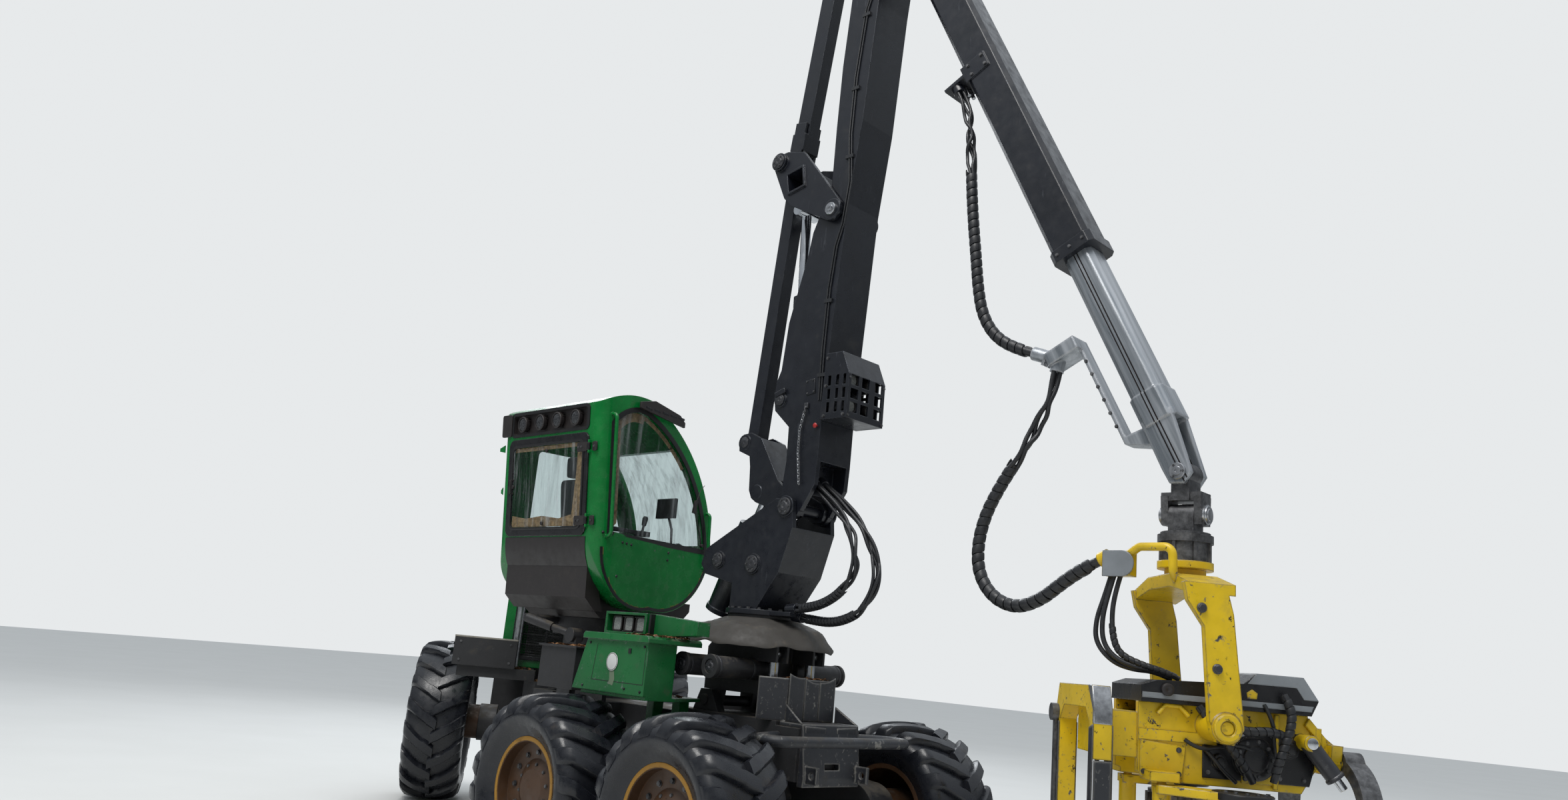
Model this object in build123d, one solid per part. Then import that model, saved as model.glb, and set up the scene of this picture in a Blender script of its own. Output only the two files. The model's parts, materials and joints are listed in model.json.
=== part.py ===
from build123d import *
import math
import os

# Six-wheeled forestry harvester: bogie front frame, articulated rear frame, turning cab,
# tilting crane with two stacked parallelogram links, telescopic stick and a felling head.
# Millimetres. +X is forward, +Y is the machine's left, +Z is up.
# The origin lies on the ground under the centre of the front bogies.

os.makedirs("parts", exist_ok=True)

# Clearances
PIN_GAP = 0.1          # radial running fit of a pin in its bore
SIDE_GAP = 0.3         # between the flat sides of a hinge
MOVE_GAP = 8.0         # between pieces that pass each other

# Wheels
TRACK_HALF = 1130.0
BOGIE_HALF = 750.0
FRONT_TYRE_RADIUS = 680.0
FRONT_TYRE_WIDTH = 700.0
FRONT_RIM_RADIUS = 337.0
REAR_TYRE_RADIUS = 815.0
REAR_TYRE_WIDTH = 600.0
REAR_RIM_RADIUS = 432.0
LUG_HEIGHT = 52.0
LUGS_A_SIDE = 12
SHOULDER_DROP = 42.0
RIM_THICKNESS = 14.0
FLANGE_HEIGHT = 22.0
FLANGE_WIDTH = 16.0
RIM_INSET = 95.0        # from the tyre's side to the rim's flange
DISC_INSET = 70.0       # from the flange to the wheel disc
DISC_THICKNESS = 18.0
HUB_RADIUS = 205.0
HUB_CAP_RADIUS = 130.0
SPINDLE_RADIUS = 85.0

# Front frame
FRAME_HALF = 330.0
FRAME_LOW = 930.0
FRAME_TOP = 1290.0
FRAME_FRONT = 900.0
JOINT_X = -2500.0
JOINT_PIN_RADIUS = 60.0
JOINT_EAR_RADIUS = 190.0
EAR_THICKNESS = 60.0
REAR_EYE_HEIGHT = 170.0
BOGIE_INNER = 470.0
BOGIE_OUTER = 740.0
BOGIE_END_RADIUS = 225.0
BOGIE_MID_HEIGHT = 430.0

# Rear frame, in its own axes from the articulation joint
REAR_HEADING = -35.0
REAR_AXLE_BACK = 2000.0
REAR_FRAME_HALF = 300.0
REAR_FRAME_LOW = 880.0
REAR_FRAME_TOP = 1330.0
REAR_FRAME_END = 3150.0
TOW_BACK = -3385.0
TOW_RADIUS = 25.0
HOOD_FRONT = 760.0
HOOD_HALF = 560.0
HOOD_TOP = 2640.0
HOOD_LOW = 1450.0
HOOD_END = 3080.0
HOOD_WALL = 30.0
GRILLE_HALF = 430.0
GRILLE_Z = (1560.0, 2160.0)

# Cab
CAB_X = -1900.0
CAB_WALL = 45.0
CAB_REAR_HALF = 745.0
CAB_FRONT_HALF = 590.0
CAB_RING_RADIUS = 430.0
CAB_FLOOR_LOW = 1950.0
CAB_CORNER = 110.0
REAR_LINE = (-740.0, 2550.0)
REAR_LEAN = (-120.0, 1170.0)
CAB_FLOOR = 2210.0
GLASS_INSET = 18.0
GLASS_THICKNESS = 10.0
LAMP_RECESS = (975.0, 1150.0)
LAMP_RECESS_DEPTH = 32.0
SILL = 2655.0
HATCH_SIZE = (1200.0, 870.0)
HATCH_CENTRE = 492.0
HATCH_GLASS = (1050.0, 720.0)
DOOR_SIZE = (600.0, 1280.0)
DOOR_CENTRE = (-350.0, 2900.0)
DOOR_GLASS = (450.0, 700.0)
DOOR_GLASS_CENTRE = (-350.0, 3120.0)
PANEL_THICKNESS = 14.0
PANEL_OVERLAP = 22.0
HINGE_OUT = 26.0
HINGE_ASIDE = 25.0
HINGE_RADIUS = 11.0
HINGE_PIN_RADIUS = 5.5
HINGE_HALF = 30.0
HATCH_HINGES = (180.0, 800.0)
DOOR_HINGES = (2450.0, 3350.0)

# Crane, places in its own plane (X, Z)
SLEW_X = 130.0
TILT_PIVOT = (-120.0, 1400.0)
SLEW_RING_TOP = 2100.0
SLEW_RING_RADIUS = 300.0
SLEW_TUBES = (20.0, 325.0)
SLEW_TUBE_Z = 1655.0
SLEW_TUBE_RADIUS = 78.0
SLEW_TUBE_HALF = 700.0
TILT_EYE = (480.0, 1790.0)
TILT_ROD_Y = 200.0
TILT_ROD_RADIUS = 38.0
TILT_BARREL_LOW = 960.0
TILT_BARREL_TOP = 1480.0
TILT_BARREL_RADIUS = 62.0
TILT_PIN_RADIUS = 40.0
HOUSING_FRONT = 345.0
FOOT = (500.0, 2878.0)
LIFT_TRUNNION = (-190.0, 2470.0)
LIFT_EYE = (60.0, 3020.0)
LINK_ARM = (-630.0, 560.0)
LEVER_PIN = (FOOT[0] + LINK_ARM[0], FOOT[1] + LINK_ARM[1])
PLATE_PIVOT = (705.0, 5258.0)
PLATE_PIN = (PLATE_PIVOT[0] + LINK_ARM[0], PLATE_PIVOT[1] + LINK_ARM[1])
BOOM_TIP = (1010.0, 7560.0)
HEEL_PIN = (BOOM_TIP[0] + LINK_ARM[0], BOOM_TIP[1] + LINK_ARM[1])
REACH_FOOT = (290.0, 3742.0)
REACH_EYE = (200.0, 5420.0)
PILLAR_HALF = 240.0
PILLAR_PLATE = 42.0
BOOM_HALF = 190.0
BOOM_PLATE = 40.0
LEVER_HALF = 140.0
LEVER_PLATE = 32.0
LINK_HALF = 60.0
PLATE_HALF = 235.0
PLATE_THICKNESS = 32.0
LIFT_BARREL_RADIUS = 118.0
LIFT_ROD_RADIUS = 46.0
REACH_BARREL_RADIUS = 66.0
REACH_ROD_RADIUS = 42.0
FOOT_PIN_RADIUS = 45.0
LINK_PIN_RADIUS = 32.0
REACH_PIN_RADIUS = 34.0
PIVOT_PIN_RADIUS = 40.0
TIP_HINGE_RADIUS = 42.0
FORK_PLATE = 26.0

# Stick and its telescopic extension, along their own axis
STICK_ANGLE = -63.5
STICK_MIDDLE = (2240.0, 5670.0)
STICK_HALF = 150.0
STICK_DEPTH = 290.0
STICK_WALL = 14.0
STICK_START = -2050.0
STICK_END = 1297.0
HEEL_LAP = 220.0          # how far the heel plates run along the stick
EXTENSION_HALF = 112.0
EXTENSION_DEPTH = 205.0
EXTENSION_START = -720.0
EXTENSION_END = 2611.0
TIP_PIN = (3530.0, 3020.0)
TIP_PIN_RADIUS = 34.0
TIP_EAR = 112.0
TIP_EAR_THICKNESS = 34.0
CROSS_PIN_Z = 2775.0
ROTATOR_LOW = 2430.0
ROTATOR_RADIUS = 140.0

# Head, in its own axes around the rotator's axis
HEAD_HEADING = 45.0
HEAD_PIVOT = (60.0, 1600.0)
HEAD_PIVOT_RADIUS = 36.0
YOKE_HALF = 400.0
YOKE_PLATE = 45.0
YOKE_TOP = 2400.0
ARM_PIVOT_Y = 190.0
SAW_BOX_HALF = 375.0
ROLLER_RADIUS = 190.0
ROLLER_HEIGHT = 300.0


# Helpers
def block(x_span, y_span, z_span):
    low_x, high_x = x_span
    low_y, high_y = y_span
    low_z, high_z = z_span
    centre = ((low_x + high_x) / 2, (low_y + high_y) / 2, (low_z + high_z) / 2)
    return Pos(*centre) * Box(high_x - low_x, high_y - low_y, high_z - low_z)


def prism(points, direction, amount):
    return extrude(make_face(Polyline(*points, close=True)), amount=amount, dir=direction)


def side_prism(outline, low_y, high_y):
    points = [(x, low_y, z) for x, z in outline]
    return prism(points, (0, 1, 0), high_y - low_y)


def plan_prism(outline, low_z, high_z):
    points = [(x, y, low_z) for x, y in outline]
    return prism(points, (0, 0, 1), high_z - low_z)


def front_prism(outline, low_x, high_x):
    points = [(low_x, y, z) for y, z in outline]
    return prism(points, (1, 0, 0), high_x - low_x)


def rod(start, end, radius):
    path = Vector(*end) - Vector(*start)
    frame = Plane(origin=start, z_dir=path)
    return frame.location * Cylinder(radius, path.length, align=(Align.CENTER, Align.CENTER, Align.MIN))


def cross_rod(place, low_y, high_y, radius):
    return rod((place[0], low_y, place[1]), (place[0], high_y, place[1]), radius)


def mirrored(shape):
    return mirror(shape, about=Plane.XZ)


def both_sides(shape):
    return [shape, mirrored(shape)]


def joined(*shapes):
    whole = shapes[0]
    for shape in shapes[1:]:
        whole = whole + shape
    return whole


def save(name, *shapes):
    solids = []
    for shape in shapes:
        parts = shape if isinstance(shape, (list, tuple)) else [shape]
        for part in parts:
            solids.extend(part.solids())
    whole = Compound(children=solids) if len(solids) > 1 else solids[0]
    export_step(whole, "parts/" + name + ".step")
    print(name, len(solids), "solids", round(sum(solid.volume for solid in solids) / 1e9, 4), "m3")


def hose(name, diameter, points):
    radii = []
    for before, corner, after in zip(points, points[1:], points[2:]):
        first = Vector(*corner) - Vector(*before)
        second = Vector(*after) - Vector(*corner)
        turn = math.radians(first.get_angle(second))
        radii.append(0.45 * min(first.length, second.length) / math.tan(turn / 2))
    path = FilletPolyline(*points, radius=radii)
    start = Plane(origin=path @ 0, z_dir=path % 0)
    tube = sweep(start * Circle(diameter / 2), path=path)
    print(name, "length", round(path.length), "tightest radius", round(min(radii)),
          "volume ratio", round(tube.volume / (math.pi * diameter ** 2 / 4 * path.length), 3))
    save(name, tube)


# Wheels
# Lug plan, along the tread and across it, as shares of the half width outwards
LUG_PLAN = ((-70, 0.97), (22, 0.97), (40, 0.60), (118, 0.02), (30, -0.04), (-62, 0.52))


def carcass(radius, width, rim_radius):
    base = radius - LUG_HEIGHT
    half = width / 2
    shoulder = base - SHOULDER_DROP
    bead = half - RIM_INSET
    edge = half - 22
    flange = rim_radius + FLANGE_HEIGHT
    middle = (rim_radius + shoulder) / 2
    with BuildSketch() as profile:
        with BuildLine():
            Line((rim_radius, -bead), (rim_radius, bead))
            Line((rim_radius, bead), (flange, bead))
            Line((flange, bead), (flange, bead + FLANGE_WIDTH))
            ThreePointArc((flange, bead + FLANGE_WIDTH), (middle, half), (shoulder, edge))
            ThreePointArc((shoulder, edge), (base, 0), (shoulder, -edge))
            ThreePointArc((shoulder, -edge), (middle, -half), (flange, -bead - FLANGE_WIDTH))
            Line((flange, -bead - FLANGE_WIDTH), (flange, -bead))
            Line((flange, -bead), (rim_radius, -bead))
        make_face()
    return revolve(profile.sketch, axis=Axis.Y)


def tyre(radius, width, rim_radius):
    half = width / 2
    reach = max(abs(along) for along, across in LUG_PLAN)
    lug_top = math.sqrt(radius ** 2 - reach ** 2)
    lug_root = radius - LUG_HEIGHT - SHOULDER_DROP - 30
    body = carcass(radius, width, rim_radius)
    lugs = []
    for side in (1, -1):
        for index in range(LUGS_A_SIDE):
            plan = [(along, side * across * half, lug_root) for along, across in LUG_PLAN]
            lug = prism(plan, (0, 0, 1), lug_top - lug_root)
            turn = 360 / LUGS_A_SIDE * (index + (0.5 if side < 0 else 0))
            lugs.append(Rot(0, turn, 0) * lug)
    return body.fuse(*lugs)


def rim(radius, width, rim_radius):
    bead = width / 2 - RIM_INSET
    inner = rim_radius - RIM_THICKNESS
    flange = rim_radius + FLANGE_HEIGHT
    disc = bead - DISC_INSET
    back = BOGIE_OUTER + SIDE_GAP - TRACK_HALF
    outline = (
        (inner, -bead - FLANGE_WIDTH), (flange, -bead - FLANGE_WIDTH), (flange, -bead),
        (rim_radius, -bead), (rim_radius, bead), (flange, bead), (flange, bead + FLANGE_WIDTH),
        (inner, bead + FLANGE_WIDTH), (inner, disc), (HUB_RADIUS, disc - 20),
        (HUB_CAP_RADIUS, disc + 25), (0, disc + 40), (0, disc - 70),
        (SPINDLE_RADIUS + PIN_GAP, disc - 70), (SPINDLE_RADIUS + PIN_GAP, back),
        (HUB_RADIUS - 30, back), (HUB_RADIUS - 30, disc - 20 - DISC_THICKNESS), (inner, disc - DISC_THICKNESS),
    )
    profile = make_face(Polyline(*[(r, y) for r, y in outline], close=True))
    return revolve(profile, axis=Axis.Y)


def rear_place(shape):
    return Pos(JOINT_X, 0, 0) * Rot(0, 0, REAR_HEADING) * shape


front_tyre = tyre(FRONT_TYRE_RADIUS, FRONT_TYRE_WIDTH, FRONT_RIM_RADIUS)
front_rim = rim(FRONT_TYRE_RADIUS, FRONT_TYRE_WIDTH, FRONT_RIM_RADIUS)
rear_tyre = tyre(REAR_TYRE_RADIUS, REAR_TYRE_WIDTH, REAR_RIM_RADIUS)
rear_rim = rim(REAR_TYRE_RADIUS, REAR_TYRE_WIDTH, REAR_RIM_RADIUS)

# Wheel table: name, place along the frame, side (1 is left)
FRONT_WHEELS = (
    ("front_left", BOGIE_HALF, 1), ("front_right", BOGIE_HALF, -1),
    ("middle_left", -BOGIE_HALF, 1), ("middle_right", -BOGIE_HALF, -1),
)
for name, x, side in FRONT_WHEELS:
    turn = 0 if side > 0 else 180
    place = Pos(x, side * TRACK_HALF, FRONT_TYRE_RADIUS) * Rot(0, 0, turn)
    save("tyre_" + name, place * front_tyre)
    save("rim_" + name, place * front_rim)
for name, side in (("rear_left", 1), ("rear_right", -1)):
    turn = 0 if side > 0 else 180
    place = Pos(-REAR_AXLE_BACK, side * TRACK_HALF, REAR_TYRE_RADIUS) * Rot(0, 0, turn)
    save("tyre_" + name, rear_place(place * rear_tyre))
    save("rim_" + name, rear_place(place * rear_rim))


# Bogies: boxed beams on a cross axle, with a spindle at each end
def spindle_reach(width):
    bead = width / 2 - RIM_INSET
    return TRACK_HALF + bead - DISC_INSET - 70 - MOVE_GAP


def bogie_beam():
    axle = FRONT_TYRE_RADIUS
    end = BOGIE_END_RADIUS
    outline = (
        (-BOGIE_HALF, axle + end), (-260, axle + BOGIE_MID_HEIGHT / 2 + 60), (260, axle + BOGIE_MID_HEIGHT / 2 + 60),
        (BOGIE_HALF, axle + end), (BOGIE_HALF, axle - end), (200, axle - BOGIE_MID_HEIGHT / 2 + 40),
        (-200, axle - BOGIE_MID_HEIGHT / 2 + 40), (-BOGIE_HALF, axle - end),
    )
    beam = side_prism(outline, BOGIE_INNER, BOGIE_OUTER)
    for x in (-BOGIE_HALF, BOGIE_HALF):
        beam = beam + cross_rod((x, axle), BOGIE_INNER, BOGIE_OUTER, end)
        beam = beam + cross_rod((x, axle), BOGIE_OUTER, spindle_reach(FRONT_TYRE_WIDTH), SPINDLE_RADIUS)
    beam = beam + cross_rod((0, axle), BOGIE_OUTER, BOGIE_OUTER + 35, 120)
    return beam


def cross_axle():
    axle = FRONT_TYRE_RADIUS
    tube = cross_rod((0, axle), -BOGIE_INNER, BOGIE_INNER, 150)
    gear_case = Pos(0, 0, axle) * Sphere(245)
    drive = rod((0, 0, axle), (-420, 0, axle + 60), 120)
    return joined(tube, gear_case, drive)


save("bogies", both_sides(bogie_beam()), cross_axle())


# Front frame: box frame, cab pedestal, crane foot and the articulation ears
def front_frame():
    axle = FRONT_TYRE_RADIUS
    plan = (
        (FRAME_FRONT, -FRAME_HALF), (FRAME_FRONT, FRAME_HALF), (-1950, FRAME_HALF),
        (-2260, 150), (-2260, -150), (-1950, -FRAME_HALF),
    )
    body = plan_prism(plan, FRAME_LOW, FRAME_TOP)
    saddle_outline = ((-260, FRAME_LOW), (260, FRAME_LOW), (170, axle + 100), (-170, axle + 100))
    body = body + side_prism(saddle_outline, -FRAME_HALF, FRAME_HALF)
    body = body - Pos(0, 0, axle) * Sphere(245) - cross_rod((0, axle), -BOGIE_INNER, BOGIE_INNER, 150)
    body = body - rod((0, 0, axle), (-420, 0, axle + 60), 120)
    ear_top = FRAME_TOP
    for low in (FRAME_LOW, ear_top - EAR_THICKNESS):
        ear = block((JOINT_X, -2255), (-JOINT_EAR_RADIUS, JOINT_EAR_RADIUS), (low, low + EAR_THICKNESS))
        ear = ear + rod((JOINT_X, 0, low), (JOINT_X, 0, low + EAR_THICKNESS), JOINT_EAR_RADIUS)
        body = body + ear
    body = body + rod((JOINT_X, 0, FRAME_LOW), (JOINT_X, 0, FRAME_TOP + 12), JOINT_PIN_RADIUS)
    pedestal = rod((CAB_X, 0, FRAME_TOP), (CAB_X, 0, 1800), 330)
    ring = rod((CAB_X, 0, 1800), (CAB_X, 0, CAB_FLOOR_LOW - SIDE_GAP), CAB_RING_RADIUS)
    body = body + pedestal + ring
    crane_foot = block((-330, 680), (-FRAME_HALF, FRAME_HALF), (FRAME_TOP, FRAME_TOP + 30))
    body = body + crane_foot
    for side in (-1, 1):
        ear = side_prism(((-260, 1300), (40, 1300), (-60, 1480), (-180, 1480)), side * 255 - 40, side * 255 + 40)
        body = body + ear
        foot = (TILT_EYE[0], side * TILT_ROD_Y, TILT_BARREL_LOW)
        mouth = (TILT_EYE[0], side * TILT_ROD_Y, TILT_BARREL_TOP)
        body = body + rod(foot, mouth, TILT_BARREL_RADIUS)
        body = body - rod((foot[0], foot[1], foot[2] + 20), (mouth[0], mouth[1], mouth[2] + 5),
                          TILT_ROD_RADIUS + PIN_GAP)
    body = body + cross_rod(TILT_PIVOT, -FRAME_HALF + 10, FRAME_HALF - 10, TILT_PIN_RADIUS)
    return body


# Step box, the cab's levelling strut, and the tank and step on the left
TANK_X = (-700.0, -180.0)
TANK_Y = (330.0, 1040.0)
TANK_Z = (1405.0, 1800.0)


def frame_fittings():
    wall = FRAME_HALF
    box = block((-1480, -1010), (-900, -480), (1370, 1690)) + block((-1500, -990), (-920, -460), (1690, 1705))
    arm = block((-1400, -1100), (-520, -wall), (FRAME_TOP - 200, FRAME_TOP))
    box = joined(box, arm, block((-1400, -1100), (-520, -480), (FRAME_TOP - 200, 1370)))
    post = block((-1620, -1500), (-560, -wall), (1230, 1290)) + block((-1620, -1500), (-560, -500), (1230, 1790))
    boss = rod((-1560, -590, 1790), (-1560, -480, 1790), 62)
    strut = rod((-1990, -740, 1905), (-1560, -530, 1790), 28)
    barrel = rod((-1990, -740, 1905), (-1760, -628, 1843), 40)
    lug = rod((-1990, -760, 1905), (-1990, -400, 1905), 34)
    step = block((-1500, -1000), (wall, 760), (1180, 1230))
    tank = block(TANK_X, TANK_Y, TANK_Z) - block((-800, 0), (300, 640), (1400, 1600))
    tank_foot = block((-640, -240), (wall, 420), (1180, 1405))
    tank_foot = tank_foot + block((-640, -240), (wall, 1000), (1380, TANK_Z[0]))
    levelling = joined(post, boss, strut, barrel, lug)
    return levelling, box, step, tank + tank_foot


levelling, *side_fittings = frame_fittings()
save("front_frame", front_frame() + levelling, side_fittings)


# Front guard: folded shield plates with a slot, and the round bumper pipe
GUARD_GAP = 0.3
PIPE_RADIUS = 38.0
PIPE_HEIGHT = 1215.0
PIPE_FRONT = 1090.0
PIPE_HALF = 715.0
FRONT_LASH = (1015.0, 985.0)
LASH_RADIUS = 22.0


def front_guard():
    folded = ((700, -260), (700, 260), (560, 420), (548, 410), (688, 250), (688, -250), (548, -410), (560, -420))
    upper = plan_prism(folded, FRAME_TOP + 30, 1620)
    front = FRAME_FRONT + GUARD_GAP
    lower = side_prism(((front, 900), (front, FRAME_TOP + 30), (front + 15, FRAME_TOP + 30), (960, 960), (950, 900)),
                       -300, 300)
    lower = lower - block((850, 1000), (-80, 80), (1015, 1055))
    deck = block((688, front + 15), (-300, 300), (FRAME_TOP + GUARD_GAP, FRAME_TOP + 30))
    path = FilletPolyline((700, -330, PIPE_HEIGHT), (870, -700, PIPE_HEIGHT), (PIPE_FRONT, -PIPE_HALF, PIPE_HEIGHT),
                          (PIPE_FRONT, PIPE_HALF, PIPE_HEIGHT), (870, 700, PIPE_HEIGHT), (700, 330, PIPE_HEIGHT),
                          radius=110)
    bar = sweep(Plane(origin=path @ 0, z_dir=path % 0) * Circle(PIPE_RADIUS), path=path)
    bar = bar - block((-1000, front), (-FRAME_HALF - GUARD_GAP, FRAME_HALF + GUARD_GAP), (900, 1400))
    ears = [block((950, 1060), (y - 14, y + 14), (930, 1045)) - cross_rod(FRONT_LASH, -400, 400, LASH_RADIUS)
            for y in (-270, 270)]
    return joined(upper, deck, lower, *ears), bar


save("front_guard", front_guard())


# Green tool box, lamp housing and cover on the right, with the blank sign
BOX_X = (-700.0, 60.0)
BOX_Y = (-1060.0, -570.0)
BOX_Z = (1400.0, 1775.0)
BOX_DEPTH = 270.0
LID_HEIGHT = 50.0
HOUSING_HEIGHT = 170.0
LAMP_PLACES = (-680.0, -540.0, -400.0)
SIGN_RADIUS = 62.0


def side_boxes():
    low_x, high_x = BOX_X
    low_z, high_z = BOX_Z
    top = high_z + LID_HEIGHT
    outline = ((low_x - 90, low_z), (high_x, low_z), (high_x, high_z), (low_x + 40, high_z))
    body = side_prism(outline, BOX_Y[0], BOX_Y[0] + BOX_DEPTH)
    lid_outline = ((low_x + 10, high_z), (high_x + 25, high_z), (high_x + 25, top - 20), (high_x + 5, top),
                   (low_x + 30, top), (low_x + 10, top - 20))
    lid = side_prism(lid_outline, BOX_Y[0] - 25, BOX_Y[1])
    housing = block((-790, -290), (-820, -640), (top, top + HOUSING_HEIGHT))
    housing = housing - block((-765, -315), (-830, -700), (top + 20, top + HOUSING_HEIGHT - 20))
    bracket = side_prism(((low_x + 30, high_z), (low_x + 30, top), (-790, top), (-790, high_z + 30)), -820, -640)
    cover_outline = ((-290, top), (-290, top + HOUSING_HEIGHT), (250, top + 130), (250, top + 30), (-250, top))
    cover = side_prism(cover_outline, -780, -660)
    shelf = plan_prism(((low_x, BOX_Y[0] + 20), (high_x, BOX_Y[0] + 20), (high_x, -760), (-140, -FRAME_HALF),
                        (low_x, -FRAME_HALF)), low_z - 25, low_z)
    posts = [block((x - 40, x + 40), (-430, -FRAME_HALF), (FRAME_TOP - 120, low_z - 25)) for x in (-600, -300)]
    return joined(body, lid, housing, bracket, cover, shelf, *posts)


def front_lamps():
    bed = BOX_Z[1] + LID_HEIGHT + 25
    lamps = [block((x - 55, x + 55), (-775, -700), (bed, bed + 115)) for x in LAMP_PLACES]
    sign = rod((-330, BOX_Y[0] - 4, 1620), (-330, BOX_Y[0], 1620), SIGN_RADIUS)
    return lamps + [sign]


save("side_boxes", side_boxes())
save("front_lamps", front_lamps())


# Rear frame: forked nose, box beams, axle with hub cases and the tail bumper
def rear_frame():
    eye_low = (FRAME_LOW + FRAME_TOP) / 2 - REAR_EYE_HEIGHT / 2
    eye_high = eye_low + REAR_EYE_HEIGHT
    eye = rod((0, 0, eye_low), (0, 0, eye_high), JOINT_EAR_RADIUS - 20)
    neck = block((-520, 0), (-120, 120), (eye_low, eye_high))
    beam_plan = ((-480, -190), (-480, 190), (-760, REAR_FRAME_HALF), (-REAR_FRAME_END, REAR_FRAME_HALF),
                 (-REAR_FRAME_END, -REAR_FRAME_HALF), (-760, -REAR_FRAME_HALF))
    beam = plan_prism(beam_plan, REAR_FRAME_LOW, REAR_FRAME_TOP)
    body = joined(eye, neck, beam)
    body = body - rod((0, 0, eye_low - 10), (0, 0, eye_high + 10), JOINT_PIN_RADIUS + PIN_GAP)
    centre = (-REAR_AXLE_BACK, REAR_TYRE_RADIUS)
    axle = cross_rod(centre, -BOGIE_OUTER, BOGIE_OUTER, 135) + Pos(centre[0], 0, centre[1]) * Sphere(230)
    for side in (-1, 1):
        axle = axle + cross_rod(centre, min(side * 560, side * BOGIE_OUTER), max(side * 560, side * BOGIE_OUTER), 190)
        reach = side * spindle_reach(REAR_TYRE_WIDTH)
        axle = axle + cross_rod(centre, min(side * BOGIE_OUTER, reach), max(side * BOGIE_OUTER, reach),
                                SPINDLE_RADIUS)
    bumper_outline = ((-REAR_FRAME_END, 780), (-REAR_FRAME_END, 1500), (-REAR_FRAME_END - 130, 1500),
                      (-REAR_FRAME_END - 170, 1300), (-REAR_FRAME_END - 130, 780))
    bumper = side_prism(bumper_outline, -700, 700)
    hitch = block((-REAR_FRAME_END - 290, -REAR_FRAME_END - 100), (-110, 110), (900, 950))
    hitch = hitch - rod((TOW_BACK, 0, 890), (TOW_BACK, 0, 960), TOW_RADIUS)
    return joined(body, axle, bumper, hitch)


# Engine hood: a rounded shell with a louvred grille at its front and side vents
def hood():
    def shape(half, front, end, low, top, radius):
        outline = ((-front, low), (-front, top), (-end + 260, top - 40), (-end, top - 420), (-end, low))
        whole = side_prism(outline, -half, half)
        edges = [edge for edge in whole.edges() if edge.center().Z > top - 60 and edge.length > 1500]
        return fillet(edges, radius)
    outer = shape(HOOD_HALF, HOOD_FRONT, HOOD_END, HOOD_LOW, HOOD_TOP, 110)
    inner = shape(HOOD_HALF - HOOD_WALL, HOOD_FRONT + HOOD_WALL, HOOD_END - HOOD_WALL, HOOD_LOW - 10,
                  HOOD_TOP - HOOD_WALL, 80)
    shell = outer - inner
    grille_hole = block((-HOOD_FRONT - HOOD_WALL - 5, -HOOD_FRONT + 5), (-GRILLE_HALF, GRILLE_HALF), GRILLE_Z)
    shell = shell - grille_hole
    for side in (-1, 1):
        for row in range(4):
            z = 1750 + row * 150
            shell = shell - block((-2500, -1500), (side * HOOD_HALF - 40, side * HOOD_HALF + 40), (z, z + 70))
    return shell


def grille():
    depth = (-HOOD_FRONT - HOOD_WALL, -HOOD_FRONT)
    low_z, high_z = GRILLE_Z
    bars = [block(depth, (y - 12, y + 12), GRILLE_Z) for y in (-GRILLE_HALF + 12, -145, 145, GRILLE_HALF - 12)]
    slats = [block((depth[0] + 6, depth[1] - 6), (-GRILLE_HALF, GRILLE_HALF), (z, z + 20))
             for z in (low_z, low_z + 100, low_z + 200, low_z + 300, low_z + 400, low_z + 500, high_z - 20)]
    return bars[0].fuse(*bars[1:], *slats)


def rear_fittings():
    platform = block((-620, -450), (-990, -400), (1430, 1700))
    hanger = block((-720, -500), (-940, -200), (REAR_FRAME_TOP, 1430))
    tank = block((-740, -520), (360, 800), (1250, 1640)) + block((-740, -600), (150, 500), (REAR_FRAME_TOP, 1400))
    shelf = block((-755, -640), (-480, -220), (REAR_FRAME_TOP, 1440))
    post = rod((-695, -416, 1440), (-695, -416, 2050), 38) + rod((-695, -416, 2050), (-695, -416, 2660), 48)
    seats = [block((x - 50, x + 50), (-HOOD_HALF, HOOD_HALF), (REAR_FRAME_TOP, HOOD_LOW)) for x in (-1080, -2850)]
    return [joined(platform, hanger, shelf), tank, post, *seats]


save("rear_frame", rear_place(rear_frame()), *[rear_place(shape) for shape in rear_fittings()], rear_place(grille()))
save("hood", rear_place(hood()))
save("engine_block", rear_place(block((-2350, -1150), (-340, 340), (REAR_FRAME_TOP, 2250))))


# Cab, turned to the left: its front looks along +Y, its right side along +X
def cab_profile():
    # Side profile in (Y, Z)
    with BuildLine() as line:
        Line(REAR_LINE, (REAR_LINE[0] + REAR_LEAN[0], REAR_LINE[1] + REAR_LEAN[1]))
        ThreePointArc((-860, 3720), (-640, 3820), (-300, 3850))
        ThreePointArc((-300, 3850), (310, 3450), (670, 2650))
        ThreePointArc((670, 2650), (470, 2210), (-50, 2050))
        ThreePointArc((-50, 2050), (-560, 2190), (-740, 2550))
    return make_face(Plane.YZ * line.line)


def cab_solid(inset):
    face = cab_profile()
    if inset:
        face = offset(face, -inset, kind=Kind.ARC)
    side = extrude(Pos(CAB_X - 900, 0, 0) * face, amount=1800, dir=(1, 0, 0))
    rear = CAB_REAR_HALF - inset
    front = CAB_FRONT_HALF - inset
    plan = ((CAB_X - rear, -900), (CAB_X + rear, -900), (CAB_X + rear, -560), (CAB_X + front, 720),
            (CAB_X - front, 720), (CAB_X - rear, -560))
    return side & plan_prism(plan, 1900, 3950) & rounded_rear(rear, inset)


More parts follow.
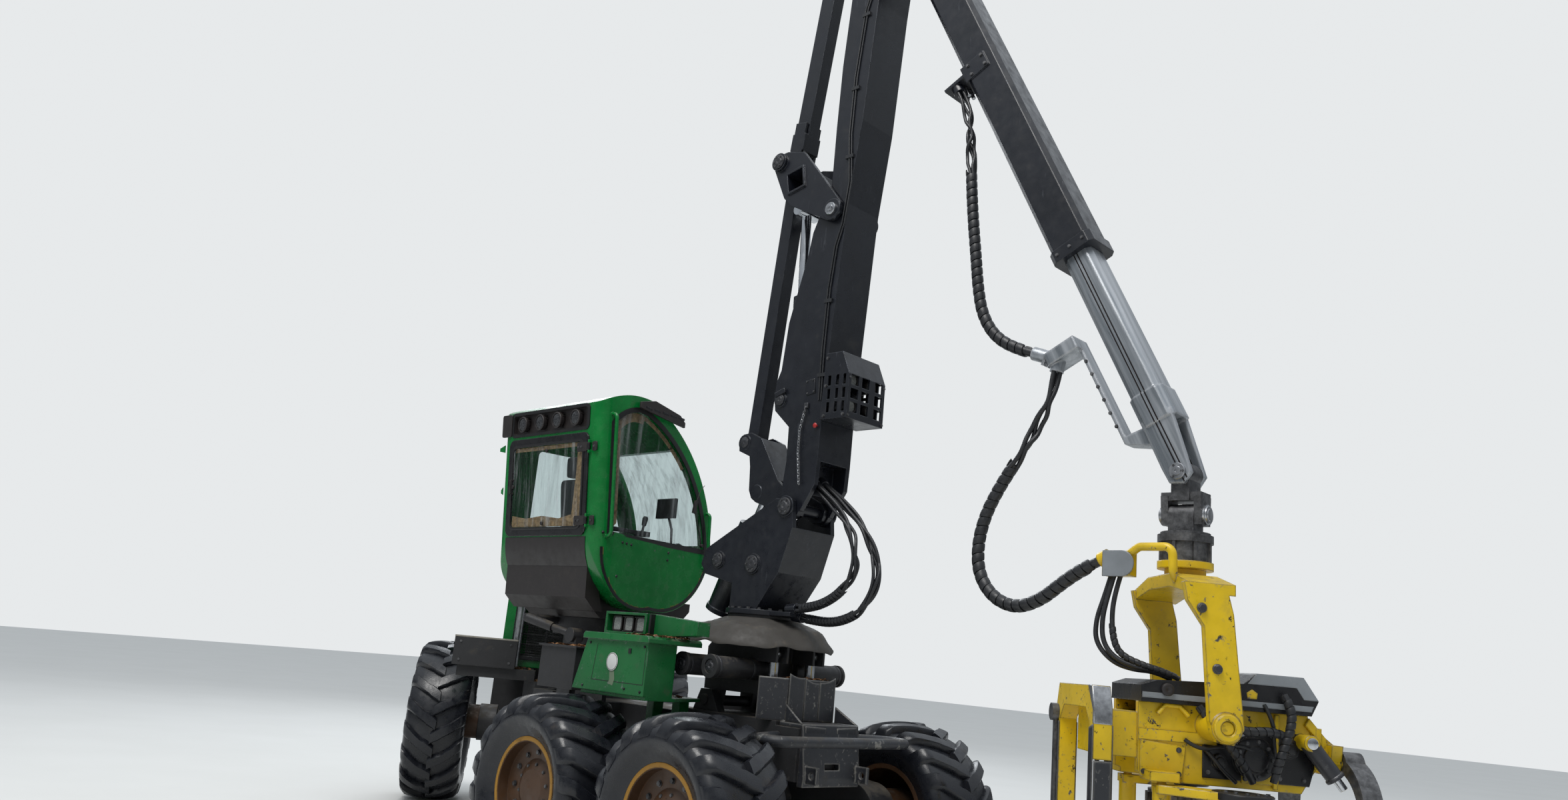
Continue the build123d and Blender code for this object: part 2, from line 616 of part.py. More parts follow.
def rounded_rear(half, inset):
    # Both rear corners rounded along the leaning rear face
    low = 1900
    lean = Vector(0, REAR_LEAN[0], REAR_LEAN[1])
    rear_y = REAR_LINE[0] + inset + (low - REAR_LINE[1]) * REAR_LEAN[0] / REAR_LEAN[1]
    corners = ((CAB_X - half, rear_y), (CAB_X + half, rear_y), (CAB_X + half, 1200), (CAB_X - half, 1200))
    plan = make_face(Polyline(*[(x, y, low) for x, y in corners], close=True))
    rear_corners = [vertex for vertex in plan.vertices() if abs(vertex.Y - rear_y) < 1]
    return extrude(fillet(rear_corners, CAB_CORNER - inset), amount=2050 * lean.length / lean.Z, dir=lean)


def side_window(low_x, high_x):
    # Window outline in (Y, Z): upright rear edge, flat sill and the front arc
    with BuildLine() as line:
        Line((-600, SILL), (-690, 3560))
        ThreePointArc((-690, 3560), (-540, 3690), (-330, 3710))
        ThreePointArc((-330, 3710), (200, 3380), (575, SILL))
        Line((575, SILL), (-600, SILL))
    face = make_face(Plane.YZ * line.line)
    return extrude(Pos(low_x, 0, 0) * face, amount=high_x - low_x, dir=(1, 0, 0))


def cab_windows():
    right = side_window(CAB_X, CAB_X + 900)
    left = side_window(CAB_X - 900, CAB_X) & block((CAB_X - 900, CAB_X), (150, 900), (2000, 4000))
    front = block((CAB_X - 470, CAB_X + 470), (60, 800), (2700, 3520))
    return right, left, front


# Planes on the cab's skin: X along the panel, Y up it, Z outwards
REAR_SKIN = Plane(origin=(CAB_X, *REAR_LINE), x_dir=(1, 0, 0), z_dir=(0, -REAR_LEAN[1], REAR_LEAN[0]))
LEFT_SKIN = Plane(origin=(CAB_X - CAB_REAR_HALF, -560, 0), x_dir=(CAB_FRONT_HALF - CAB_REAR_HALF, -1280, 0),
                  z_dir=(-1280, CAB_REAR_HALF - CAB_FRONT_HALF, 0))


def panel(centre, size, low, high, radius):
    shape = extrude(RectangleRounded(size[0], size[1], radius), amount=high - low)
    return Pos(centre[0], centre[1], low) * shape


def opening_size(size):
    return (size[0] - 2 * PANEL_OVERLAP, size[1] - 2 * PANEL_OVERLAP)


def knuckles(edge, side, heights):
    x = edge + side * HINGE_ASIDE
    leaf = []
    for height in heights:
        bore = rod((x, height - 80, HINGE_OUT), (x, height + 80, HINGE_OUT), HINGE_PIN_RADIUS + PIN_GAP)
        low = min(edge - side * 30, x)
        high = max(edge - side * 30, x)
        arm = block((low, high), (height - HINGE_HALF, height + HINGE_HALF), (PANEL_THICKNESS - 2, HINGE_OUT - 2))
        barrel = rod((x, height - HINGE_HALF, HINGE_OUT), (x, height + HINGE_HALF, HINGE_OUT), HINGE_RADIUS)
        leaf.append(arm + barrel - bore)
    return leaf


def hinge_lugs(edge, side, heights):
    x = edge + side * HINGE_ASIDE
    lugs = []
    for height in heights:
        for end in (-1, 1):
            near = height + end * (HINGE_HALF + 1)
            far = height + end * (HINGE_HALF + 26)
            lug = block((x - 8, x + 8), (min(near, far), max(near, far)), (-10, HINGE_OUT))
            lugs.append(lug + rod((x, min(near, far), HINGE_OUT), (x, max(near, far), HINGE_OUT), HINGE_RADIUS - 2))
        lugs.append(rod((x, height - HINGE_HALF - 20, HINGE_OUT), (x, height + HINGE_HALF + 20, HINGE_OUT),
                        HINGE_PIN_RADIUS))
    return lugs


def hatch():
    frame = panel((0, HATCH_CENTRE), HATCH_SIZE, 0.5, PANEL_THICKNESS, 70)
    frame = frame - panel((0, HATCH_CENTRE), HATCH_GLASS, -5, PANEL_THICKNESS + 5, 50)
    return frame.fuse(*knuckles(HATCH_SIZE[0] / 2, 1, HATCH_HINGES))


def door():
    frame = panel(DOOR_CENTRE, DOOR_SIZE, 0.5, PANEL_THICKNESS, 70)
    frame = frame - panel(DOOR_GLASS_CENTRE, DOOR_GLASS, -5, PANEL_THICKNESS + 5, 50)
    edge = DOOR_CENTRE[0] + DOOR_SIZE[0] / 2
    return frame.fuse(*knuckles(edge, 1, DOOR_HINGES))


def cab_shell():
    shell = cab_solid(0) - cab_solid(CAB_WALL)
    right, left, front = cab_windows()
    shell = shell - right - left - front
    depth = CAB_WALL + 60
    shell = shell - REAR_SKIN.location * panel((0, HATCH_CENTRE), opening_size(HATCH_SIZE), -depth, 20, 60)
    shell = shell - LEFT_SKIN.location * panel(DOOR_CENTRE, opening_size(DOOR_SIZE), -depth, 20, 60)
    shell = shell - REAR_SKIN.location * block((-560, 560), LAMP_RECESS, (-LAMP_RECESS_DEPTH, 20))
    floor = block((CAB_X - 600, CAB_X + 600), (-700, 600), (CAB_FLOOR, CAB_FLOOR + 30)) & cab_solid(CAB_WALL / 2)
    shell = shell + floor
    lugs = [REAR_SKIN.location * lug for lug in hinge_lugs(HATCH_SIZE[0] / 2, 1, HATCH_HINGES)]
    edge = DOOR_CENTRE[0] + DOOR_SIZE[0] / 2
    lugs += [LEFT_SKIN.location * lug for lug in hinge_lugs(edge, 1, DOOR_HINGES)]
    return shell.fuse(*lugs, *cab_rails())


def cab_glass():
    pane = cab_solid(GLASS_INSET) - cab_solid(GLASS_INSET + GLASS_THICKNESS)
    right, left, front = cab_windows()
    return [pane & right, pane & left, (pane & front) - right - left]


def cab_belly():
    floor_low = CAB_FLOOR_LOW
    outline = ((-640, 2110), (-430, floor_low), (430, floor_low), (560, 2090), (560, 2160), (-640, 2160))
    belly = front_prism(outline, CAB_X - 520, CAB_X + 520)
    rear_outline = ((-700, 2540), (-670, 2100), (-560, 2000), (-480, 2000), (-540, 2180), (-735, 2540))
    lower_rear = front_prism(rear_outline, CAB_X - 600, CAB_X + 600)
    return (belly + lower_rear) - cab_solid(0)


def rail(points, radius, bend):
    path = FilletPolyline(*points, radius=bend)
    return sweep(Plane(origin=path @ 0, z_dir=path % 0) * Circle(radius), path=path)


def cab_rails():
    rear_x = CAB_X + CAB_REAR_HALF
    rear_rail = rail(((rear_x - 20, -735, 3640), (rear_x + 60, -730, 3630), (rear_x + 60, -640, 2620),
                      (rear_x - 20, -640, 2610)), 16, 40)
    front_x = CAB_X + CAB_FRONT_HALF
    front_rail = rail(((front_x - 25, 560, 3000), (front_x + 60, 575, 2980), (front_x + 60, 600, 2500),
                       (front_x - 25, 570, 2480)), 14, 40)
    return [rear_rail, front_rail]


def cab_lamps():
    height = (LAMP_RECESS[0] + LAMP_RECESS[1]) / 2
    return [REAR_SKIN.location * rod((x, height, -LAMP_RECESS_DEPTH), (x, height, -4), 62)
            for x in (-400, -130, 130, 400)]


def cab_seat():
    base = block((CAB_X - 200, CAB_X + 200), (-420, 40), (CAB_FLOOR + 30, 2520))
    cushion = block((CAB_X - 250, CAB_X + 250), (-430, 90), (2520, 2650))
    back = front_prism(((-430, 2650), (-300, 2650), (-400, 3360), (-520, 3360)), CAB_X - 230, CAB_X + 230)
    whole = joined(base, cushion, back)
    for side in (-1, 1):
        arm = block((250, 345), (-330, -250), (2560, 2690)) + block((250, 390), (-380, 120), (2690, 2750))
        whole = whole + Pos(CAB_X, 0, 0) * (arm if side > 0 else mirror(arm, about=Plane.YZ))
    return whole


save("cab_shell", cab_shell())
save("cab_glass", cab_glass())
save("cab_belly", cab_belly())
save("cab_lamps", cab_lamps())
save("cab_seat", cab_seat())
save("rear_hatch", REAR_SKIN.location * hatch())
save("hatch_glass", REAR_SKIN.location * panel((0, HATCH_CENTRE), HATCH_GLASS, 2, PANEL_THICKNESS - 2, 50))
save("cab_door", LEFT_SKIN.location * door())
save("door_glass", LEFT_SKIN.location * panel(DOOR_GLASS_CENTRE, DOOR_GLASS, 2, PANEL_THICKNESS - 2, 50))


# Crane base: the tilting slew housing with its four transverse cylinders
def slew_housing():
    front = HOUSING_FRONT
    outline = ((-250, 1480), (front, 1480), (front, 1990), (-60, 1990), (-250, 1800))
    body = side_prism(outline, -200, 200)
    body = body + rod((SLEW_X, 0, 1900), (SLEW_X, 0, SLEW_RING_TOP - 40), SLEW_RING_RADIUS - 20)
    for x in SLEW_TUBES:
        for side in (-1, 1):
            tube = rod((x, side * 150, SLEW_TUBE_Z), (x, side * SLEW_TUBE_HALF, SLEW_TUBE_Z), SLEW_TUBE_RADIUS)
            cap = rod((x, side * SLEW_TUBE_HALF, SLEW_TUBE_Z), (x, side * (SLEW_TUBE_HALF - 25), SLEW_TUBE_Z),
                      SLEW_TUBE_RADIUS + 8)
            hollow = rod((x, side * (SLEW_TUBE_HALF - 14), SLEW_TUBE_Z), (x, side * SLEW_TUBE_HALF, SLEW_TUBE_Z), 50)
            body = body + tube + cap - hollow
    for side in (-1, 1):
        ear = side_prism(((-190, 1480), (-50, 1480), (-70, 1345), (-170, 1345)), side * 175 - 25, side * 175 + 25)
        body = body + ear
        for offset in (-1, 1):
            y = side * TILT_ROD_Y + offset * (TILT_ROD_RADIUS + MOVE_GAP + 10)
            lug = side_prism(((front - 40, 1720), (565, 1720), (565, 1840), (front - 40, 1900)), y - 10, y + 10)
            body = body + lug
        web = block((front - 40, front), (side * TILT_ROD_Y - 66, side * TILT_ROD_Y + 66), (1700, 1990))
        body = body + web
    return body - cross_rod(TILT_PIVOT, -210, 210, TILT_PIN_RADIUS + PIN_GAP)


def tilt_rods():
    solids = []
    for side in (-1, 1):
        y = side * TILT_ROD_Y
        shaft = rod((TILT_EYE[0], y, 1300), (TILT_EYE[0], y, TILT_EYE[1] - 20), TILT_ROD_RADIUS)
        eye = cross_rod(TILT_EYE, y - 24, y + 24, 44)
        solids.append(shaft + eye)
    return solids


def rubber_mat():
    # A thick mat laid over the housing's shoulders, cut round the slew ring
    inner = SLEW_RING_RADIUS - 20 + SIDE_GAP
    rows = ((inner, 2040), (470, 1970), (570, 1830), (558, 1818), (460, 1956), (inner, 2026))
    profile = [(r, 0, z) for r, z in rows]
    cone = revolve(make_face(Polyline(*profile, close=True)), axis=Axis.Z, revolution_arc=200)
    return Pos(SLEW_X, 0, 0) * Rot(0, 0, -140) * cone


save("slew_housing", slew_housing())
save("tilt_rods", tilt_rods())
save("rubber_mat", rubber_mat())


# Hoses: routes of hand-chosen points
FOOT_HOSE_A = ((640, -80, 3060), (760, -84, 2975), (885, -88, 2870), (1000, -91, 2755), (1085, -97, 2630),
               (1125, -103, 2500), (1100, -109, 2380), (1020, -114, 2270), (900, -119, 2190), (750, -123, 2140),
               (600, -126, 2125))
FOOT_HOSE_B = ((640, 20, 3070), (775, 14, 2985), (905, 6, 2895), (1030, -2, 2790), (1140, -10, 2665),
               (1225, -18, 2525), (1262, -26, 2380), (1235, -34, 2240), (1140, -42, 2130), (1010, -48, 2065),
               (870, -52, 2040), (730, -54, 2048), (600, -55, 2062))
STICK_HOSE = ((1803, -110, 5986), (1876, -110, 5840), (1912, -110, 5660), (1932, -110, 5460), (1950, -112, 5250),
              (1972, -114, 5040), (1998, -112, 4830), (2026, -108, 4620), (2050, -102, 4410), (2090, -94, 4215),
              (2185, -84, 4050), (2335, -72, 3940), (2500, -60, 3880))
HEAD_HOSE = ((2675, -62, 3730), (2650, -72, 3590), (2600, -84, 3440), (2515, -98, 3270), (2410, -114, 3110),
             (2310, -128, 2950), (2230, -142, 2780), (2194, -156, 2590), (2222, -172, 2400), (2345, -188, 2250),
             (2530, -202, 2185), (2715, -216, 2240), (2865, -228, 2345), (3000, -240, 2425), (3130, -250, 2480))
HOSES = (
    ("foot_hose_inner", 62.0, FOOT_HOSE_A), ("foot_hose_outer", 62.0, FOOT_HOSE_B),
    ("stick_hose", 76.0, STICK_HOSE), ("head_hose", 76.0, HEAD_HOSE),
)


def hose_end(points, at_start, length, radius):
    # A gland that continues a hose's first or last run, face to face with it
    end, inner = (points[0], points[1]) if at_start else (points[-1], points[-2])
    out = (Vector(*end) - Vector(*inner)).normalized() * length
    return rod(end, tuple(Vector(*end) + out), radius)


# Pillar: neck on the slew ring, two side plates and the front web
def pillar():
    ring = rod((SLEW_X, 0, SLEW_RING_TOP - 40 + SIDE_GAP), (SLEW_X, 0, SLEW_RING_TOP), SLEW_RING_RADIUS)
    neck = block((-15, 275), (-165, 165), (SLEW_RING_TOP, 2420))
    outline = ((-15, SLEW_RING_TOP), (-15, 2290), (-330, 2360), (-390, 2440), (-350, 2560), (390, 2945), (560, 2930),
               (585, 2720), (480, 2380), (275, SLEW_RING_TOP))
    body = ring + neck
    for side in (-1, 1):
        inner = PILLAR_HALF - PILLAR_PLATE
        plate = side_prism(outline, inner, PILLAR_HALF)
        plate = plate + cross_rod(FOOT, PILLAR_HALF, PILLAR_HALF + 14, 82)
        plate = plate + cross_rod(LIFT_TRUNNION, PILLAR_HALF, PILLAR_HALF + 10, 70)
        plate = plate + cross_rod((200, 2440), PILLAR_HALF, PILLAR_HALF + 12, 80)
        plate = plate - cross_rod(LIFT_TRUNNION, inner - 1, PILLAR_HALF - 8, 35 + PIN_GAP)
        body = body + (plate if side > 0 else mirrored(plate))
    web = side_prism(((245, SLEW_RING_TOP - 10), (275, SLEW_RING_TOP - 10), (275, SLEW_RING_TOP), (480, 2380),
                      (585, 2720), (555, 2722), (450, 2400), (245, 2120)), -PILLAR_HALF, PILLAR_HALF)
    deck = side_prism(((-15, 2290), (-15, 2420), (275, 2420), (275, 2290)), -PILLAR_HALF, PILLAR_HALF)
    body = body + web + deck
    body = body + cross_rod(FOOT, -PILLAR_HALF - 24, PILLAR_HALF + 24, FOOT_PIN_RADIUS)
    shelf = block((360, 585), (-185, 10), (SLEW_RING_TOP - 38, SLEW_RING_TOP - 6))
    return body.fuse(shelf, *[hose_end(points, False, 95, 39) for points in (FOOT_HOSE_A, FOOT_HOSE_B)])


save("pillar", pillar())


# Lift cylinder: the barrel swings on trunnions in the pillar, its rod drives the lever
def towards(start, end):
    length = math.hypot(end[0] - start[0], end[1] - start[1])
    return ((end[0] - start[0]) / length, (end[1] - start[1]) / length, length)


def on_line(start, end, distance, y=0.0):
    ux, uz, length = towards(start, end)
    return (start[0] + ux * distance, y, start[1] + uz * distance)


LIFT_LOW = -430.0
LIFT_HIGH = 330.0


def lift_barrel():
    start = on_line(LIFT_TRUNNION, LIFT_EYE, LIFT_LOW)
    end = on_line(LIFT_TRUNNION, LIFT_EYE, LIFT_HIGH)
    gland = on_line(LIFT_TRUNNION, LIFT_EYE, LIFT_HIGH - 70)
    bore_start = on_line(LIFT_TRUNNION, LIFT_EYE, LIFT_LOW + 60)
    body = rod(start, end, LIFT_BARREL_RADIUS) + rod(gland, end, LIFT_BARREL_RADIUS + 14)
    body = body + rod(start, on_line(LIFT_TRUNNION, LIFT_EYE, LIFT_LOW + 40), LIFT_BARREL_RADIUS + 10)
    body = body + cross_rod(LIFT_TRUNNION, -PILLAR_HALF + 9, PILLAR_HALF - 9, 35)
    body = body + cross_rod(LIFT_TRUNNION, -PILLAR_HALF + PILLAR_PLATE + SIDE_GAP,
                            PILLAR_HALF - PILLAR_PLATE - SIDE_GAP, 62)
    return body - rod(bore_start, on_line(LIFT_TRUNNION, LIFT_EYE, LIFT_HIGH + 5), LIFT_ROD_RADIUS + PIN_GAP)


def cylinder_rod(foot, eye, start, radius, eye_radius, eye_half):
    shaft = rod(on_line(foot, eye, start), on_line(foot, eye, towards(foot, eye)[2] - 10), radius)
    return shaft + cross_rod(eye, -eye_half, eye_half, eye_radius)


LEVER_GAP = LEVER_HALF - LEVER_PLATE
save("lift_barrel", lift_barrel())
save("lift_rod", cylinder_rod(LIFT_TRUNNION, LIFT_EYE, -230, LIFT_ROD_RADIUS, 58, LEVER_GAP - MOVE_GAP))


# Lever plate behind the boom's foot, with its inner flange
def lever():
    outline = ((-195, 3450), (-185, 3370), (-60, 3320), (-42, 3233), (-28, 3040), (5, 2975), (60, 2940), (200, 2895),
               (390, 2850), (470, 2800), (560, 2820), (585, 2900), (540, 2960), (400, 3020), (290, 3105), (165, 3300),
               (60, 3460), (-60, 3515), (-150, 3505))
    flange_outline = ((60, 3460), (165, 3300), (290, 3105), (268, 3092), (145, 3286), (42, 3444))
    plate = side_prism(outline, LEVER_GAP, LEVER_HALF)
    for place, radius in ((LEVER_PIN, 66), (LIFT_EYE, 60), (FOOT, 78)):
        plate = plate + cross_rod(place, LEVER_GAP, LEVER_HALF + 4, radius)
    body = joined(plate, mirrored(plate), side_prism(flange_outline, -LEVER_HALF, LEVER_HALF))
    body = body - cross_rod(FOOT, -400, 400, FOOT_PIN_RADIUS + PIN_GAP)
    return body + cross_rod(LEVER_PIN, -LEVER_HALF - 5, LEVER_HALF + 5, LINK_PIN_RADIUS)


save("lever", lever())


# Boom: tapered box with wide side plates, foot, cylinder ears, link-plate ears and tip fork
BOX_OUTLINE = (
    (410, 3230), (400, 3600), (420, 3950), (470, 4550), (530, 4950), (640, 5420), (640, 6000), (650, 6550),
    (690, 7160), (770, 7330), (1010, 7300), (985, 7050), (915, 6000), (830, 5300), (770, 4240), (740, 3700), (735, 3230),
)
FOOT_OUTLINE = ((410, 3240), (735, 3240), (725, 3050), (600, 2850), (400, 2850), (385, 3000))
SIDE_OUTLINE = ((420, 3500), (235, 3660), (215, 3760), (225, 3900), (265, 3990), (300, 4380), (445, 4920), (480, 5120),
                (600, 5400), (700, 5400), (700, 4600), (600, 3600))
TIP_OUTLINE = ((770, 7320), (890, 7560), (960, 7670), (1060, 7670), (1130, 7560), (1010, 7290))
CAGE_OUTLINE = ((745, 3540), (1010, 3540), (1010, 3880), (930, 4060), (765, 4060))
CAGE_INNER = ((768, 3556), (994, 3556), (994, 3876), (918, 4044), (786, 4044))
CAGE_HALF = 215.0


def boom():
    body = side_prism(BOX_OUTLINE, -BOOM_HALF, BOOM_HALF)
    inner = BOOM_HALF - BOOM_PLATE
    foot = side_prism(FOOT_OUTLINE, inner, BOOM_HALF) + cross_rod(FOOT, inner, BOOM_HALF, 92)
    side = side_prism(SIDE_OUTLINE, inner, BOOM_HALF) + cross_rod(REACH_FOOT, inner, BOOM_HALF + 12, 62)
    tip = side_prism(TIP_OUTLINE, inner, BOOM_HALF) + cross_rod(BOOM_TIP, inner, BOOM_HALF + 16, 100)
    for plate in (foot, side, tip):
        body = body + plate + mirrored(plate)
    body = body - cross_rod(FOOT, -400, 400, FOOT_PIN_RADIUS + PIN_GAP)
    body = body + cross_rod(REACH_FOOT, -BOOM_HALF - 4, BOOM_HALF + 4, REACH_PIN_RADIUS)
    body = body + cross_rod(BOOM_TIP, -BOOM_HALF - 4, BOOM_HALF + 4, TIP_HINGE_RADIUS)
    body = body + cross_rod(PLATE_PIVOT, -PLATE_HALF - 16, PLATE_HALF + 16, PIVOT_PIN_RADIUS)
    bulkhead = block((575, 600), (-inner, inner), (2990, 3240))
    glands = [hose_end(points, True, 90, 44) for points in (FOOT_HOSE_A, FOOT_HOSE_B)]
    return body.fuse(bulkhead, *glands, lamp_cage())


def lamp_cage():
    cage = side_prism(CAGE_OUTLINE, -CAGE_HALF, CAGE_HALF) - side_prism(CAGE_INNER, -CAGE_HALF + 12, CAGE_HALF - 12)
    for row in range(3):
        z = 3590 + row * 105
        for low_y in (-CAGE_HALF + 30, -60, 95):
            cage = cage - block((980, 1040), (low_y, low_y + 90), (z, z + 80))
        for low_x in (800, 880, 950):
            cage = cage - block((low_x, low_x + 30), (-CAGE_HALF - 30, CAGE_HALF + 30), (z, z + 80))
    lamps = [rod((800, y, z), (950, y, z), 55) for y in (-110, 110) for z in (3650, 3850)]
    seats = [block((745, 805), (y - 40, y + 40), (3560, 3950)) for y in (-110, 110)]
    return cage.fuse(*seats, *lamps)


save("boom", boom())


# Triangular link plate with the square cross tube
TUBE_CENTRE = (275.0, 5612.0)
TUBE_SIZE = 200.0
TUBE_WALL = 18.0
TUBE_LEAN = 11.0


def link_plate():
    inner = PLATE_HALF - PLATE_THICKNESS
    outline = ((5, 5770), (-5, 5850), (45, 5895), (150, 5900), (340, 5850), (790, 5310), (790, 5215), (740, 5170),
               (660, 5175), (230, 5400), (150, 5480))
    plate = side_prism(outline, inner, PLATE_HALF)
    plate = plate + cross_rod(PLATE_PIVOT, inner, PLATE_HALF + 8, 88)
    plate = plate + cross_rod(PLATE_PIN, inner, PLATE_HALF + 30, 78)
    plate = plate - cross_rod(PLATE_PIVOT, 0, 400, PIVOT_PIN_RADIUS + PIN_GAP)
    centre = Pos(TUBE_CENTRE[0], 0, TUBE_CENTRE[1]) * Rot(0, -TUBE_LEAN, 0)
    hole = centre * Box(TUBE_SIZE - 2 * TUBE_WALL, 4 * PLATE_HALF, TUBE_SIZE - 2 * TUBE_WALL)
    tube = centre * Box(TUBE_SIZE, 2 * PLATE_HALF + 30, TUBE_SIZE)
    pin = cross_rod(PLATE_PIN, -PLATE_HALF, PLATE_HALF, LINK_PIN_RADIUS)
    return joined(plate, mirrored(plate), tube, pin) - hole


save("link_plate", link_plate())


def link_bar(low, high, start, end, half, depth):
    angle = math.degrees(math.atan2(high[1] - low[1], high[0] - low[0]))
    place = Pos(low[0], 0, low[1]) * Rot(0, -angle, 0)
    return place * block((start, towards(low, high)[2] - end), (-half, half), (-depth / 2, depth / 2))


def pin_holes(low, high):
    radius = LINK_PIN_RADIUS + PIN_GAP
    return cross_rod(low, -400, 400, radius) + cross_rod(high, -400, 400, radius)


def lower_link():
    bar = link_bar(LEVER_PIN, PLATE_PIN, 30, 30, LINK_HALF, 120)
    eyes = cross_rod(LEVER_PIN, -LINK_HALF, LINK_HALF, 68) + cross_rod(PLATE_PIN, -LINK_HALF, LINK_HALF, 68)
    return bar + eyes - pin_holes(LEVER_PIN, PLATE_PIN)


def upper_link():
    # Forked round the lower link's eye, with a single eye in the stick's heel
    fork_low = LINK_HALF + MOVE_GAP
    fork_high = fork_low + FORK_PLATE
    bar = link_bar(PLATE_PIN, HEEL_PIN, 170, 30, LINK_HALF, 150)
    bar = bar + link_bar(PLATE_PIN, HEEL_PIN, 170, 2000, fork_high, 150)
    cheek = link_bar(PLATE_PIN, HEEL_PIN, 0, 1900, fork_high, 120) - link_bar(PLATE_PIN, HEEL_PIN, -10, 1800, fork_low, 200)
    bosses = cross_rod(PLATE_PIN, -fork_high, fork_high, 62) - cross_rod(PLATE_PIN, -fork_low, fork_low, 100)
    gap = link_bar(PLATE_PIN, HEEL_PIN, -100, towards(PLATE_PIN, HEEL_PIN)[2] - 165, fork_low, 400)
    eye = cross_rod(HEEL_PIN, -LINK_HALF, LINK_HALF, 64)
    return ((bar + cheek) - gap) + bosses + eye - pin_holes(PLATE_PIN, HEEL_PIN)


save("lower_link", lower_link())
save("upper_link", upper_link())


# Reach cylinder between the boom's rear ears and the link plate
REACH_BARREL_END = 920.0


def reach_barrel():
    end = on_line(REACH_FOOT, REACH_EYE, REACH_BARREL_END)
    body = rod(on_line(REACH_FOOT, REACH_EYE, 30), end, REACH_BARREL_RADIUS)
    body = body + rod(on_line(REACH_FOOT, REACH_EYE, REACH_BARREL_END - 90), end, REACH_BARREL_RADIUS + 8)
    inner = BOOM_HALF - BOOM_PLATE - SIDE_GAP
    body = body + cross_rod(REACH_FOOT, -inner, inner, 58)
    body = body - cross_rod(REACH_FOOT, -400, 400, REACH_PIN_RADIUS + PIN_GAP)
    return body - rod(on_line(REACH_FOOT, REACH_EYE, 120), on_line(REACH_FOOT, REACH_EYE, REACH_BARREL_END + 5),
                      REACH_ROD_RADIUS + PIN_GAP)


save("reach_barrel", reach_barrel())
save("reach_rod", cylinder_rod(REACH_FOOT, REACH_EYE, 745, REACH_ROD_RADIUS, 50, 110))


# Stick: a hollow grooved box with a heel that takes the boom's tip pin and the upper link
def stick_place(shape):
    return Pos(STICK_MIDDLE[0], 0, STICK_MIDDLE[1]) * Rot(0, -STICK_ANGLE, 0) * shape


def stick_axes(place):
    turn = math.radians(STICK_ANGLE)
    dx = place[0] - STICK_MIDDLE[0]
    dz = place[1] - STICK_MIDDLE[1]
    return (dx * math.cos(turn) + dz * math.sin(turn), -dx * math.sin(turn) + dz * math.cos(turn))


def box_section(half, depth, chamfer_share):
    cut = half * chamfer_share
    top = depth / 2
    return ((-half, -top + cut), (-half, top - cut), (-half + cut, top), (half - cut, top), (half, top - cut),
            (half, -top + cut), (half - cut, -top), (-half + cut, -top))


def stick():
    outer = front_prism(box_section(STICK_HALF, STICK_DEPTH, 0.2), STICK_START, STICK_END)
    inner = front_prism(box_section(STICK_HALF - STICK_WALL, STICK_DEPTH - 2 * STICK_WALL, 0.2), STICK_START + 120,
                        STICK_END + 5)
    body = outer - inner
    collar = front_prism(box_section(STICK_HALF + 14, STICK_DEPTH + 28, 0.2), STICK_END - 90, STICK_END)
    collar = collar - front_prism(box_section(EXTENSION_HALF + SIDE_GAP, EXTENSION_DEPTH + 2 * SIDE_GAP, 0.3),
                                  STICK_END - 95, STICK_END + 5)
    body = body + collar
    tip = stick_axes(BOOM_TIP)
    heel = stick_axes(HEEL_PIN)
    inner_half = BOOM_HALF - BOOM_PLATE - SIDE_GAP
    heel_outline = ((STICK_START + HEEL_LAP, -STICK_DEPTH / 2 + 10), (tip[0] + 120, tip[1] - 60), (tip[0], tip[1] - 105),
                    (tip[0] - 110, tip[1] - 40), (heel[0] - 90, heel[1] - 40), (heel[0] - 40, heel[1] + 80),
                    (STICK_START, STICK_DEPTH / 2 - 20), (STICK_START + HEEL_LAP, STICK_DEPTH / 2 - 20))
    for side in (-1, 1):
        plate = side_prism(heel_outline, inner_half - 50, inner_half)
        body = body + (plate if side > 0 else mirrored(plate))
    filler = block((STICK_START + 5, STICK_START + 120), (-inner_half + 20, inner_half - 20),
                   (-STICK_DEPTH / 2 + 20, STICK_DEPTH / 2 - 20))
    hub = rod((tip[0], -inner_half, tip[1]), (tip[0], inner_half, tip[1]), 88)
    body = body + hub + filler
    body = body - rod((tip[0], -400, tip[1]), (tip[0], 400, tip[1]), TIP_HINGE_RADIUS + PIN_GAP)
    link_gap = LINK_HALF + SIDE_GAP
    body = body - rod((heel[0], -link_gap, heel[1]), (heel[0], link_gap, heel[1]), 120)
    body = body + rod((heel[0], -inner_half, heel[1]), (heel[0], inner_half, heel[1]), LINK_PIN_RADIUS)
    clamp_s = stick_axes((2030, 6180))[0]
    bracket = block((clamp_s - 70, clamp_s + 70), (-STICK_HALF - 12, -STICK_HALF), (-STICK_DEPTH / 2 - 10, 60))
    shelf = block((clamp_s - 12, clamp_s + 12), (-STICK_HALF - 12, 60), (-STICK_DEPTH / 2 - 190, -STICK_DEPTH / 2))
    body = body + bracket + shelf
    return stick_place(body) + hose_end(STICK_HOSE, True, 66, 46)


save("stick", stick())


# Extension with its end casting and the hose arm along its underside
HOSE_ARM = (1800.0, 1890.0)
HOSE_ARM_OUT = 278.0


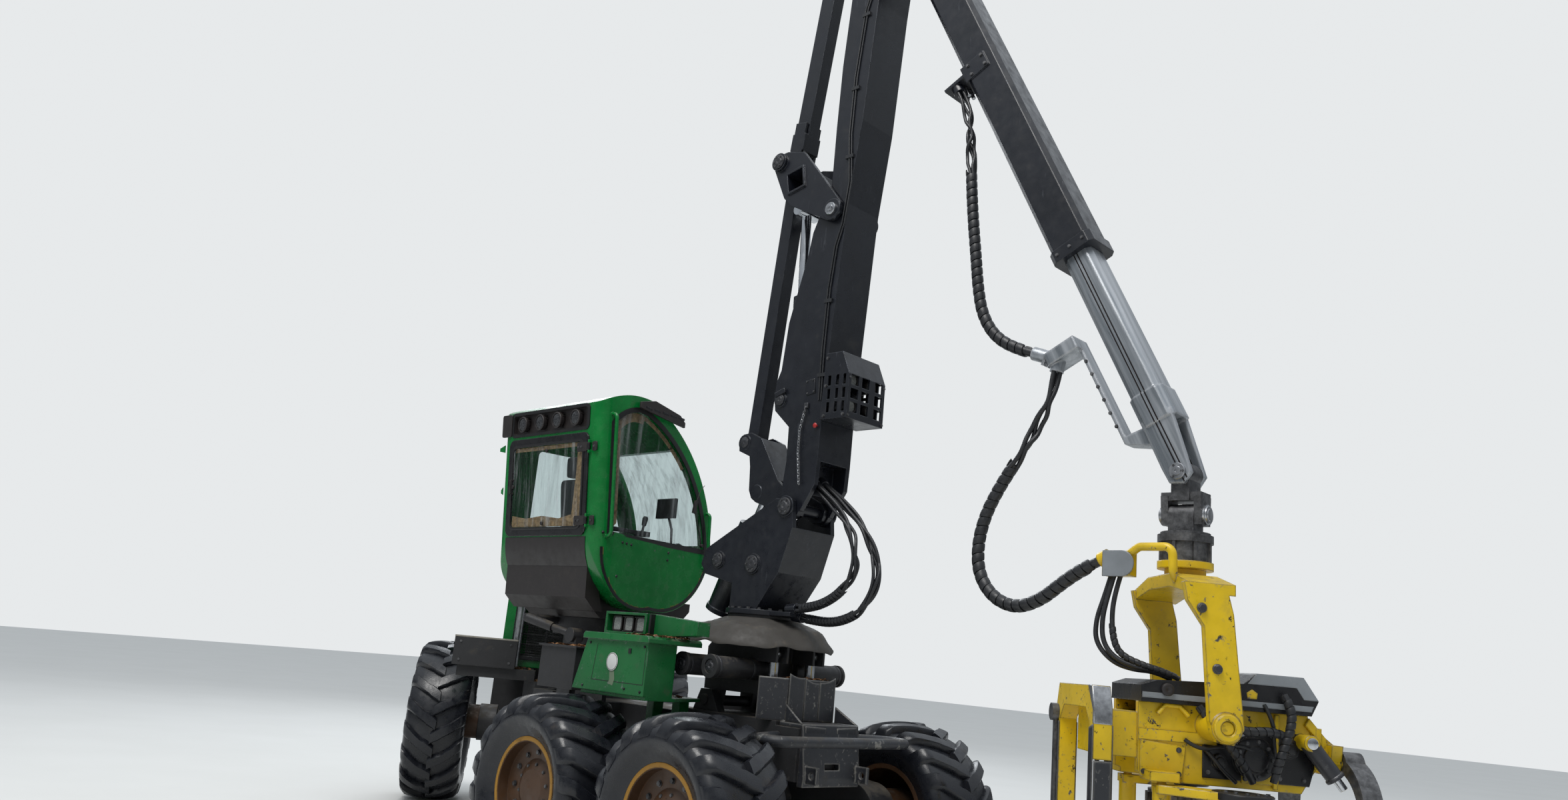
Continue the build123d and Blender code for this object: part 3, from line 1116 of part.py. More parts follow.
def extension():
    body = front_prism(box_section(EXTENSION_HALF, EXTENSION_DEPTH, 0.3), EXTENSION_START, EXTENSION_END)
    tip = stick_axes(TIP_PIN)
    nose = front_prism(box_section(EXTENSION_HALF + 12, EXTENSION_DEPTH + 24, 0.3), EXTENSION_END - 210, EXTENSION_END)
    body = body + nose
    ear_outline = ((EXTENSION_END - 40, -EXTENSION_DEPTH / 2), (EXTENSION_END - 40, EXTENSION_DEPTH / 2),
                   (tip[0] - 60, tip[1] + 85), (tip[0] + 40, tip[1] + 70), (tip[0] + 80, tip[1]),
                   (tip[0] + 40, tip[1] - 75), (tip[0] - 60, tip[1] - 80))
    for side in (-1, 1):
        low = TIP_EAR - TIP_EAR_THICKNESS
        plate = side_prism(ear_outline, low, TIP_EAR)
        body = body + (plate if side > 0 else mirrored(plate))
    body = body + rod((tip[0], -TIP_EAR - 14, tip[1]), (tip[0], TIP_EAR + 14, tip[1]), TIP_PIN_RADIUS)
    bar = side_prism(((HOSE_ARM[0], -HOSE_ARM_OUT), (EXTENSION_END, -HOSE_ARM_OUT + 12),
                      (EXTENSION_END + 85, -EXTENSION_DEPTH / 2 - 32), (EXTENSION_END + 85, -EXTENSION_DEPTH / 2),
                      (EXTENSION_END - 30, -EXTENSION_DEPTH / 2), (EXTENSION_END - 45, -HOSE_ARM_OUT + 38),
                      (HOSE_ARM[0], -HOSE_ARM_OUT + 26)), -60, 60)
    fittings = block((HOSE_ARM[0], HOSE_ARM[1]), (-125, 60), (-HOSE_ARM_OUT - 205, -HOSE_ARM_OUT + 26))
    body = body + bar + fittings
    placed = stick_place(body)
    return joined(placed, hose_end(STICK_HOSE, False, 185, 46), hose_end(HEAD_HOSE, True, 90, 46))


save("extension", extension())


# Tip link, rotator and the tilt frame with its yoke
def tip_link():
    inner = TIP_EAR - TIP_EAR_THICKNESS - SIDE_GAP
    top = cross_rod(TIP_PIN, -inner, inner, 70)
    body = top + block((TIP_PIN[0] - 55, TIP_PIN[0] + 55), (-inner, inner), (CROSS_PIN_Z + 80, TIP_PIN[1]))
    for side in (-1, 1):
        x = TIP_PIN[0] + side * 100
        cheek = front_prism(((-70, CROSS_PIN_Z + 110), (70, CROSS_PIN_Z + 110), (60, CROSS_PIN_Z - 60),
                             (-60, CROSS_PIN_Z - 60)), x - 22, x + 22)
        body = body + cheek
    body = body + block((TIP_PIN[0] - 122, TIP_PIN[0] + 122), (-65, 65), (CROSS_PIN_Z + 80, CROSS_PIN_Z + 130))
    body = body + rod((TIP_PIN[0] - 140, 0, CROSS_PIN_Z), (TIP_PIN[0] + 140, 0, CROSS_PIN_Z), TIP_PIN_RADIUS)
    return body - cross_rod(TIP_PIN, -400, 400, TIP_PIN_RADIUS + PIN_GAP)


def rotator():
    x = TIP_PIN[0]
    lug = rod((x - 78 + SIDE_GAP, 0, CROSS_PIN_Z), (x + 78 - SIDE_GAP, 0, CROSS_PIN_Z), 66)
    body = lug + block((x - 77, x + 77), (-66, 66), (2660, CROSS_PIN_Z)) + rod((x, 0, 2500), (x, 0, 2670), ROTATOR_RADIUS)
    body = body + rod((x, 0, 2610), (x, 0, 2655), ROTATOR_RADIUS + 16)
    for turn in range(0, 360, 45):
        fin = block((ROTATOR_RADIUS - 20, ROTATOR_RADIUS + 12), (-9, 9), (2500, 2610))
        body = body + Pos(x, 0, 0) * Rot(0, 0, turn) * fin
    return body - rod((x - 400, 0, CROSS_PIN_Z), (x + 400, 0, CROSS_PIN_Z), TIP_PIN_RADIUS + PIN_GAP)


def head_place(shape):
    return Pos(TIP_PIN[0], 0, 0) * Rot(0, 0, HEAD_HEADING) * shape


def tilt_frame():
    low = YOKE_HALF
    ring = rod((0, 0, 2455), (0, 0, 2500 - SIDE_GAP), ROTATOR_RADIUS + 16)
    ring = ring + rod((0, 0, YOKE_TOP), (0, 0, 2460), 115)
    bridge = front_prism(((-low - YOKE_PLATE, 2290), (-170, 2340), (170, 2340), (low + YOKE_PLATE, 2290),
                          (low + YOKE_PLATE, 2350), (190, YOKE_TOP + 15), (-190, YOKE_TOP + 15),
                          (-low - YOKE_PLATE, 2350)), -150, 110)
    px, pz = HEAD_PIVOT
    arm_outline = ((-170, 2350), (60, 2350), (100, 2190), (px + 70, pz + 260), (px + 95, pz), (px + 40, pz - 85),
                   (px - 50, pz - 75), (px - 90, pz + 30), (-60, 2120), (-150, 2250))
    body = ring + bridge
    for side in (-1, 1):
        plate = side_prism(arm_outline, low, low + YOKE_PLATE)
        plate = plate + cross_rod(HEAD_PIVOT, low, low + YOKE_PLATE + 8, 82)
        plate = plate - cross_rod(HEAD_PIVOT, 0, 700, HEAD_PIVOT_RADIUS + PIN_GAP)
        body = body + (plate if side > 0 else mirrored(plate))
    placed = head_place(body)
    guide = rail(((3600, -150, 2374), (3600, -300, 2374), (3592, -300, 2553), (3394, -300, 2553), (3300, -295, 2490)),
                 24, 50)
    swivel = block((3175, 3350), (-320, -240), (2385, 2525))
    return joined(placed, guide, swivel, hose_end(HEAD_HOSE, False, 60, 46))


save("tip_link", tip_link())
save("rotator", rotator())
save("tilt_frame", tilt_frame())


# Head: main frame with saw box, cover, feed rollers on arms and delimbing knives
def head_frame():
    spine_outline = ((-520, 1640), (-520, 1480), (-300, 1400), (520, 1400), (700, 1440), (760, 1560), (640, 1650))
    spine = side_prism(spine_outline, -170, 170)
    side = side_prism(((-330, 1700), (-330, 1330), (-150, 1290), (560, 1290), (640, 1420), (600, 1700)), 170, 215)
    body = spine + side + mirrored(side)
    px, pz = HEAD_PIVOT
    body = body + cross_rod(HEAD_PIVOT, -YOKE_HALF + SIDE_GAP, YOKE_HALF - SIDE_GAP, 78)
    body = body + cross_rod(HEAD_PIVOT, -YOKE_HALF - YOKE_PLATE - 12, YOKE_HALF + YOKE_PLATE + 12, HEAD_PIVOT_RADIUS)
    wide = SAW_BOX_HALF
    saw_box = front_prism(((-330, 1760), (330, 1760), (wide, 1640), (wide, 1000), (330, 960), (300, 1000), (300, 1560),
                           (220, 1640), (-220, 1640), (-300, 1560), (-300, 1380), (-wide, 1380), (-wide, 1640)), -620, -520)
    gusset = side_prism(((-540, 1640), (-540, 1400), (-300, 1400), (-300, 1640)), -200, 200)
    body = body + saw_box + gusset
    knife_back = front_prism(((-300, 1560), (300, 1560), (260, 1400), (-260, 1400)), 690, 750)
    body = body + knife_back
    return body


def head_cover():
    outline = ((-330, 1700), (600, 1700), (640, 1780), (560, 1900), (300, 1900), (230, 1840), (-250, 1820), (-330, 1790))
    cover = side_prism(outline, -260, 260)
    return cover


def feed_arm(side):
    centre = (150.0, 430.0)
    pivot = (-220.0, ARM_PIVOT_Y + 90)
    body = rod((pivot[0], pivot[1], 1060), (pivot[0], pivot[1], 1270), 48)
    outline = ((pivot[0] - 40, pivot[1] - 45), (pivot[0] - 40, pivot[1] + 60), (centre[0] - 60, centre[1] + 90),
               (centre[0] + 70, centre[1] + 60), (centre[0] + 70, centre[1] - 60), (pivot[0] + 120, pivot[1] - 40))
    body = body + plan_prism(outline, 1235, 1280)
    body = body - rod((pivot[0], pivot[1], 900), (pivot[0], pivot[1], 1500), 24 + PIN_GAP)
    body = body + rod((centre[0], centre[1], 1150), (centre[0], centre[1], 1240), 60)
    return body if side > 0 else mirrored(body)


def feed_roller(side):
    centre = (150.0, 430.0)
    drum = rod((centre[0], centre[1], 900), (centre[0], centre[1], 1200), ROLLER_RADIUS)
    rows = []
    for turn in range(0, 360, 30):
        rib = block((ROLLER_RADIUS - 10, ROLLER_RADIUS + 16), (-12, 12), (920, 1180))
        rows.append(Pos(centre[0], centre[1], 0) * Rot(0, 0, turn) * rib)
    drum = drum.fuse(*rows)
    drum = drum - rod((centre[0], centre[1], 1145), (centre[0], centre[1], 1210), 60 + PIN_GAP)
    return drum if side > 0 else mirrored(drum)


def knife(side, x_low, x_high):
    # A curved blade hung from a pin beside the frame
    pivot = (250.0, 1470.0)
    with BuildLine() as line:
        ThreePointArc((200, 1500), (470, 1330), (330, 960))
        Line((330, 960), (300, 985))
        ThreePointArc((300, 985), (400, 1310), (200, 1430))
        Line((200, 1430), (200, 1500))
    face = make_face(Plane.YZ * line.line)
    blade = extrude(Pos(x_low, 0, 0) * face, amount=x_high - x_low, dir=(1, 0, 0))
    boss = rod((x_low, pivot[0], pivot[1]), (x_high, pivot[0], pivot[1]), 62)
    body = blade + boss - rod((x_low - 5, pivot[0], pivot[1]), (x_high + 5, pivot[0], pivot[1]), 28 + PIN_GAP)
    return body if side > 0 else mirrored(body)


def head_pins():
    solids = []
    for side in (-1, 1):
        pivot = rod((640, side * 250, 1470), (880, side * 250, 1470), 28)
        pin = rod((-220, side * (ARM_PIVOT_Y + 90), 1000), (-220, side * (ARM_PIVOT_Y + 90), 1345), 24)
        bracket = block((-300, -140), (min(side * 170, side * 330), max(side * 170, side * 330)), (1295, 1345))
        solids.append(pivot)
        solids.append(pin + bracket)
    return solids


def head_cylinder():
    barrel = rod((560, -300, 1560), (690, -330, 1390), 45)
    shaft = rod((690, -330, 1390), (728, -337, 1340), 22)
    eye = rod((560, -215, 1560), (560, -345, 1560), 42)
    return barrel + shaft + eye


frame_solid = joined(head_frame(), *head_pins(), head_cylinder())
save("head_frame", head_place(frame_solid))
save("head_cover", head_place(head_cover()))
for name, side in (("left", 1), ("right", -1)):
    save("feed_arm_" + name, head_place(feed_arm(side)))
    save("feed_roller_" + name, head_place(feed_roller(side)))
    save("knife_" + name, head_place(knife(side, 755, 860)))


# Saw bar, folded into the saw box
def saw_bar():
    outline = ((330, 1600), (380, 1600), (375, 1060), (350, 1020), (325, 1060))
    bar = front_prism(outline, -640, -626)
    hub = rod((-660, 355, 1590), (-620 - SIDE_GAP, 355, 1590), 50)
    return bar + hub


save("saw_bar", head_place(saw_bar()))


for name, diameter, points in HOSES:
    hose(name, diameter, points)
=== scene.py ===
import json
import math
import random

import bmesh
import bpy
from mathutils import Matrix, Vector


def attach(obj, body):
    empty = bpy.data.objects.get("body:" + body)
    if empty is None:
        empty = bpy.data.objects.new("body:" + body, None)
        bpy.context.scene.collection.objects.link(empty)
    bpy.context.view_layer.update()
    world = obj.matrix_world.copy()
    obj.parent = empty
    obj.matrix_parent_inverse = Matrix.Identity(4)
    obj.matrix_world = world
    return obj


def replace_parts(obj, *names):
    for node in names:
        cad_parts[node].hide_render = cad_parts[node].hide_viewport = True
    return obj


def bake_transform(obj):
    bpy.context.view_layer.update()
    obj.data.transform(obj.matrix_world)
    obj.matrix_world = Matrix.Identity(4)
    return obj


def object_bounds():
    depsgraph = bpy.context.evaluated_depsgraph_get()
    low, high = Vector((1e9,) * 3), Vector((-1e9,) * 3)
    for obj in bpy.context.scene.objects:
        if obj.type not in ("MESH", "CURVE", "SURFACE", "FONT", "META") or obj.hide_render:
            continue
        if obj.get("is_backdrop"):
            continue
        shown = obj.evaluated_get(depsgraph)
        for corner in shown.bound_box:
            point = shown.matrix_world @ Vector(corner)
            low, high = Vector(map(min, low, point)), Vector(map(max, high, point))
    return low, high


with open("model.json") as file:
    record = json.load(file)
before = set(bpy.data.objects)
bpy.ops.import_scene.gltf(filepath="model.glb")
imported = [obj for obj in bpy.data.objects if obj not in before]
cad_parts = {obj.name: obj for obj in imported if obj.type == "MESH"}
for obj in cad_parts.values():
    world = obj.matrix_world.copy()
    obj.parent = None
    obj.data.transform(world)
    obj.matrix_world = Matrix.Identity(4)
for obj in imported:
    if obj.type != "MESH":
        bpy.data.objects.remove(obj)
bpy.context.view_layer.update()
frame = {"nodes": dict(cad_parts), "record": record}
nodes = frame["nodes"]

# %% [markdown]
# The camera. The photograph was taken by a person who stood beside the felling head and looked up
# at the crane, so the lens sits at eye height and the picture leans a little. Its place, turn and
# focal length were solved from points of the machine whose size is known. The lens shift stays at
# zero, because the machine is framed by where the camera stands.

# %% Camera
CAMERA_AT = Vector((6.41, -6.32, 1.73))
YAW, PITCH, ROLL = (math.radians(a) for a in (134.8, 13.1, 5.3))
SENSOR_WIDTH, FOCAL_PIXELS, PICTURE_PIXELS = 36, 1682, 2352


def placed(name, data):
    """A new object in the scene"""
    made = bpy.data.objects.new(name, data)
    bpy.context.scene.collection.objects.link(made)
    return made


forward = Vector((math.cos(YAW) * math.cos(PITCH), math.sin(YAW) * math.cos(PITCH), math.sin(PITCH)))
level = Vector((math.sin(YAW), -math.cos(YAW), 0))
upright = level.cross(forward)
right = math.cos(ROLL) * level + math.sin(ROLL) * upright
above = math.cos(ROLL) * upright - math.sin(ROLL) * level
camera = placed("camera", bpy.data.cameras.new("camera"))
camera.matrix_world = Matrix.Translation(CAMERA_AT) @ Matrix((right, above, -forward)).transposed().to_4x4()
camera.data.lens = SENSOR_WIDTH * FOCAL_PIXELS / PICTURE_PIXELS
camera.data.sensor_width = SENSOR_WIDTH
camera.data.clip_end = 200
bpy.context.scene.camera = camera
print("lens", round(camera.data.lens, 2), "mm")

# %% [markdown]
# The stage is a plain pale floor under a pale sky. The sky is made in the world's own nodes: what
# the camera sees directly or through glass is a flat pale grey, and what falls on the machine is a
# softer light that is bright overhead and dark beside, as in a wood. One broad lamp high up stands
# for the bright gap between the trees and gives the paint its long highlights.


# %% Wiring helpers
class Tree:
    """Adds the nodes of one tree and joins them."""

    def __init__(self, tree):
        self.tree = tree

    def feed(self, socket, value):
        if isinstance(value, bpy.types.NodeSocket):
            self.tree.links.new(value, socket)
        elif socket.type == "RGBA" and len(value) == 3:
            socket.default_value = (*value, 1)
        else:
            socket.default_value = value

    def add(self, kind, feeds=None, **settings):
        node = self.tree.nodes.new(kind)
        for key, value in settings.items():
            setattr(node, key, value)
        for key, value in (feeds or {}).items():
            self.feed(node.inputs[key], value)
        return node

    def steps(self, value, low, high, start=0.0, end=1.0):
        feeds = {"Value": value, "From Min": low, "From Max": high, "To Min": start, "To Max": end}
        return self.add("ShaderNodeMapRange", feeds).outputs["Result"]

    def maths(self, operation, first, second=0.0, clamp=False):
        return self.add("ShaderNodeMath", {0: first, 1: second}, operation=operation, use_clamp=clamp).outputs[0]

    def times(self, first, second, clamp=False):
        return self.maths("MULTIPLY", first, second, clamp)

    def plus(self, first, second, clamp=False):
        return self.maths("ADD", first, second, clamp)

    def paint(self, geometry, material):
        """Ends a geometry tree with its material and its output"""
        painted = self.add("GeometryNodeSetMaterial", {"Geometry": geometry, "Material": material})
        self.add("NodeGroupOutput", {0: painted.outputs[0]})
        return self.tree


def group(name, **inputs):
    """A geometry tree with named inputs, and the outputs of its input node"""
    tree = Tree(bpy.data.node_groups.new(name, "GeometryNodeTree"))
    for way in ("INPUT", "OUTPUT"):
        tree.tree.interface.new_socket("Geometry", in_out=way, socket_type="NodeSocketGeometry")
    for label, kind in inputs.items():
        tree.tree.interface.new_socket(label, in_out="INPUT", socket_type="NodeSocket" + kind)
    return tree, tree.add("NodeGroupInput").outputs


class Wires(Tree):
    """The nodes of one new material."""

    def __init__(self, name):
        self.material = bpy.data.materials.new(name)
        self.material.use_nodes = True
        super().__init__(self.material.node_tree)
        self.shader = self.tree.nodes["Principled BSDF"]
        self.place = self.add("ShaderNodeTexCoord").outputs["Object"]
        self.geometry = self.add("ShaderNodeNewGeometry").outputs

    def noise(self, scale, detail=4.0, rough=0.6, stretch=(1, 1, 1), warp=0.0, turn=0.0):
        place = self.place
        if stretch != (1, 1, 1):
            feeds = {"Vector": place, "Rotation": (0, turn, 0), "Scale": tuple(1 / share for share in stretch)}
            place = self.add("ShaderNodeMapping", feeds, vector_type="TEXTURE").outputs["Vector"]
        feeds = {"Vector": place, "Scale": scale, "Detail": detail, "Roughness": rough, "Distortion": warp}
        return self.add("ShaderNodeTexNoise", feeds).outputs["Fac"]

    def cells(self, scale):
        return self.add("ShaderNodeTexVoronoi", {"Vector": self.place, "Scale": scale}).outputs["Distance"]

    def mix(self, share, first, second):
        return self.add("ShaderNodeMix", {"Factor": share, 6: first, 7: second}, data_type="RGBA").outputs[2]

    def normal(self, axis=2):
        return self.add("ShaderNodeSeparateXYZ", {0: self.geometry["Normal"]}).outputs[axis]

    def edges(self, radius):
        """Bright along the sharp edges: how far a rounded normal leans from the flat one"""
        rounded = self.add("ShaderNodeBevel", {"Radius": radius}, samples=4).outputs["Normal"]
        dot = self.add("ShaderNodeVectorMath", {0: rounded, 1: self.geometry["Normal"]}, operation="DOT_PRODUCT")
        return self.steps(dot.outputs["Value"], 0.97, 0.8), rounded

    def bump(self, height, strength, distance, under=None):
        feeds = {"Height": height, "Strength": strength, "Distance": distance}
        if under is not None:
            feeds["Normal"] = under
        self.feed(self.shader.inputs["Normal"], self.add("ShaderNodeBump", feeds).outputs["Normal"])

    def set(self, **values):
        for name, value in values.items():
            self.feed(self.shader.inputs[name.replace("_", " ")], value)
        return self.material


def shade(colour, share):
    return tuple(c * share for c in colour)


# %% Sky, lamps and floor
world = bpy.data.worlds.new("sky")
bpy.context.scene.world = world
world.use_nodes = True
world.node_tree.nodes.clear()
sky = Tree(world.node_tree)
path = sky.add("ShaderNodeLightPath").outputs
seen = sky.maths("MAXIMUM", path["Is Camera Ray"], path["Is Transmission Ray"])
split = sky.add("ShaderNodeSeparateXYZ", {0: sky.add("ShaderNodeTexCoord").outputs["Generated"]})
climb = sky.steps(split.outputs["Z"], 0.05, 0.85, 0.1, 1.0)
shown = sky.add("ShaderNodeBackground", {"Color": (0.8, 0.82, 0.83)})
lighting = sky.add("ShaderNodeBackground", {"Color": (0.88, 0.94, 1.0), "Strength": climb})
chosen = sky.add("ShaderNodeMixShader", {0: seen, 1: lighting.outputs[0], 2: shown.outputs[0]})
sky.add("ShaderNodeOutputWorld", {"Surface": chosen.outputs[0]})


def lamp(name, at, towards, size, energy, colour):
    data = bpy.data.lights.new(name, "AREA")
    data.shape = "DISK"
    data.size = size
    data.energy = energy
    data.color = colour
    made = placed(name, data)
    made.location = at
    made.rotation_euler = (Vector(towards) - Vector(at)).to_track_quat("-Z", "Y").to_euler()


lamp("sky_gap", (3.0, -9.0, 17.0), (0, 0, 3), 9.0, 2100, (1.0, 0.98, 0.95))
lamp("far_gap", (-12.0, 8.0, 12.0), (0, 0, 3), 9.0, 900, (0.92, 0.96, 1.0))

FLOOR_HALF = 60
ground = Wires("pale_floor")
tone = ground.mix(ground.noise(0.6), (0.6, 0.6, 0.58), (0.66, 0.66, 0.645))
ground.set(Base_Color=tone, Roughness=0.85)
ground.bump(ground.noise(30), 0.15, 0.004)
floor_mesh = bpy.data.meshes.new("floor")
floor_corners = [(x * FLOOR_HALF, y * FLOOR_HALF, -0.002) for x, y in ((-1, -1), (1, -1), (1, 1), (-1, 1))]
floor_mesh.from_pydata(floor_corners, [], [(0, 1, 2, 3)])
floor_mesh.materials.append(ground.material)
floor = placed("floor", floor_mesh)
floor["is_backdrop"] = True
bpy.context.scene.view_settings.view_transform = "Standard"
print("lamps", len(bpy.data.lights))

# %% [markdown]
# Paint on a forest machine is never one colour. Three layers are mixed here, and each has its own
# mask: fresh paint whose tone drifts, bare steel where branches rub the edges and scratch the
# faces, and dust and wood dirt that settles on what faces up. The masks come from noise, from the
# direction of the surface and from a Bevel node, which finds the edges without touching the mesh.


# %% Worn paint
def worn_paint(name, colour, steel=(0.32, 0.32, 0.33), dirt=(0.1, 0.085, 0.065), wear=0.5, scratches=0.4, dust=0.5,
        rough=0.38, edge=0.01, grain=9.0, along=(1, 1, 1), under=None, bare_at=0.72):
    w = Wires(name)
    darker = shade(colour, 0.72)
    drift = w.noise(2.2, 5, 0.65)
    tint = w.mix(w.steps(drift, 0.35, 0.65), darker, colour)
    patches = w.noise(grain, 9, 0.72)
    rim, rounded = w.edges(edge)
    chips = w.plus(w.times(rim, 0.34 * wear), patches)
    chips = w.steps(chips, bare_at - 0.012, bare_at + 0.012)
    marks = w.noise(30, 6, 0.7, stretch=along, warp=0.3)
    lines = w.times(w.steps(marks, 0.6, 0.64), w.steps(w.noise(3.3, 4), 0.6 - 0.2 * scratches, 0.66))
    bare = w.maths("MAXIMUM", chips, w.times(lines, min(1.0, 0.4 + scratches)))
    metal = w.mix(w.noise(60, 5), shade(steel, 0.45), steel)
    if under is not None:
        metal = w.mix(w.steps(w.noise(14, 6), 0.42, 0.6), under, metal)
    body = w.mix(bare, tint, metal)
    up = w.steps(w.normal(2), 0.15, 0.95)
    settled = w.times(w.steps(w.plus(w.noise(6, 8, 0.7), w.times(up, 0.22)), 0.6, 0.8), dust)
    soil = w.mix(w.noise(40, 4), shade(dirt, 0.6), dirt)
    body = w.mix(settled, body, soil)
    gloss = w.steps(w.noise(12, 6), 0.3, 0.7, rough - 0.08, rough + 0.14)
    gloss = w.plus(gloss, w.times(settled, 0.4), clamp=True)
    w.bump(w.maths("SUBTRACT", w.times(w.noise(90, 3), 0.12), bare), 0.25, 0.0012, rounded)
    return w.set(Base_Color=body, Roughness=gloss, Metallic=w.times(bare, 0.75))


CAB_GREEN = (0.003, 0.185, 0.034)
CRANE_BLACK = (0.0085, 0.01, 0.015)
HEAD_YELLOW = (0.74, 0.5, 0.01)
green_paint = worn_paint("green_paint", CAB_GREEN, wear=0.35, scratches=0.15, dust=0.3, rough=0.22)
box_green = worn_paint("box_green", (0.006, 0.135, 0.032), wear=0.55, scratches=0.35, dust=0.75, rough=0.3,
    edge=0.012)
crane_paint = worn_paint("crane_paint", CRANE_BLACK, steel=(0.1, 0.108, 0.125), wear=0.75, scratches=0.35, dust=0.16,
    rough=0.3, along=(1, 1, 0.12))
frame_paint = worn_paint("frame_paint", (0.022, 0.022, 0.024), steel=(0.16, 0.15, 0.14), wear=0.5, scratches=0.4,
    dust=0.9, rough=0.5)
guard_steel = worn_paint("guard_steel", (0.026, 0.028, 0.034), steel=(0.34, 0.33, 0.31), wear=1.1, scratches=1.0,
    dust=0.45, rough=0.42, edge=0.02, grain=4.0, bare_at=0.6)
head_yellow = worn_paint("head_yellow", HEAD_YELLOW, steel=(0.3, 0.29, 0.27), wear=0.8, scratches=0.8, dust=0.35,
    rough=0.33, edge=0.012, grain=16.0, under=(0.03, 0.027, 0.024), bare_at=0.618)
cover_black = worn_paint("cover_black", (0.01, 0.01, 0.012), steel=(0.2, 0.2, 0.21), wear=0.5, scratches=0.3,
    dust=0.25, rough=0.28)
rim_paint = worn_paint("rim_paint", (0.075, 0.036, 0.016), steel=(0.06, 0.035, 0.02), dirt=(0.06, 0.04, 0.026),
    wear=0.6, scratches=0.5, dust=1.0, rough=0.45, under=(0.12, 0.045, 0.018), grain=11.0)
print("paints", len(bpy.data.materials))

# %% [markdown]
# The other finishes. Rubber is nearly black with a blue sheen where it is wet. The telescope of the
# stick is steel that its guides polish in long streaks. The pins and rods are chrome. The old
# rubber mat is grey with dried mud. Glass carries dust streaks, which show as a pale rough film,
# and a painted reflection of the wood: dark trunk streaks and pale gaps in its colour.


# %% Rubber, steel, glass
def rubber(name, colour, mud, amount, rough, scale=8.0):
    w = Wires(name)
    tone = w.mix(w.noise(scale, 7, 0.7), shade(colour, 0.6), colour)
    dried = w.steps(w.noise(scale * 0.7, 9, 0.75), 0.66 - 0.2 * amount, 0.8 - 0.1 * amount)
    w.set(Base_Color=w.mix(w.times(dried, 0.85), tone, mud))
    w.bump(w.noise(scale * 12, 6), 0.3, 0.002)
    return w.set(Roughness=w.steps(w.plus(w.noise(scale * 2, 5), w.times(dried, 0.3)), 0.3, 0.8, rough - 0.08,
        rough + 0.32))


tyre_rubber = rubber("tyre_rubber", (0.0125, 0.014, 0.019), (0.045, 0.036, 0.029), 0.34, 0.24)
hose_rubber = rubber("hose_rubber", (0.018, 0.019, 0.022), (0.06, 0.05, 0.04), 0.05, 0.36, 20.0)
mat_rubber = rubber("mat_rubber", (0.055, 0.05, 0.044), (0.115, 0.094, 0.07), 0.5, 0.62, 6.0)


def moulded(name, colour, rough=0.5, scale=60.0, dust=0.2):
    w = Wires(name)
    tone = w.mix(w.noise(3, 6), shade(colour, 0.65), colour)
    up = w.steps(w.plus(w.noise(5, 8, 0.7), w.times(w.steps(w.normal(2), 0.2, 1.0), 0.2)), 0.58, 0.8)
    w.set(Base_Color=w.mix(w.times(up, dust), tone, (0.1, 0.085, 0.065)))
    w.bump(w.noise(scale * 6, 3), 0.2, 0.0008)
    return w.set(Roughness=w.steps(w.noise(scale * 0.2, 5), 0.3, 0.7, rough - 0.06, rough + 0.12))


black_plastic = moulded("black_plastic", (0.022, 0.018, 0.018), 0.46)
seal_rubber = moulded("seal_rubber", (0.008, 0.008, 0.009), 0.42)


def polished(name, colour, rough, streak, dark=0.35, smear=0.0, metallic=1.0, turn=0.0):
    w = Wires(name)
    lines = w.noise(22, 6, 0.65, stretch=streak, turn=turn)
    tone = w.mix(w.steps(lines, 0.35, 0.62), shade(colour, dark), colour)
    grime = w.steps(w.noise(4, 8, 0.7), 0.6 - smear, 0.75 - smear)
    w.set(Base_Color=w.mix(w.times(grime, 0.75), tone, (0.045, 0.045, 0.048)), Metallic=metallic)
    w.bump(lines, 0.08, 0.0006)
    return w.set(Roughness=w.steps(w.noise(9, 6), 0.3, 0.7, rough, rough + 0.18))


chrome = polished("chrome", (0.62, 0.64, 0.67), 0.08, (1, 1, 0.2), 0.8)
# The stick's line: a point on it and the way across it. Its grooves: middle, half their distance, half width
STICK_TURN = math.radians(63.5)
STICK_AT, STICK_ACROSS = (2.24, 0, 5.67), (0.8949, 0, 0.4462)
GROOVE_MIDDLE, GROOVE_APART, GROOVE_HALF = -0.006, 0.012, 0.0045


def guided_steel():
    """The telescope: pale steel, streaked along its length, with two dark grooves down each side"""
    w = Wires("stick_steel")
    streaks = w.noise(6, 5, 0.6, stretch=(0.1, 2.2, 2.2), turn=STICK_TURN)
    fine = w.noise(30, 3, 0.6, stretch=(0.04, 2, 2), turn=STICK_TURN)
    tone = w.mix(w.steps(streaks, 0.38, 0.66), (0.18, 0.2, 0.22), (0.47, 0.49, 0.52))
    rim, rounded = w.edges(0.022)
    tone = w.mix(w.times(rim, 0.8), tone, (0.62, 0.63, 0.66))
    across = w.add("ShaderNodeVectorMath", {0: w.place, 1: STICK_ACROSS}, operation="DOT_PRODUCT")
    middle = sum(a * b for a, b in zip(STICK_ACROSS, STICK_AT)) + GROOVE_MIDDLE
    far = w.maths("ABSOLUTE", w.maths("SUBTRACT", across.outputs["Value"], middle))
    groove = w.maths("LESS_THAN", w.maths("ABSOLUTE", w.maths("SUBTRACT", far, GROOVE_APART)), GROOVE_HALF)
    groove = w.times(groove, w.maths("GREATER_THAN", w.maths("ABSOLUTE", w.normal(1)), 0.9))
    tone = w.mix(groove, tone, (0.018, 0.014, 0.014))
    w.bump(w.maths("SUBTRACT", w.times(fine, 0.15), groove), 0.25, 0.0015, rounded)
    return w.set(Base_Color=tone, Metallic=0.55, Roughness=w.steps(streaks, 0.3, 0.7, 0.24, 0.42))


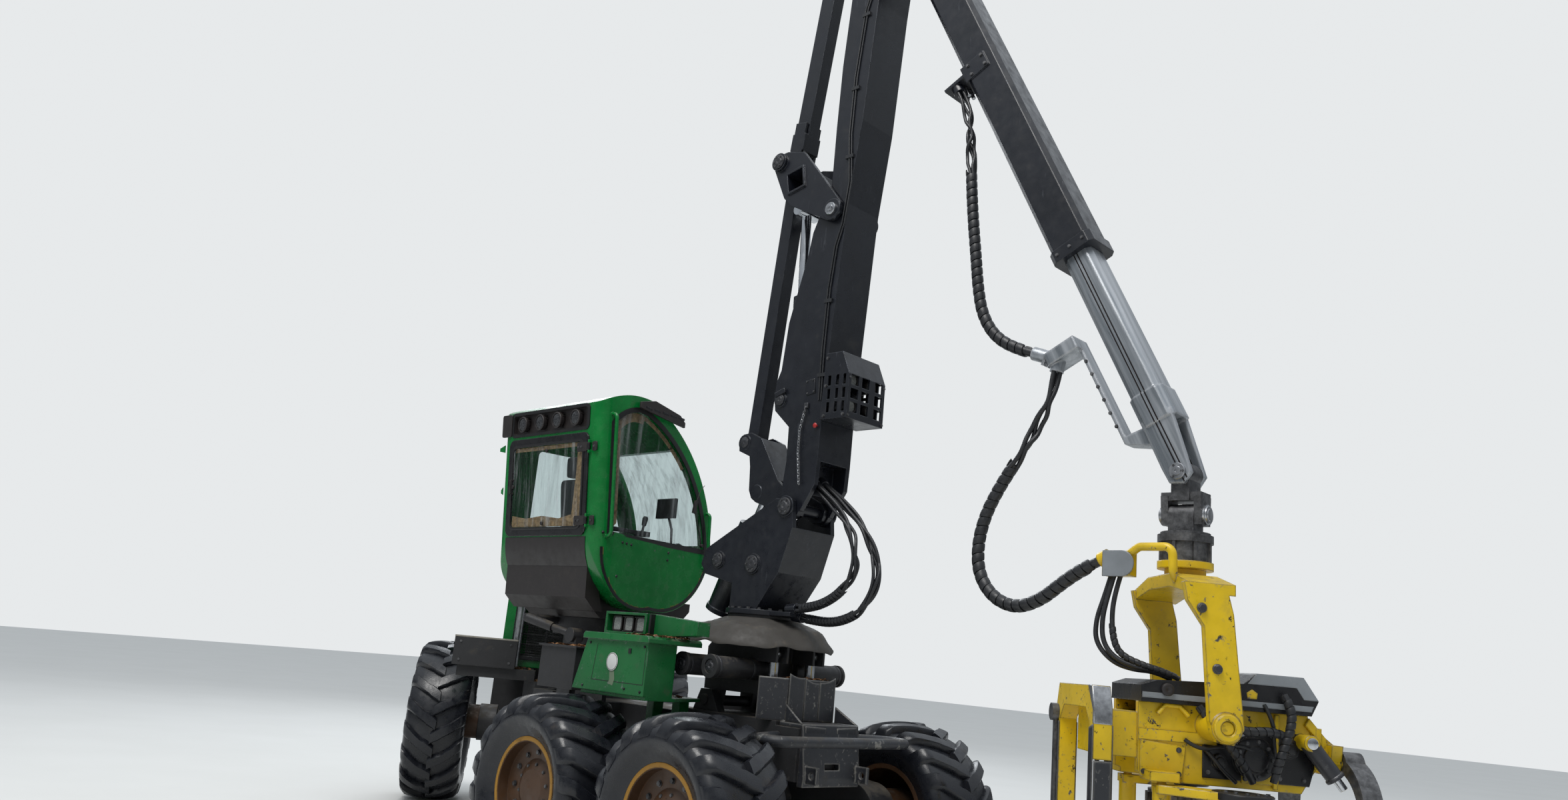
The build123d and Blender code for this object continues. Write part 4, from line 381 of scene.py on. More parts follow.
stick_steel = guided_steel()
tip_steel = polished("tip_steel", (0.17, 0.17, 0.175), 0.4, (1, 1, 1), 0.4, 0.1, 0.8)
tooth_steel = polished("tooth_steel", (0.2, 0.18, 0.16), 0.42, (1, 1, 1), 0.4, 0.12, 0.8)
cast_iron = polished("cast_iron", (0.14, 0.14, 0.14), 0.6, (1, 1, 1), 0.6, 0.1, 0.6)


def window_glass():
    """A clear pane with dust streaks and a painted reflection of the wood: dark trunk streaks and pale gaps painted
    into its colour. Only faces that look outwards shine
    """
    w = Wires("window_glass")
    streaks = w.noise(16, 6, 0.7, stretch=(6, 1, 0.28))
    veil = w.times(w.steps(streaks, 0.5, 0.74), w.steps(w.noise(1.4, 4), 0.3, 0.65), clamp=True)
    veil = w.times(w.plus(veil, 0.1), 0.26)
    clear = w.add("ShaderNodeBsdfTransparent", {"Color": (0.9, 0.94, 0.94)})
    # Painted reflection: stretched noise paints the wood's dark trunk streaks and pale gaps into the glass's colour
    painted_trunk_reflection = w.noise(5.5, 3, 0.6, stretch=(3, 1.6, 0.12))
    tone = w.mix(w.steps(painted_trunk_reflection, 0.5, 0.68), (0.1, 0.11, 0.115), (0.46, 0.49, 0.51))
    w.set(Base_Color=tone, Roughness=0.06, Specular_IOR_Level=0.25)
    fresnel = w.add("ShaderNodeLayerWeight", {"Blend": 0.28}).outputs["Fresnel"]
    # How much of the painted reflection shows: a little at grazing angles, more along its pale streaks
    painted_reflection_share = w.plus(w.times(fresnel, 0.4), w.steps(painted_trunk_reflection, 0.46, 0.7, 0.05, 0.36))
    share = w.plus(painted_reflection_share, veil, clamp=True)
    share = w.times(share, w.maths("SUBTRACT", 1.0, w.geometry["Backfacing"]))
    both = w.add("ShaderNodeMixShader", {0: share, 1: clear.outputs[0], 2: w.shader.outputs[0]})
    w.feed(w.tree.nodes["Material Output"].inputs["Surface"], both.outputs[0])
    return w.material


glass = window_glass()
lens = Wires("lamp_lens")
ridges = lens.cells(160)
lens.bump(ridges, 0.5, 0.002)
lens_material = lens.set(Base_Color=lens.mix(lens.steps(ridges, 0.0, 0.6), (0.46, 0.46, 0.42), (0.2, 0.21, 0.21)),
    Roughness=0.12)
cloth = Wires("seat_cloth")
weave = cloth.noise(260, 2)
cloth.bump(weave, 0.4, 0.001)
seat_cloth = cloth.set(Base_Color=cloth.mix(weave, (0.016, 0.016, 0.018), (0.04, 0.04, 0.044)), Roughness=0.85,
    Sheen_Weight=0.3)

# %% Finish of every carried-over part
FINISHES = {
    "frame_paint": frame_paint, "green_paint": green_paint, "crane_paint": crane_paint, "guard_steel": guard_steel,
    "rim_paint": rim_paint,
    "tyre": tyre_rubber,
    "worn_steel": tip_steel,
    "chrome": chrome,
    "head_yellow": head_yellow,
    "rubber": hose_rubber, "mat_rubber": mat_rubber, "black_plastic": black_plastic, "glass": glass,
    "lamp_glass": lens_material, "seat_fabric": seat_cloth, "cast_block": cast_iron, "cover_black": cover_black,
    "tooth_steel": tooth_steel,
}
BY_HAND = {"side_boxes": box_green, "extension": stick_steel}
for row in frame["record"]["subparts"]:
    node = nodes[row["node"]]
    node.data.materials.clear()
    node.data.materials.append(BY_HAND.get(row["node"], FINISHES[row["material_slot"]]))

# %% [markdown]
# Most pieces are built from a few plain forms: boxes, turned profiles, rods and swept pipes. This
# helper collects them in one mesh, so that a whole bracket or lamp becomes one object. When it is
# finished the doubles are merged, the normals turned outwards, a small bevel softens the edges,
# and faces that meet at a shallow angle are shaded smooth.


# %% Mesh helper
MERGE_BELOW = 1e-5
BEVEL_FROM = math.radians(35)


def mesh_from(shape, name, outwards=True):
    """The plain mesh of a working mesh, which it frees"""
    if outwards:
        bmesh.ops.recalc_face_normals(shape, faces=shape.faces)
    data = bpy.data.meshes.new(name)
    shape.to_mesh(data)
    shape.free()
    return data


class Shape:
    """A mesh that grows by simple forms and then becomes one piece on one body."""

    def __init__(self):
        self.mesh = bmesh.new()

    def faces(self, points, loops):
        made = [self.mesh.verts.new(p) for p in points]
        for loop in loops:
            if len(set(loop)) == len(loop):
                self.mesh.faces.new([made[i] for i in loop])
        return self

    def box(self, low, high, place=Matrix()):
        corners = [place @ Vector((x, y, z)) for x in (low[0], high[0]) for y in (low[1], high[1])
            for z in (low[2], high[2])]
        return self.faces(corners, [(0, 1, 3, 2), (4, 6, 7, 5), (0, 4, 5, 1), (2, 3, 7, 6), (0, 2, 6, 4),
            (1, 5, 7, 3)])

    def slab(self, outline, shift):
        """A flat outline of points in space, thickened by the vector shift"""
        outline = [Vector(p) for p in outline]
        count = len(outline)
        points = outline + [p + Vector(shift) for p in outline]
        sides = [(i, (i + 1) % count, (i + 1) % count + count, i + count) for i in range(count)]
        return self.faces(points, [tuple(range(count))[::-1], tuple(range(count, 2 * count))] + sides)

    def flat(self, y, thick, outline):
        """A plate that faces sideways: its outline in x and z, its place y and its thickness"""
        return self.slab([(x, y, z) for x, z in outline], (0, thick, 0))

    def lathe(self, start, axis, profile, sides=32, hollow=False):
        """Turns a profile of (distance along the axis, radius) points; a hollow one closes on itself"""
        turn = Vector(axis).normalized().to_track_quat("Z", "Y").to_matrix()
        points, loops = [], []
        for along, radius in profile:
            wide = max(radius, 1e-5)
            for k in range(sides):
                a = 2 * math.pi * k / sides
                points.append(Vector(start) + turn @ Vector((wide * math.cos(a), wide * math.sin(a), along)))
        for row in range(len(profile) if hollow else len(profile) - 1):
            below, top = row * sides, (row + 1) % len(profile) * sides
            for k in range(sides):
                n = (k + 1) % sides
                loops.append((below + k, below + n, top + n, top + k))
        if not hollow:
            last = (len(profile) - 1) * sides
            loops += [tuple(range(sides))[::-1], tuple(range(last, last + sides))]
        return self.faces(points, loops)

    def rod(self, start, end, radius, sides=20, soft=0.0):
        length = (Vector(end) - Vector(start)).length
        edge = min(soft, radius * 0.6, length * 0.4)
        rows = [(0, radius), (length, radius)]
        if edge:
            rows = [(0, radius - edge), (edge, radius), (length - edge, radius), (length, radius - edge)]
        return self.lathe(start, Vector(end) - Vector(start), rows, sides)

    def tube(self, points, radius, sides=12, flat=None):
        """Sweeps a round or flattened section along points. radius may be one number or one per point"""
        points = [Vector(p) for p in points]
        radii = radius if isinstance(radius, (list, tuple)) else [radius] * len(points)
        ring, loops = [], []
        for (point, across, over), r in zip(frames_along(points, flat), radii):
            wide, thick = r if isinstance(r, (list, tuple)) else (r, r)
            for k in range(sides):
                a = 2 * math.pi * k / sides
                ring.append(point + across * wide * math.cos(a) + over * thick * math.sin(a))
        for row in range(len(points) - 1):
            for k in range(sides):
                n = (k + 1) % sides
                loops.append((row * sides + k, row * sides + n, (row + 1) * sides + n, (row + 1) * sides + k))
        last = (len(points) - 1) * sides
        loops += [tuple(range(sides))[::-1], tuple(range(last, last + sides))]
        return self.faces(ring, loops)

    def moved(self, place):
        self.mesh.transform(place)
        return self

    def finish(self, name, material, body, bevel=0.0, smooth=40, slot=None):
        bmesh.ops.remove_doubles(self.mesh, verts=self.mesh.verts, dist=MERGE_BELOW)
        data = mesh_from(self.mesh, name)
        made = placed(name, data)
        data.materials.append(material)
        data.shade_smooth()
        data.set_sharp_from_angle(angle=math.radians(smooth))
        if bevel:
            modifier = made.modifiers.new("soft edge", "BEVEL")
            modifier.width = bevel
            modifier.segments = 2
            modifier.limit_method = "ANGLE"
            modifier.angle_limit = BEVEL_FROM
        if body:
            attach(made, body)
        return made


def frames_along(points, over=None):
    """A point, a sideways and an upward direction at each step, carried along without twist"""
    rows = []
    side = None
    for k, point in enumerate(points):
        tangent = (points[min(k + 1, len(points) - 1)] - points[max(k - 1, 0)]).normalized()
        if over is not None:
            side = tangent.cross(Vector(over)).normalized()
        elif side is None:
            side = tangent.orthogonal().normalized()
        else:
            side = (side - tangent * side.dot(tangent)).normalized()
        rows.append((point, side, tangent.cross(side)))
    return rows


def mm(*rows):
    return [tuple(v / 1000 for v in row) for row in rows]


# %% [markdown]
# The free hoses. A harvester's hoses hang from the tip of one arm to the next with slack for every
# pose, and each route here is the same short list of points as the plain tube in the frame. A
# NURBS curve through such a list bends like a real hose. Nothing is rendered from the curve
# itself: its points guide separate strands, and where the real bundle is wrapped in a spiral
# guard, a band that winds round them.

# %% Hose routes
ROUTES = {
    "foot_hose_inner": mm((640, -80, 3060), (760, -84, 2975), (885, -88, 2870), (1000, -91, 2755), (1085, -97, 2630),
                          (1125, -103, 2500), (1100, -109, 2380), (1020, -114, 2270), (900, -119, 2190),
                          (750, -123, 2140), (600, -126, 2125)),
    "foot_hose_outer": mm((640, 20, 3070), (775, 14, 2985), (905, 6, 2895), (1030, -2, 2790), (1140, -10, 2665),
                          (1225, -18, 2525), (1262, -26, 2380), (1235, -34, 2240), (1140, -42, 2130),
                          (1010, -48, 2065), (870, -52, 2040), (730, -54, 2048), (600, -55, 2062)),
    "stick_hose": mm((1803, -110, 5986), (1876, -110, 5840), (1912, -110, 5660), (1932, -110, 5460),
                     (1950, -112, 5250), (1972, -114, 5040), (1998, -112, 4830), (2026, -108, 4620),
                     (2050, -102, 4410), (2090, -94, 4215), (2185, -84, 4050), (2335, -72, 3940), (2500, -60, 3880)),
    "head_hose": mm((2675, -62, 3730), (2650, -72, 3590), (2600, -84, 3440), (2515, -98, 3270), (2410, -114, 3110),
                    (2310, -128, 2950), (2230, -142, 2780), (2194, -156, 2590), (2222, -172, 2400),
                    (2345, -188, 2250), (2530, -202, 2185), (2715, -216, 2240), (2865, -228, 2345),
                    (3000, -240, 2425), (3130, -250, 2480)),
}


def smooth_route(points):
    curve = bpy.data.curves.new("route", "CURVE")
    curve.dimensions = "3D"
    curve.resolution_u = 10
    spline = curve.splines.new("NURBS")
    spline.points.add(len(points) - 1)
    for place, point in zip(spline.points, points):
        place.co = (*point, 1)
    spline.order_u = 3
    spline.use_endpoint_u = True
    guide = placed("route", curve)
    bpy.context.view_layer.update()
    line = bpy.data.meshes.new_from_object(guide.evaluated_get(bpy.context.evaluated_depsgraph_get()))
    found = [v.co.copy() for v in line.vertices]
    bpy.data.objects.remove(guide)
    bpy.data.meshes.remove(line)
    return found


def length_of(points):
    return sum((b - a).length for a, b in zip(points, points[1:]))


routes = {name: smooth_route(points) for name, points in ROUTES.items()}
for name, line in routes.items():
    print(name, "length", round(length_of(line), 3), "points", len(line))


# %% Strands and spiral guards
def strands(shape, line, spots, radius, start=0.0, end=1.0, drift=0.35, seed=1):
    """Round hoses side by side: spots are (across, over) places in the bundle, in metres"""
    rng = random.Random(seed)
    rows = frames_along(line)
    first, last = int(start * (len(rows) - 1)), int(end * (len(rows) - 1))
    for across, over in spots:
        phase, pace = rng.uniform(0, 6.3), rng.uniform(1.2, 2.2)
        path = []
        for k in range(first, last + 1):
            point, side, up = rows[k]
            share = (k - first) / max(1, last - first)
            swing = math.sin(math.pi * share)
            a = drift * swing * math.sin(phase + pace * 6.3 * share)
            wide = across * math.cos(a) - over * math.sin(a)
            high = across * math.sin(a) + over * math.cos(a)
            path.append(point + side * wide + up * high)
        shape.tube(path, radius, 12)


def guard(shape, line, radius, start, end, pitch, thick, overlap=0.86):
    """A band that winds round the bundle, with a narrow groove between its turns"""
    rows = frames_along(line)
    first, last = int(start * (len(rows) - 1)), int(end * (len(rows) - 1))
    kept = rows[first:last + 1]
    far = [0.0]
    for (a, _, _), (b, _, _) in zip(kept, kept[1:]):
        far.append(far[-1] + (b - a).length)
    steps_each = 20
    count = int(far[-1] / pitch * steps_each)
    points, loops, k = [], [], 0
    for n in range(count + 1):
        along = far[-1] * n / count
        while k < len(far) - 2 and far[k + 1] < along:
            k += 1
        share = (along - far[k]) / (far[k + 1] - far[k])
        point = kept[k][0].lerp(kept[k + 1][0], share)
        side = kept[k][1].lerp(kept[k + 1][1], share).normalized()
        up = kept[k][2].lerp(kept[k + 1][2], share).normalized()
        tangent = side.cross(up).normalized()
        a = 2 * math.pi * n / steps_each
        out = side * math.cos(a) + up * math.sin(a)
        half = pitch * overlap / 2
        crest = ((-half * 0.55, thick * 0.25), (half * 0.55, thick * 0.25))
        for shift, lift in ((-half, -thick), (-half, 0), *crest, (half, 0), (half, -thick)):
            points.append(point + tangent * shift + out * (radius + lift))
    for n in range(count):
        for j in range(5):
            loops.append((n * 6 + j, n * 6 + j + 1, n * 6 + 7 + j, n * 6 + 6 + j))
        loops.append((n * 6 + 5, n * 6, n * 6 + 6, n * 6 + 11))
    loops += [tuple(range(6))[::-1], tuple(range(count * 6, count * 6 + 6))]
    shape.faces(points, loops)


THIN = 0.0125
FOOT_SPOTS = ((-0.0225, -0.004), (0.0225, 0.002), (0.004, 0.0225), (-0.003, -0.0225))
hoses = {}
for name, seed in (("foot_hose_inner", 3), ("foot_hose_outer", 8)):
    bundle = Shape()
    strands(bundle, routes[name], FOOT_SPOTS, THIN, drift=1.7, seed=seed)
    guard(bundle, routes[name], 0.035, 0.72, 0.985, 0.03, 0.004)
    hoses[name] = bundle.finish(name + "_run", hose_rubber, "boom", slot="rubber")
bundle = Shape()
STICK_SPOTS = ((-0.02, -0.018), (0.02, -0.018), (0, 0.022), (-0.022, 0.02))
strands(bundle, routes["stick_hose"], STICK_SPOTS, THIN, 0, 0.36, drift=1.2, seed=5)
strands(bundle, routes["stick_hose"], ((0, 0),), 0.03, 0.33, 1.0)
guard(bundle, routes["stick_hose"], 0.0395, 0.3, 0.985, 0.062, 0.009)
hoses["stick_hose"] = bundle.finish("stick_hose_run", hose_rubber, "extension", slot="rubber")
bundle = Shape()
strands(bundle, routes["head_hose"], ((-0.021, -0.016), (0.021, -0.016), (0, 0.021)), 0.0155, 0, 0.3, drift=1.0,
    seed=6)
strands(bundle, routes["head_hose"], ((0, 0),), 0.03, 0.27, 1.0)
guard(bundle, routes["head_hose"], 0.0395, 0.27, 0.985, 0.062, 0.009)
hoses["head_hose"] = bundle.finish("head_hose_run", hose_rubber, "extension", slot="rubber")
for name, made in hoses.items():
    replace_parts(made, name)
print("hoses", len(hoses))

# %% [markdown]
# Forestry tyres carry thick curved lugs in a herringbone, one row each side, that meet in steps at
# the middle. One pair of lugs is modelled as a soft grid that follows the tyre's crown and runs
# down over its shoulder. Geometry Nodes then repeats the pair round the axle, which keeps the
# count and the radius as two numbers, and the same tree serves all six tyres.


# %% One pair of lugs and the carcass
def crown(across, half, radius, drop):
    """The tread's radius at a distance from the middle plane"""
    share = min(abs(across) / half, 1.0)
    return radius - drop * share ** 2.4


def lug_pair(radius, half, height, pitch):
    shape = bmesh.new()
    for side in (1, -1):
        rows, offset = [], 0.0 if side > 0 else pitch / 2
        for k in range(15):
            share = k / 14
            across = (-0.07 + 1.06 * share) * half
            along = 0.085 - 0.235 * share ** 0.85 + 0.03 * math.sin(share * 3.1)
            wide = 0.046 + 0.018 * share + (0.01 if share < 0.3 else 0)
            low = crown(across, half, radius, 0.055) - height
            top = crown(across, half, radius, 0.05) - 0.006 * abs(share - 0.5)
            if share > 0.86:
                fold = (share - 0.86) / 0.14
                across = half * (0.84 + 0.15 * math.sin(fold * 1.57))
                low -= 0.055 * fold
                top -= 0.075 * fold ** 1.5
            row = []
            for shift, lift in ((-1.25, 0), (-1.0, 0.72), (-0.8, 0.98), (0, 1.0), (0.78, 0.98), (0.98, 0.74),
                    (1.12, 0)):
                r = low + (top - low) * lift
                angle = (along + shift * wide + offset) / radius
                row.append(shape.verts.new((r * math.sin(angle), side * across, r * math.cos(angle))))
            rows.append(row)
        for first, second in zip(rows, rows[1:]):
            for j in range(6):
                shape.faces.new((first[j], first[j + 1], second[j + 1], second[j]))
        for row in (rows[0], rows[-1]):
            shape.faces.new(row)
        for first, second in zip(rows, rows[1:]):
            shape.faces.new((first[0], second[0], second[6], first[6]))
    return mesh_from(shape, "lug")


def carcass(radius, half, height, rim):
    base = radius - height
    bead = half - 0.095
    rows = [(-bead, rim), (-bead, rim + 0.022), (-bead - 0.016, rim + 0.024), (-bead - 0.03, rim + 0.05),
        (-half + 0.03, rim + 0.1), (-half + 0.004, (rim + base) / 2), (-half + 0.006, base - 0.11),
        (-half + 0.022, base - 0.062)]
    rows += [(y * half, crown(y * half, half, base, 0.055)) for y in (-0.84, -0.6, -0.3)]
    rows += [(0, base)] + [(-y, r) for y, r in rows[::-1]]
    shape = bmesh.new()
    sides = 108
    rings = []
    for y, r in rows:
        rings.append([shape.verts.new((r * math.sin(2 * math.pi * k / sides), y,
            r * math.cos(2 * math.pi * k / sides))) for k in range(sides)])
    for first, second in zip(rings, rings[1:] + rings[:1]):
        for k in range(sides):
            n = (k + 1) % sides
            shape.faces.new((first[k], first[n], second[n], second[k]))
    return mesh_from(shape, "carcass")


# %% Geometry Nodes: repeat round the axle
def ring_tree():
    tree, given = group("round_the_axle", Pattern="Object", Count="Int", Material="Material")
    points = tree.add("GeometryNodePoints", {"Count": given["Count"]})
    step = tree.maths("DIVIDE", 2 * math.pi, given["Count"])
    angle = tree.times(tree.add("GeometryNodeInputIndex").outputs[0], step)
    source = tree.add("GeometryNodeObjectInfo", {"Object": given["Pattern"]})
    instance = tree.add("GeometryNodeInstanceOnPoints", {
        "Points": points.outputs[0], "Instance": source.outputs["Geometry"],
        "Rotation": tree.add("ShaderNodeCombineXYZ", {"Y": angle}).outputs[0]})
    join = tree.add("GeometryNodeJoinGeometry", {0: given["Geometry"]})
    tree.feed(join.inputs[0], tree.add("GeometryNodeRealizeInstances", {0: instance.outputs[0]}).outputs[0])
    return tree.paint(join.outputs[0], given["Material"])


round_the_axle = ring_tree()


def with_nodes(mesh, tree, inputs, name):
    """Runs a node tree on a mesh and returns the plain mesh that it makes"""
    holder = placed("holder", mesh)
    modifier = holder.modifiers.new("nodes", "NODES")
    modifier.node_group = tree
    for item in tree.interface.items_tree:
        if item.item_type == "SOCKET" and item.in_out == "INPUT" and item.name in inputs:
            modifier[item.identifier] = inputs[item.name]
    bpy.context.view_layer.update()
    made = bpy.data.meshes.new_from_object(holder.evaluated_get(bpy.context.evaluated_depsgraph_get()))
    made.name = name
    bpy.data.objects.remove(holder)
    return made


# %% Six tyres
LUGS = 18
# Sizes: radius, half width, lug height, rim radius
SIZES = {"front": (0.68, 0.35, 0.05, 0.337), "rear": (0.815, 0.3, 0.05, 0.432)}
tyre_meshes = {}
for kind, (radius, half, height, rim_radius) in SIZES.items():
    lug = placed("lug", lug_pair(radius, half, height, 2 * math.pi * radius / LUGS))
    tyre_meshes[kind] = with_nodes(carcass(radius, half, height, rim_radius), round_the_axle,
        {"Pattern": lug, "Count": LUGS, "Material": tyre_rubber}, "tyre_" + kind)
    bpy.data.objects.remove(lug)
    print("tyre", kind, "faces", len(tyre_meshes[kind].polygons))

REAR_TURN = Matrix.Translation((-2.5, 0, 0)) @ Matrix.Rotation(math.radians(-35), 4, "Z")
# Wheel: place along the frame, side, size, frame
WHEELS = {
    "front_left": (0.75, 1, "front", Matrix()), "front_right": (0.75, -1, "front", Matrix()),
    "middle_left": (-0.75, 1, "front", Matrix()), "middle_right": (-0.75, -1, "front", Matrix()),
    "rear_left": (-2.0, 1, "rear", REAR_TURN), "rear_right": (-2.0, -1, "rear", REAR_TURN),
}


def wheel_place(name):
    x, side, kind, base = WHEELS[name]
    return base @ Matrix.Translation((x, side * 1.13, SIZES[kind][0]))


for number, name in enumerate(WHEELS):
    kind = WHEELS[name][2]
    data = tyre_meshes[kind].copy()
    data.transform(wheel_place(name) @ Matrix.Rotation(math.radians(7 * number), 4, "Y"))
    made = placed("tyre_with_lugs_" + name, data)
    data.shade_smooth()
    data.set_sharp_from_angle(angle=math.radians(38))
    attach(made, "wheel_" + name)
    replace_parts(made, "tyre_" + name)

# %% [markdown]
# Bolt heads are the smallest thing that repeats. Each step below lists where its bolts sit and
# which way they face, and one tree sets a washer and a six-sided head on each place, turned at
# random as hand-tightened bolts are. All the bolts of one body end as a single mesh.


# %% Geometry Nodes: bolt heads
def bolt_tree():
    tree, given = group("bolt_heads", Radius="Float", Seed="Int", Material="Material")
    facing = tree.add("GeometryNodeInputNamedAttribute", {"Name": "facing"}, data_type="FLOAT_VECTOR").outputs[0]
    size = tree.add("GeometryNodeInputNamedAttribute", {"Name": "size"}, data_type="FLOAT").outputs[0]
    align = tree.add("FunctionNodeAlignRotationToVector", {"Vector": facing}, axis="Z")
    spin = tree.add("FunctionNodeRandomValue", {3: 6.283, "Seed": given["Seed"]})
    euler = tree.add("ShaderNodeCombineXYZ", {"Z": spin.outputs[1]})
    turned = tree.add("FunctionNodeEulerToRotation", {0: euler.outputs[0]})
    turns = {0: align.outputs[0], 1: turned.outputs[0]}
    rotate = tree.add("FunctionNodeRotateRotation", turns, rotation_space="LOCAL")
    join = tree.add("GeometryNodeJoinGeometry")
    for vertices, radius, depth, middle in ((12, 1.25, 0.28, 0.14), (6, 1.0, 0.75, 0.6)):
        drum = tree.add("GeometryNodeMeshCylinder", {"Vertices": vertices, "Radius": radius, "Depth": depth})
        shift = {"Geometry": drum.outputs["Mesh"], "Translation": (0, 0, middle)}
        tree.feed(join.inputs[0], tree.add("GeometryNodeTransform", shift).outputs[0])
    instance = tree.add("GeometryNodeInstanceOnPoints", {
        "Points": given["Geometry"], "Instance": join.outputs[0], "Rotation": rotate.outputs[0],
        "Scale": tree.times(given["Radius"], size)})
    realize = tree.add("GeometryNodeRealizeInstances", {0: instance.outputs[0]})
    flat = tree.add("GeometryNodeSetShadeSmooth", {"Geometry": realize.outputs[0], "Shade Smooth": False})
    return tree.paint(flat.outputs[0], given["Material"])


bolt_heads = bolt_tree()
bolt_places = {}


def bolt(body, places, facing, size=0.012, finish=None):
    """Notes bolts for one body; they are made together at the end"""
    rows = bolt_places.setdefault((body, finish or tip_steel), [])
    rows += [(Vector(place), Vector(facing).normalized(), size) for place in places]


def ring(centre, facing, radius, count, start=0.0):
    """Places on a circle that faces one way"""
    turn = Vector(facing).normalized().to_track_quat("Z", "Y").to_matrix()
    angles = [start + 2 * math.pi * k / count for k in range(count)]
    return [Vector(centre) + turn @ Vector((radius * math.cos(a), radius * math.sin(a), 0)) for a in angles]


def make_bolts():
    for number, ((body, finish), rows) in enumerate(bolt_places.items()):
        data = bpy.data.meshes.new("bolt_places")
        data.from_pydata([tuple(place) for place, _, _ in rows], [], [])
        facing = data.attributes.new("facing", "FLOAT_VECTOR", "POINT")
        facing.data.foreach_set("vector", [c for _, way, _ in rows for c in way])
        size = data.attributes.new("size", "FLOAT", "POINT")
        size.data.foreach_set("value", [s for _, _, s in rows])
        mesh = with_nodes(data, bolt_heads, {"Radius": 1.0, "Seed": number, "Material": finish}, "bolts_" + body)
        piece = placed("bolts_" + body + "_" + str(number), mesh)
        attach(piece, body)
    return len(bolt_places)


# %% [markdown]
# The cab. Its green frame and its openings come from the frame's own solids. What makes it look
# like a cab is on the skin: black rubber round each window, hinge straps, brown paper that the
# driver taped inside the panes, lamps, a wiper and seams. Each piece is laid out in the plane of
# its panel, with one axis along the panel, one up it and one outwards.

# %% Cab planes
CAB_X = -1.9


def plane(origin, along, out):
    along, out = Vector(along).normalized(), Vector(out).normalized()
    up = out.cross(along)
    made = Matrix((along, up, out)).transposed().to_4x4()
    made.translation = Vector(origin)
    return made


REAR = plane((CAB_X, -0.74, 2.55), (1, 0, 0), (0, -1.17, -0.12))
LEFT = plane((-2.645, -0.56, 0), (-0.155, -1.28, 0), (-1.28, 0.155, 0))


# The cab's right side is flat up to BEND_Y and then leans in by SIDE_IN over the length SIDE_LONG
SIDE_X, BEND_Y, SIDE_IN, SIDE_LONG = -1.155, -0.56, 0.155, 1.28
SIDE_OUT = (0.99275, 0.12022, 0)


def right_skin(y, z, out=0.0):
    """A point on the cab's right side, from its place seen from the side"""
    if y < BEND_Y:
        return Vector((SIDE_X + out, y, z))
    return Vector((SIDE_X - SIDE_IN * (y - BEND_Y) / SIDE_LONG + SIDE_OUT[0] * out, y + SIDE_OUT[1] * out, z))


def left_skin(y, z, out=0.0):
    point = right_skin(y, z, out)
    return Vector((2 * CAB_X - point.x, point.y, point.z))


def arc(first, middle, last, steps=10):
    """Points on the circle through three points of a plane, without the last"""
    (ax, ay), (bx, by), (cx, cy) = first, middle, last
    d = 2 * (ax * (by - cy) + bx * (cy - ay) + cx * (ay - by))
    ux = ((ax ** 2 + ay ** 2) * (by - cy) + (bx ** 2 + by ** 2) * (cy - ay) + (cx ** 2 + cy ** 2) * (ay - by)) / d
    uy = ((ax ** 2 + ay ** 2) * (cx - bx) + (bx ** 2 + by ** 2) * (ax - cx) + (cx ** 2 + cy ** 2) * (bx - ax)) / d
    radius = math.hypot(ax - ux, ay - uy)
    start, mid, end = (math.atan2(y - uy, x - ux) for x, y in (first, middle, last))
    turn = (end - start) % (2 * math.pi)
    if (mid - start) % (2 * math.pi) > turn:
        turn -= 2 * math.pi
    return [(ux + radius * math.cos(start + turn * k / steps), uy + radius * math.sin(start + turn * k / steps))
        for k in range(steps)]


def round_box(low_u, high_u, low_v, high_v, radius, steps=6):
    """A rectangle with rounded corners, anticlockwise"""
    points = []
    for cu, cv, start in ((high_u - radius, high_v - radius, 0), (low_u + radius, high_v - radius, 90),
            (low_u + radius, low_v + radius, 180), (high_u - radius, low_v + radius, 270)):
        for k in range(steps + 1):
            a = math.radians(start + 90 * k / steps)
            points.append((cu + radius * math.cos(a), cv + radius * math.sin(a)))
    return points


def grown(outline, amount):
    """The outline moved outwards; it runs round anticlockwise or clockwise"""
    area = sum(a[0] * b[1] - b[0] * a[1] for a, b in zip(outline, outline[1:] + outline[:1]))
    amount = amount if area > 0 else -amount
    made = []
    for before, point, after in zip(outline[-1:] + outline[:-1], outline, outline[1:] + outline[:1]):
        e1 = Vector((point[0] - before[0], point[1] - before[1])).normalized()
        e2 = Vector((after[0] - point[0], after[1] - point[1])).normalized()
        n = Vector((e1.y + e2.y, -e1.x - e2.x))
        n = n.normalized() * min(1.6, 1 / max(0.3, n.normalized().dot(Vector((e1.y, -e1.x)))))
        made.append((point[0] + n.x * amount, point[1] + n.y * amount))
    return made


def band(shape, inner, outer, put, low, high, crown_by=0.0):
    """A raised strip between two outlines. put(u, v, out) places a point on the panel"""
    count = len(inner)
    middle = [((a[0] + b[0]) / 2, (a[1] + b[1]) / 2) for a, b in zip(inner, outer)]
    rows = [(inner, low), (inner, high), (middle, high + crown_by), (outer, high), (outer, low)]
    points = [put(u, v, out) for line, out in rows for u, v in line]
    loops = []
    for r in range(len(rows)):
        s = (r + 1) % len(rows)
        loops += [(r * count + k, r * count + (k + 1) % count, s * count + (k + 1) % count, s * count + k)
            for k in range(count)]
    shape.faces(points, loops)


def on(base):
    return lambda u, v, out: base @ Vector((u, v, out))


on_rear = on(REAR)


def sheet_of(shape, outline, put, out, thick):
    """A thin closed sheet on a panel"""
    count = len(outline)
    points = [put(u, v, out) for u, v in outline] + [put(u, v, out - thick) for u, v in outline]
    loops = [tuple(range(count)), tuple(range(count, 2 * count))[::-1]]
    loops += [(k, k + count, (k + 1) % count + count, (k + 1) % count) for k in range(count)]
    shape.faces(points, loops)


SIDE_WINDOW = ([(-0.6, 2.655)] + arc((-0.69, 3.56), (-0.54, 3.69), (-0.33, 3.71), 8) + arc((-0.33, 3.71), (0.2, 3.38),
    (0.575, 2.655), 24) + [(0.575, 2.655)])
print("side window points", len(SIDE_WINDOW))

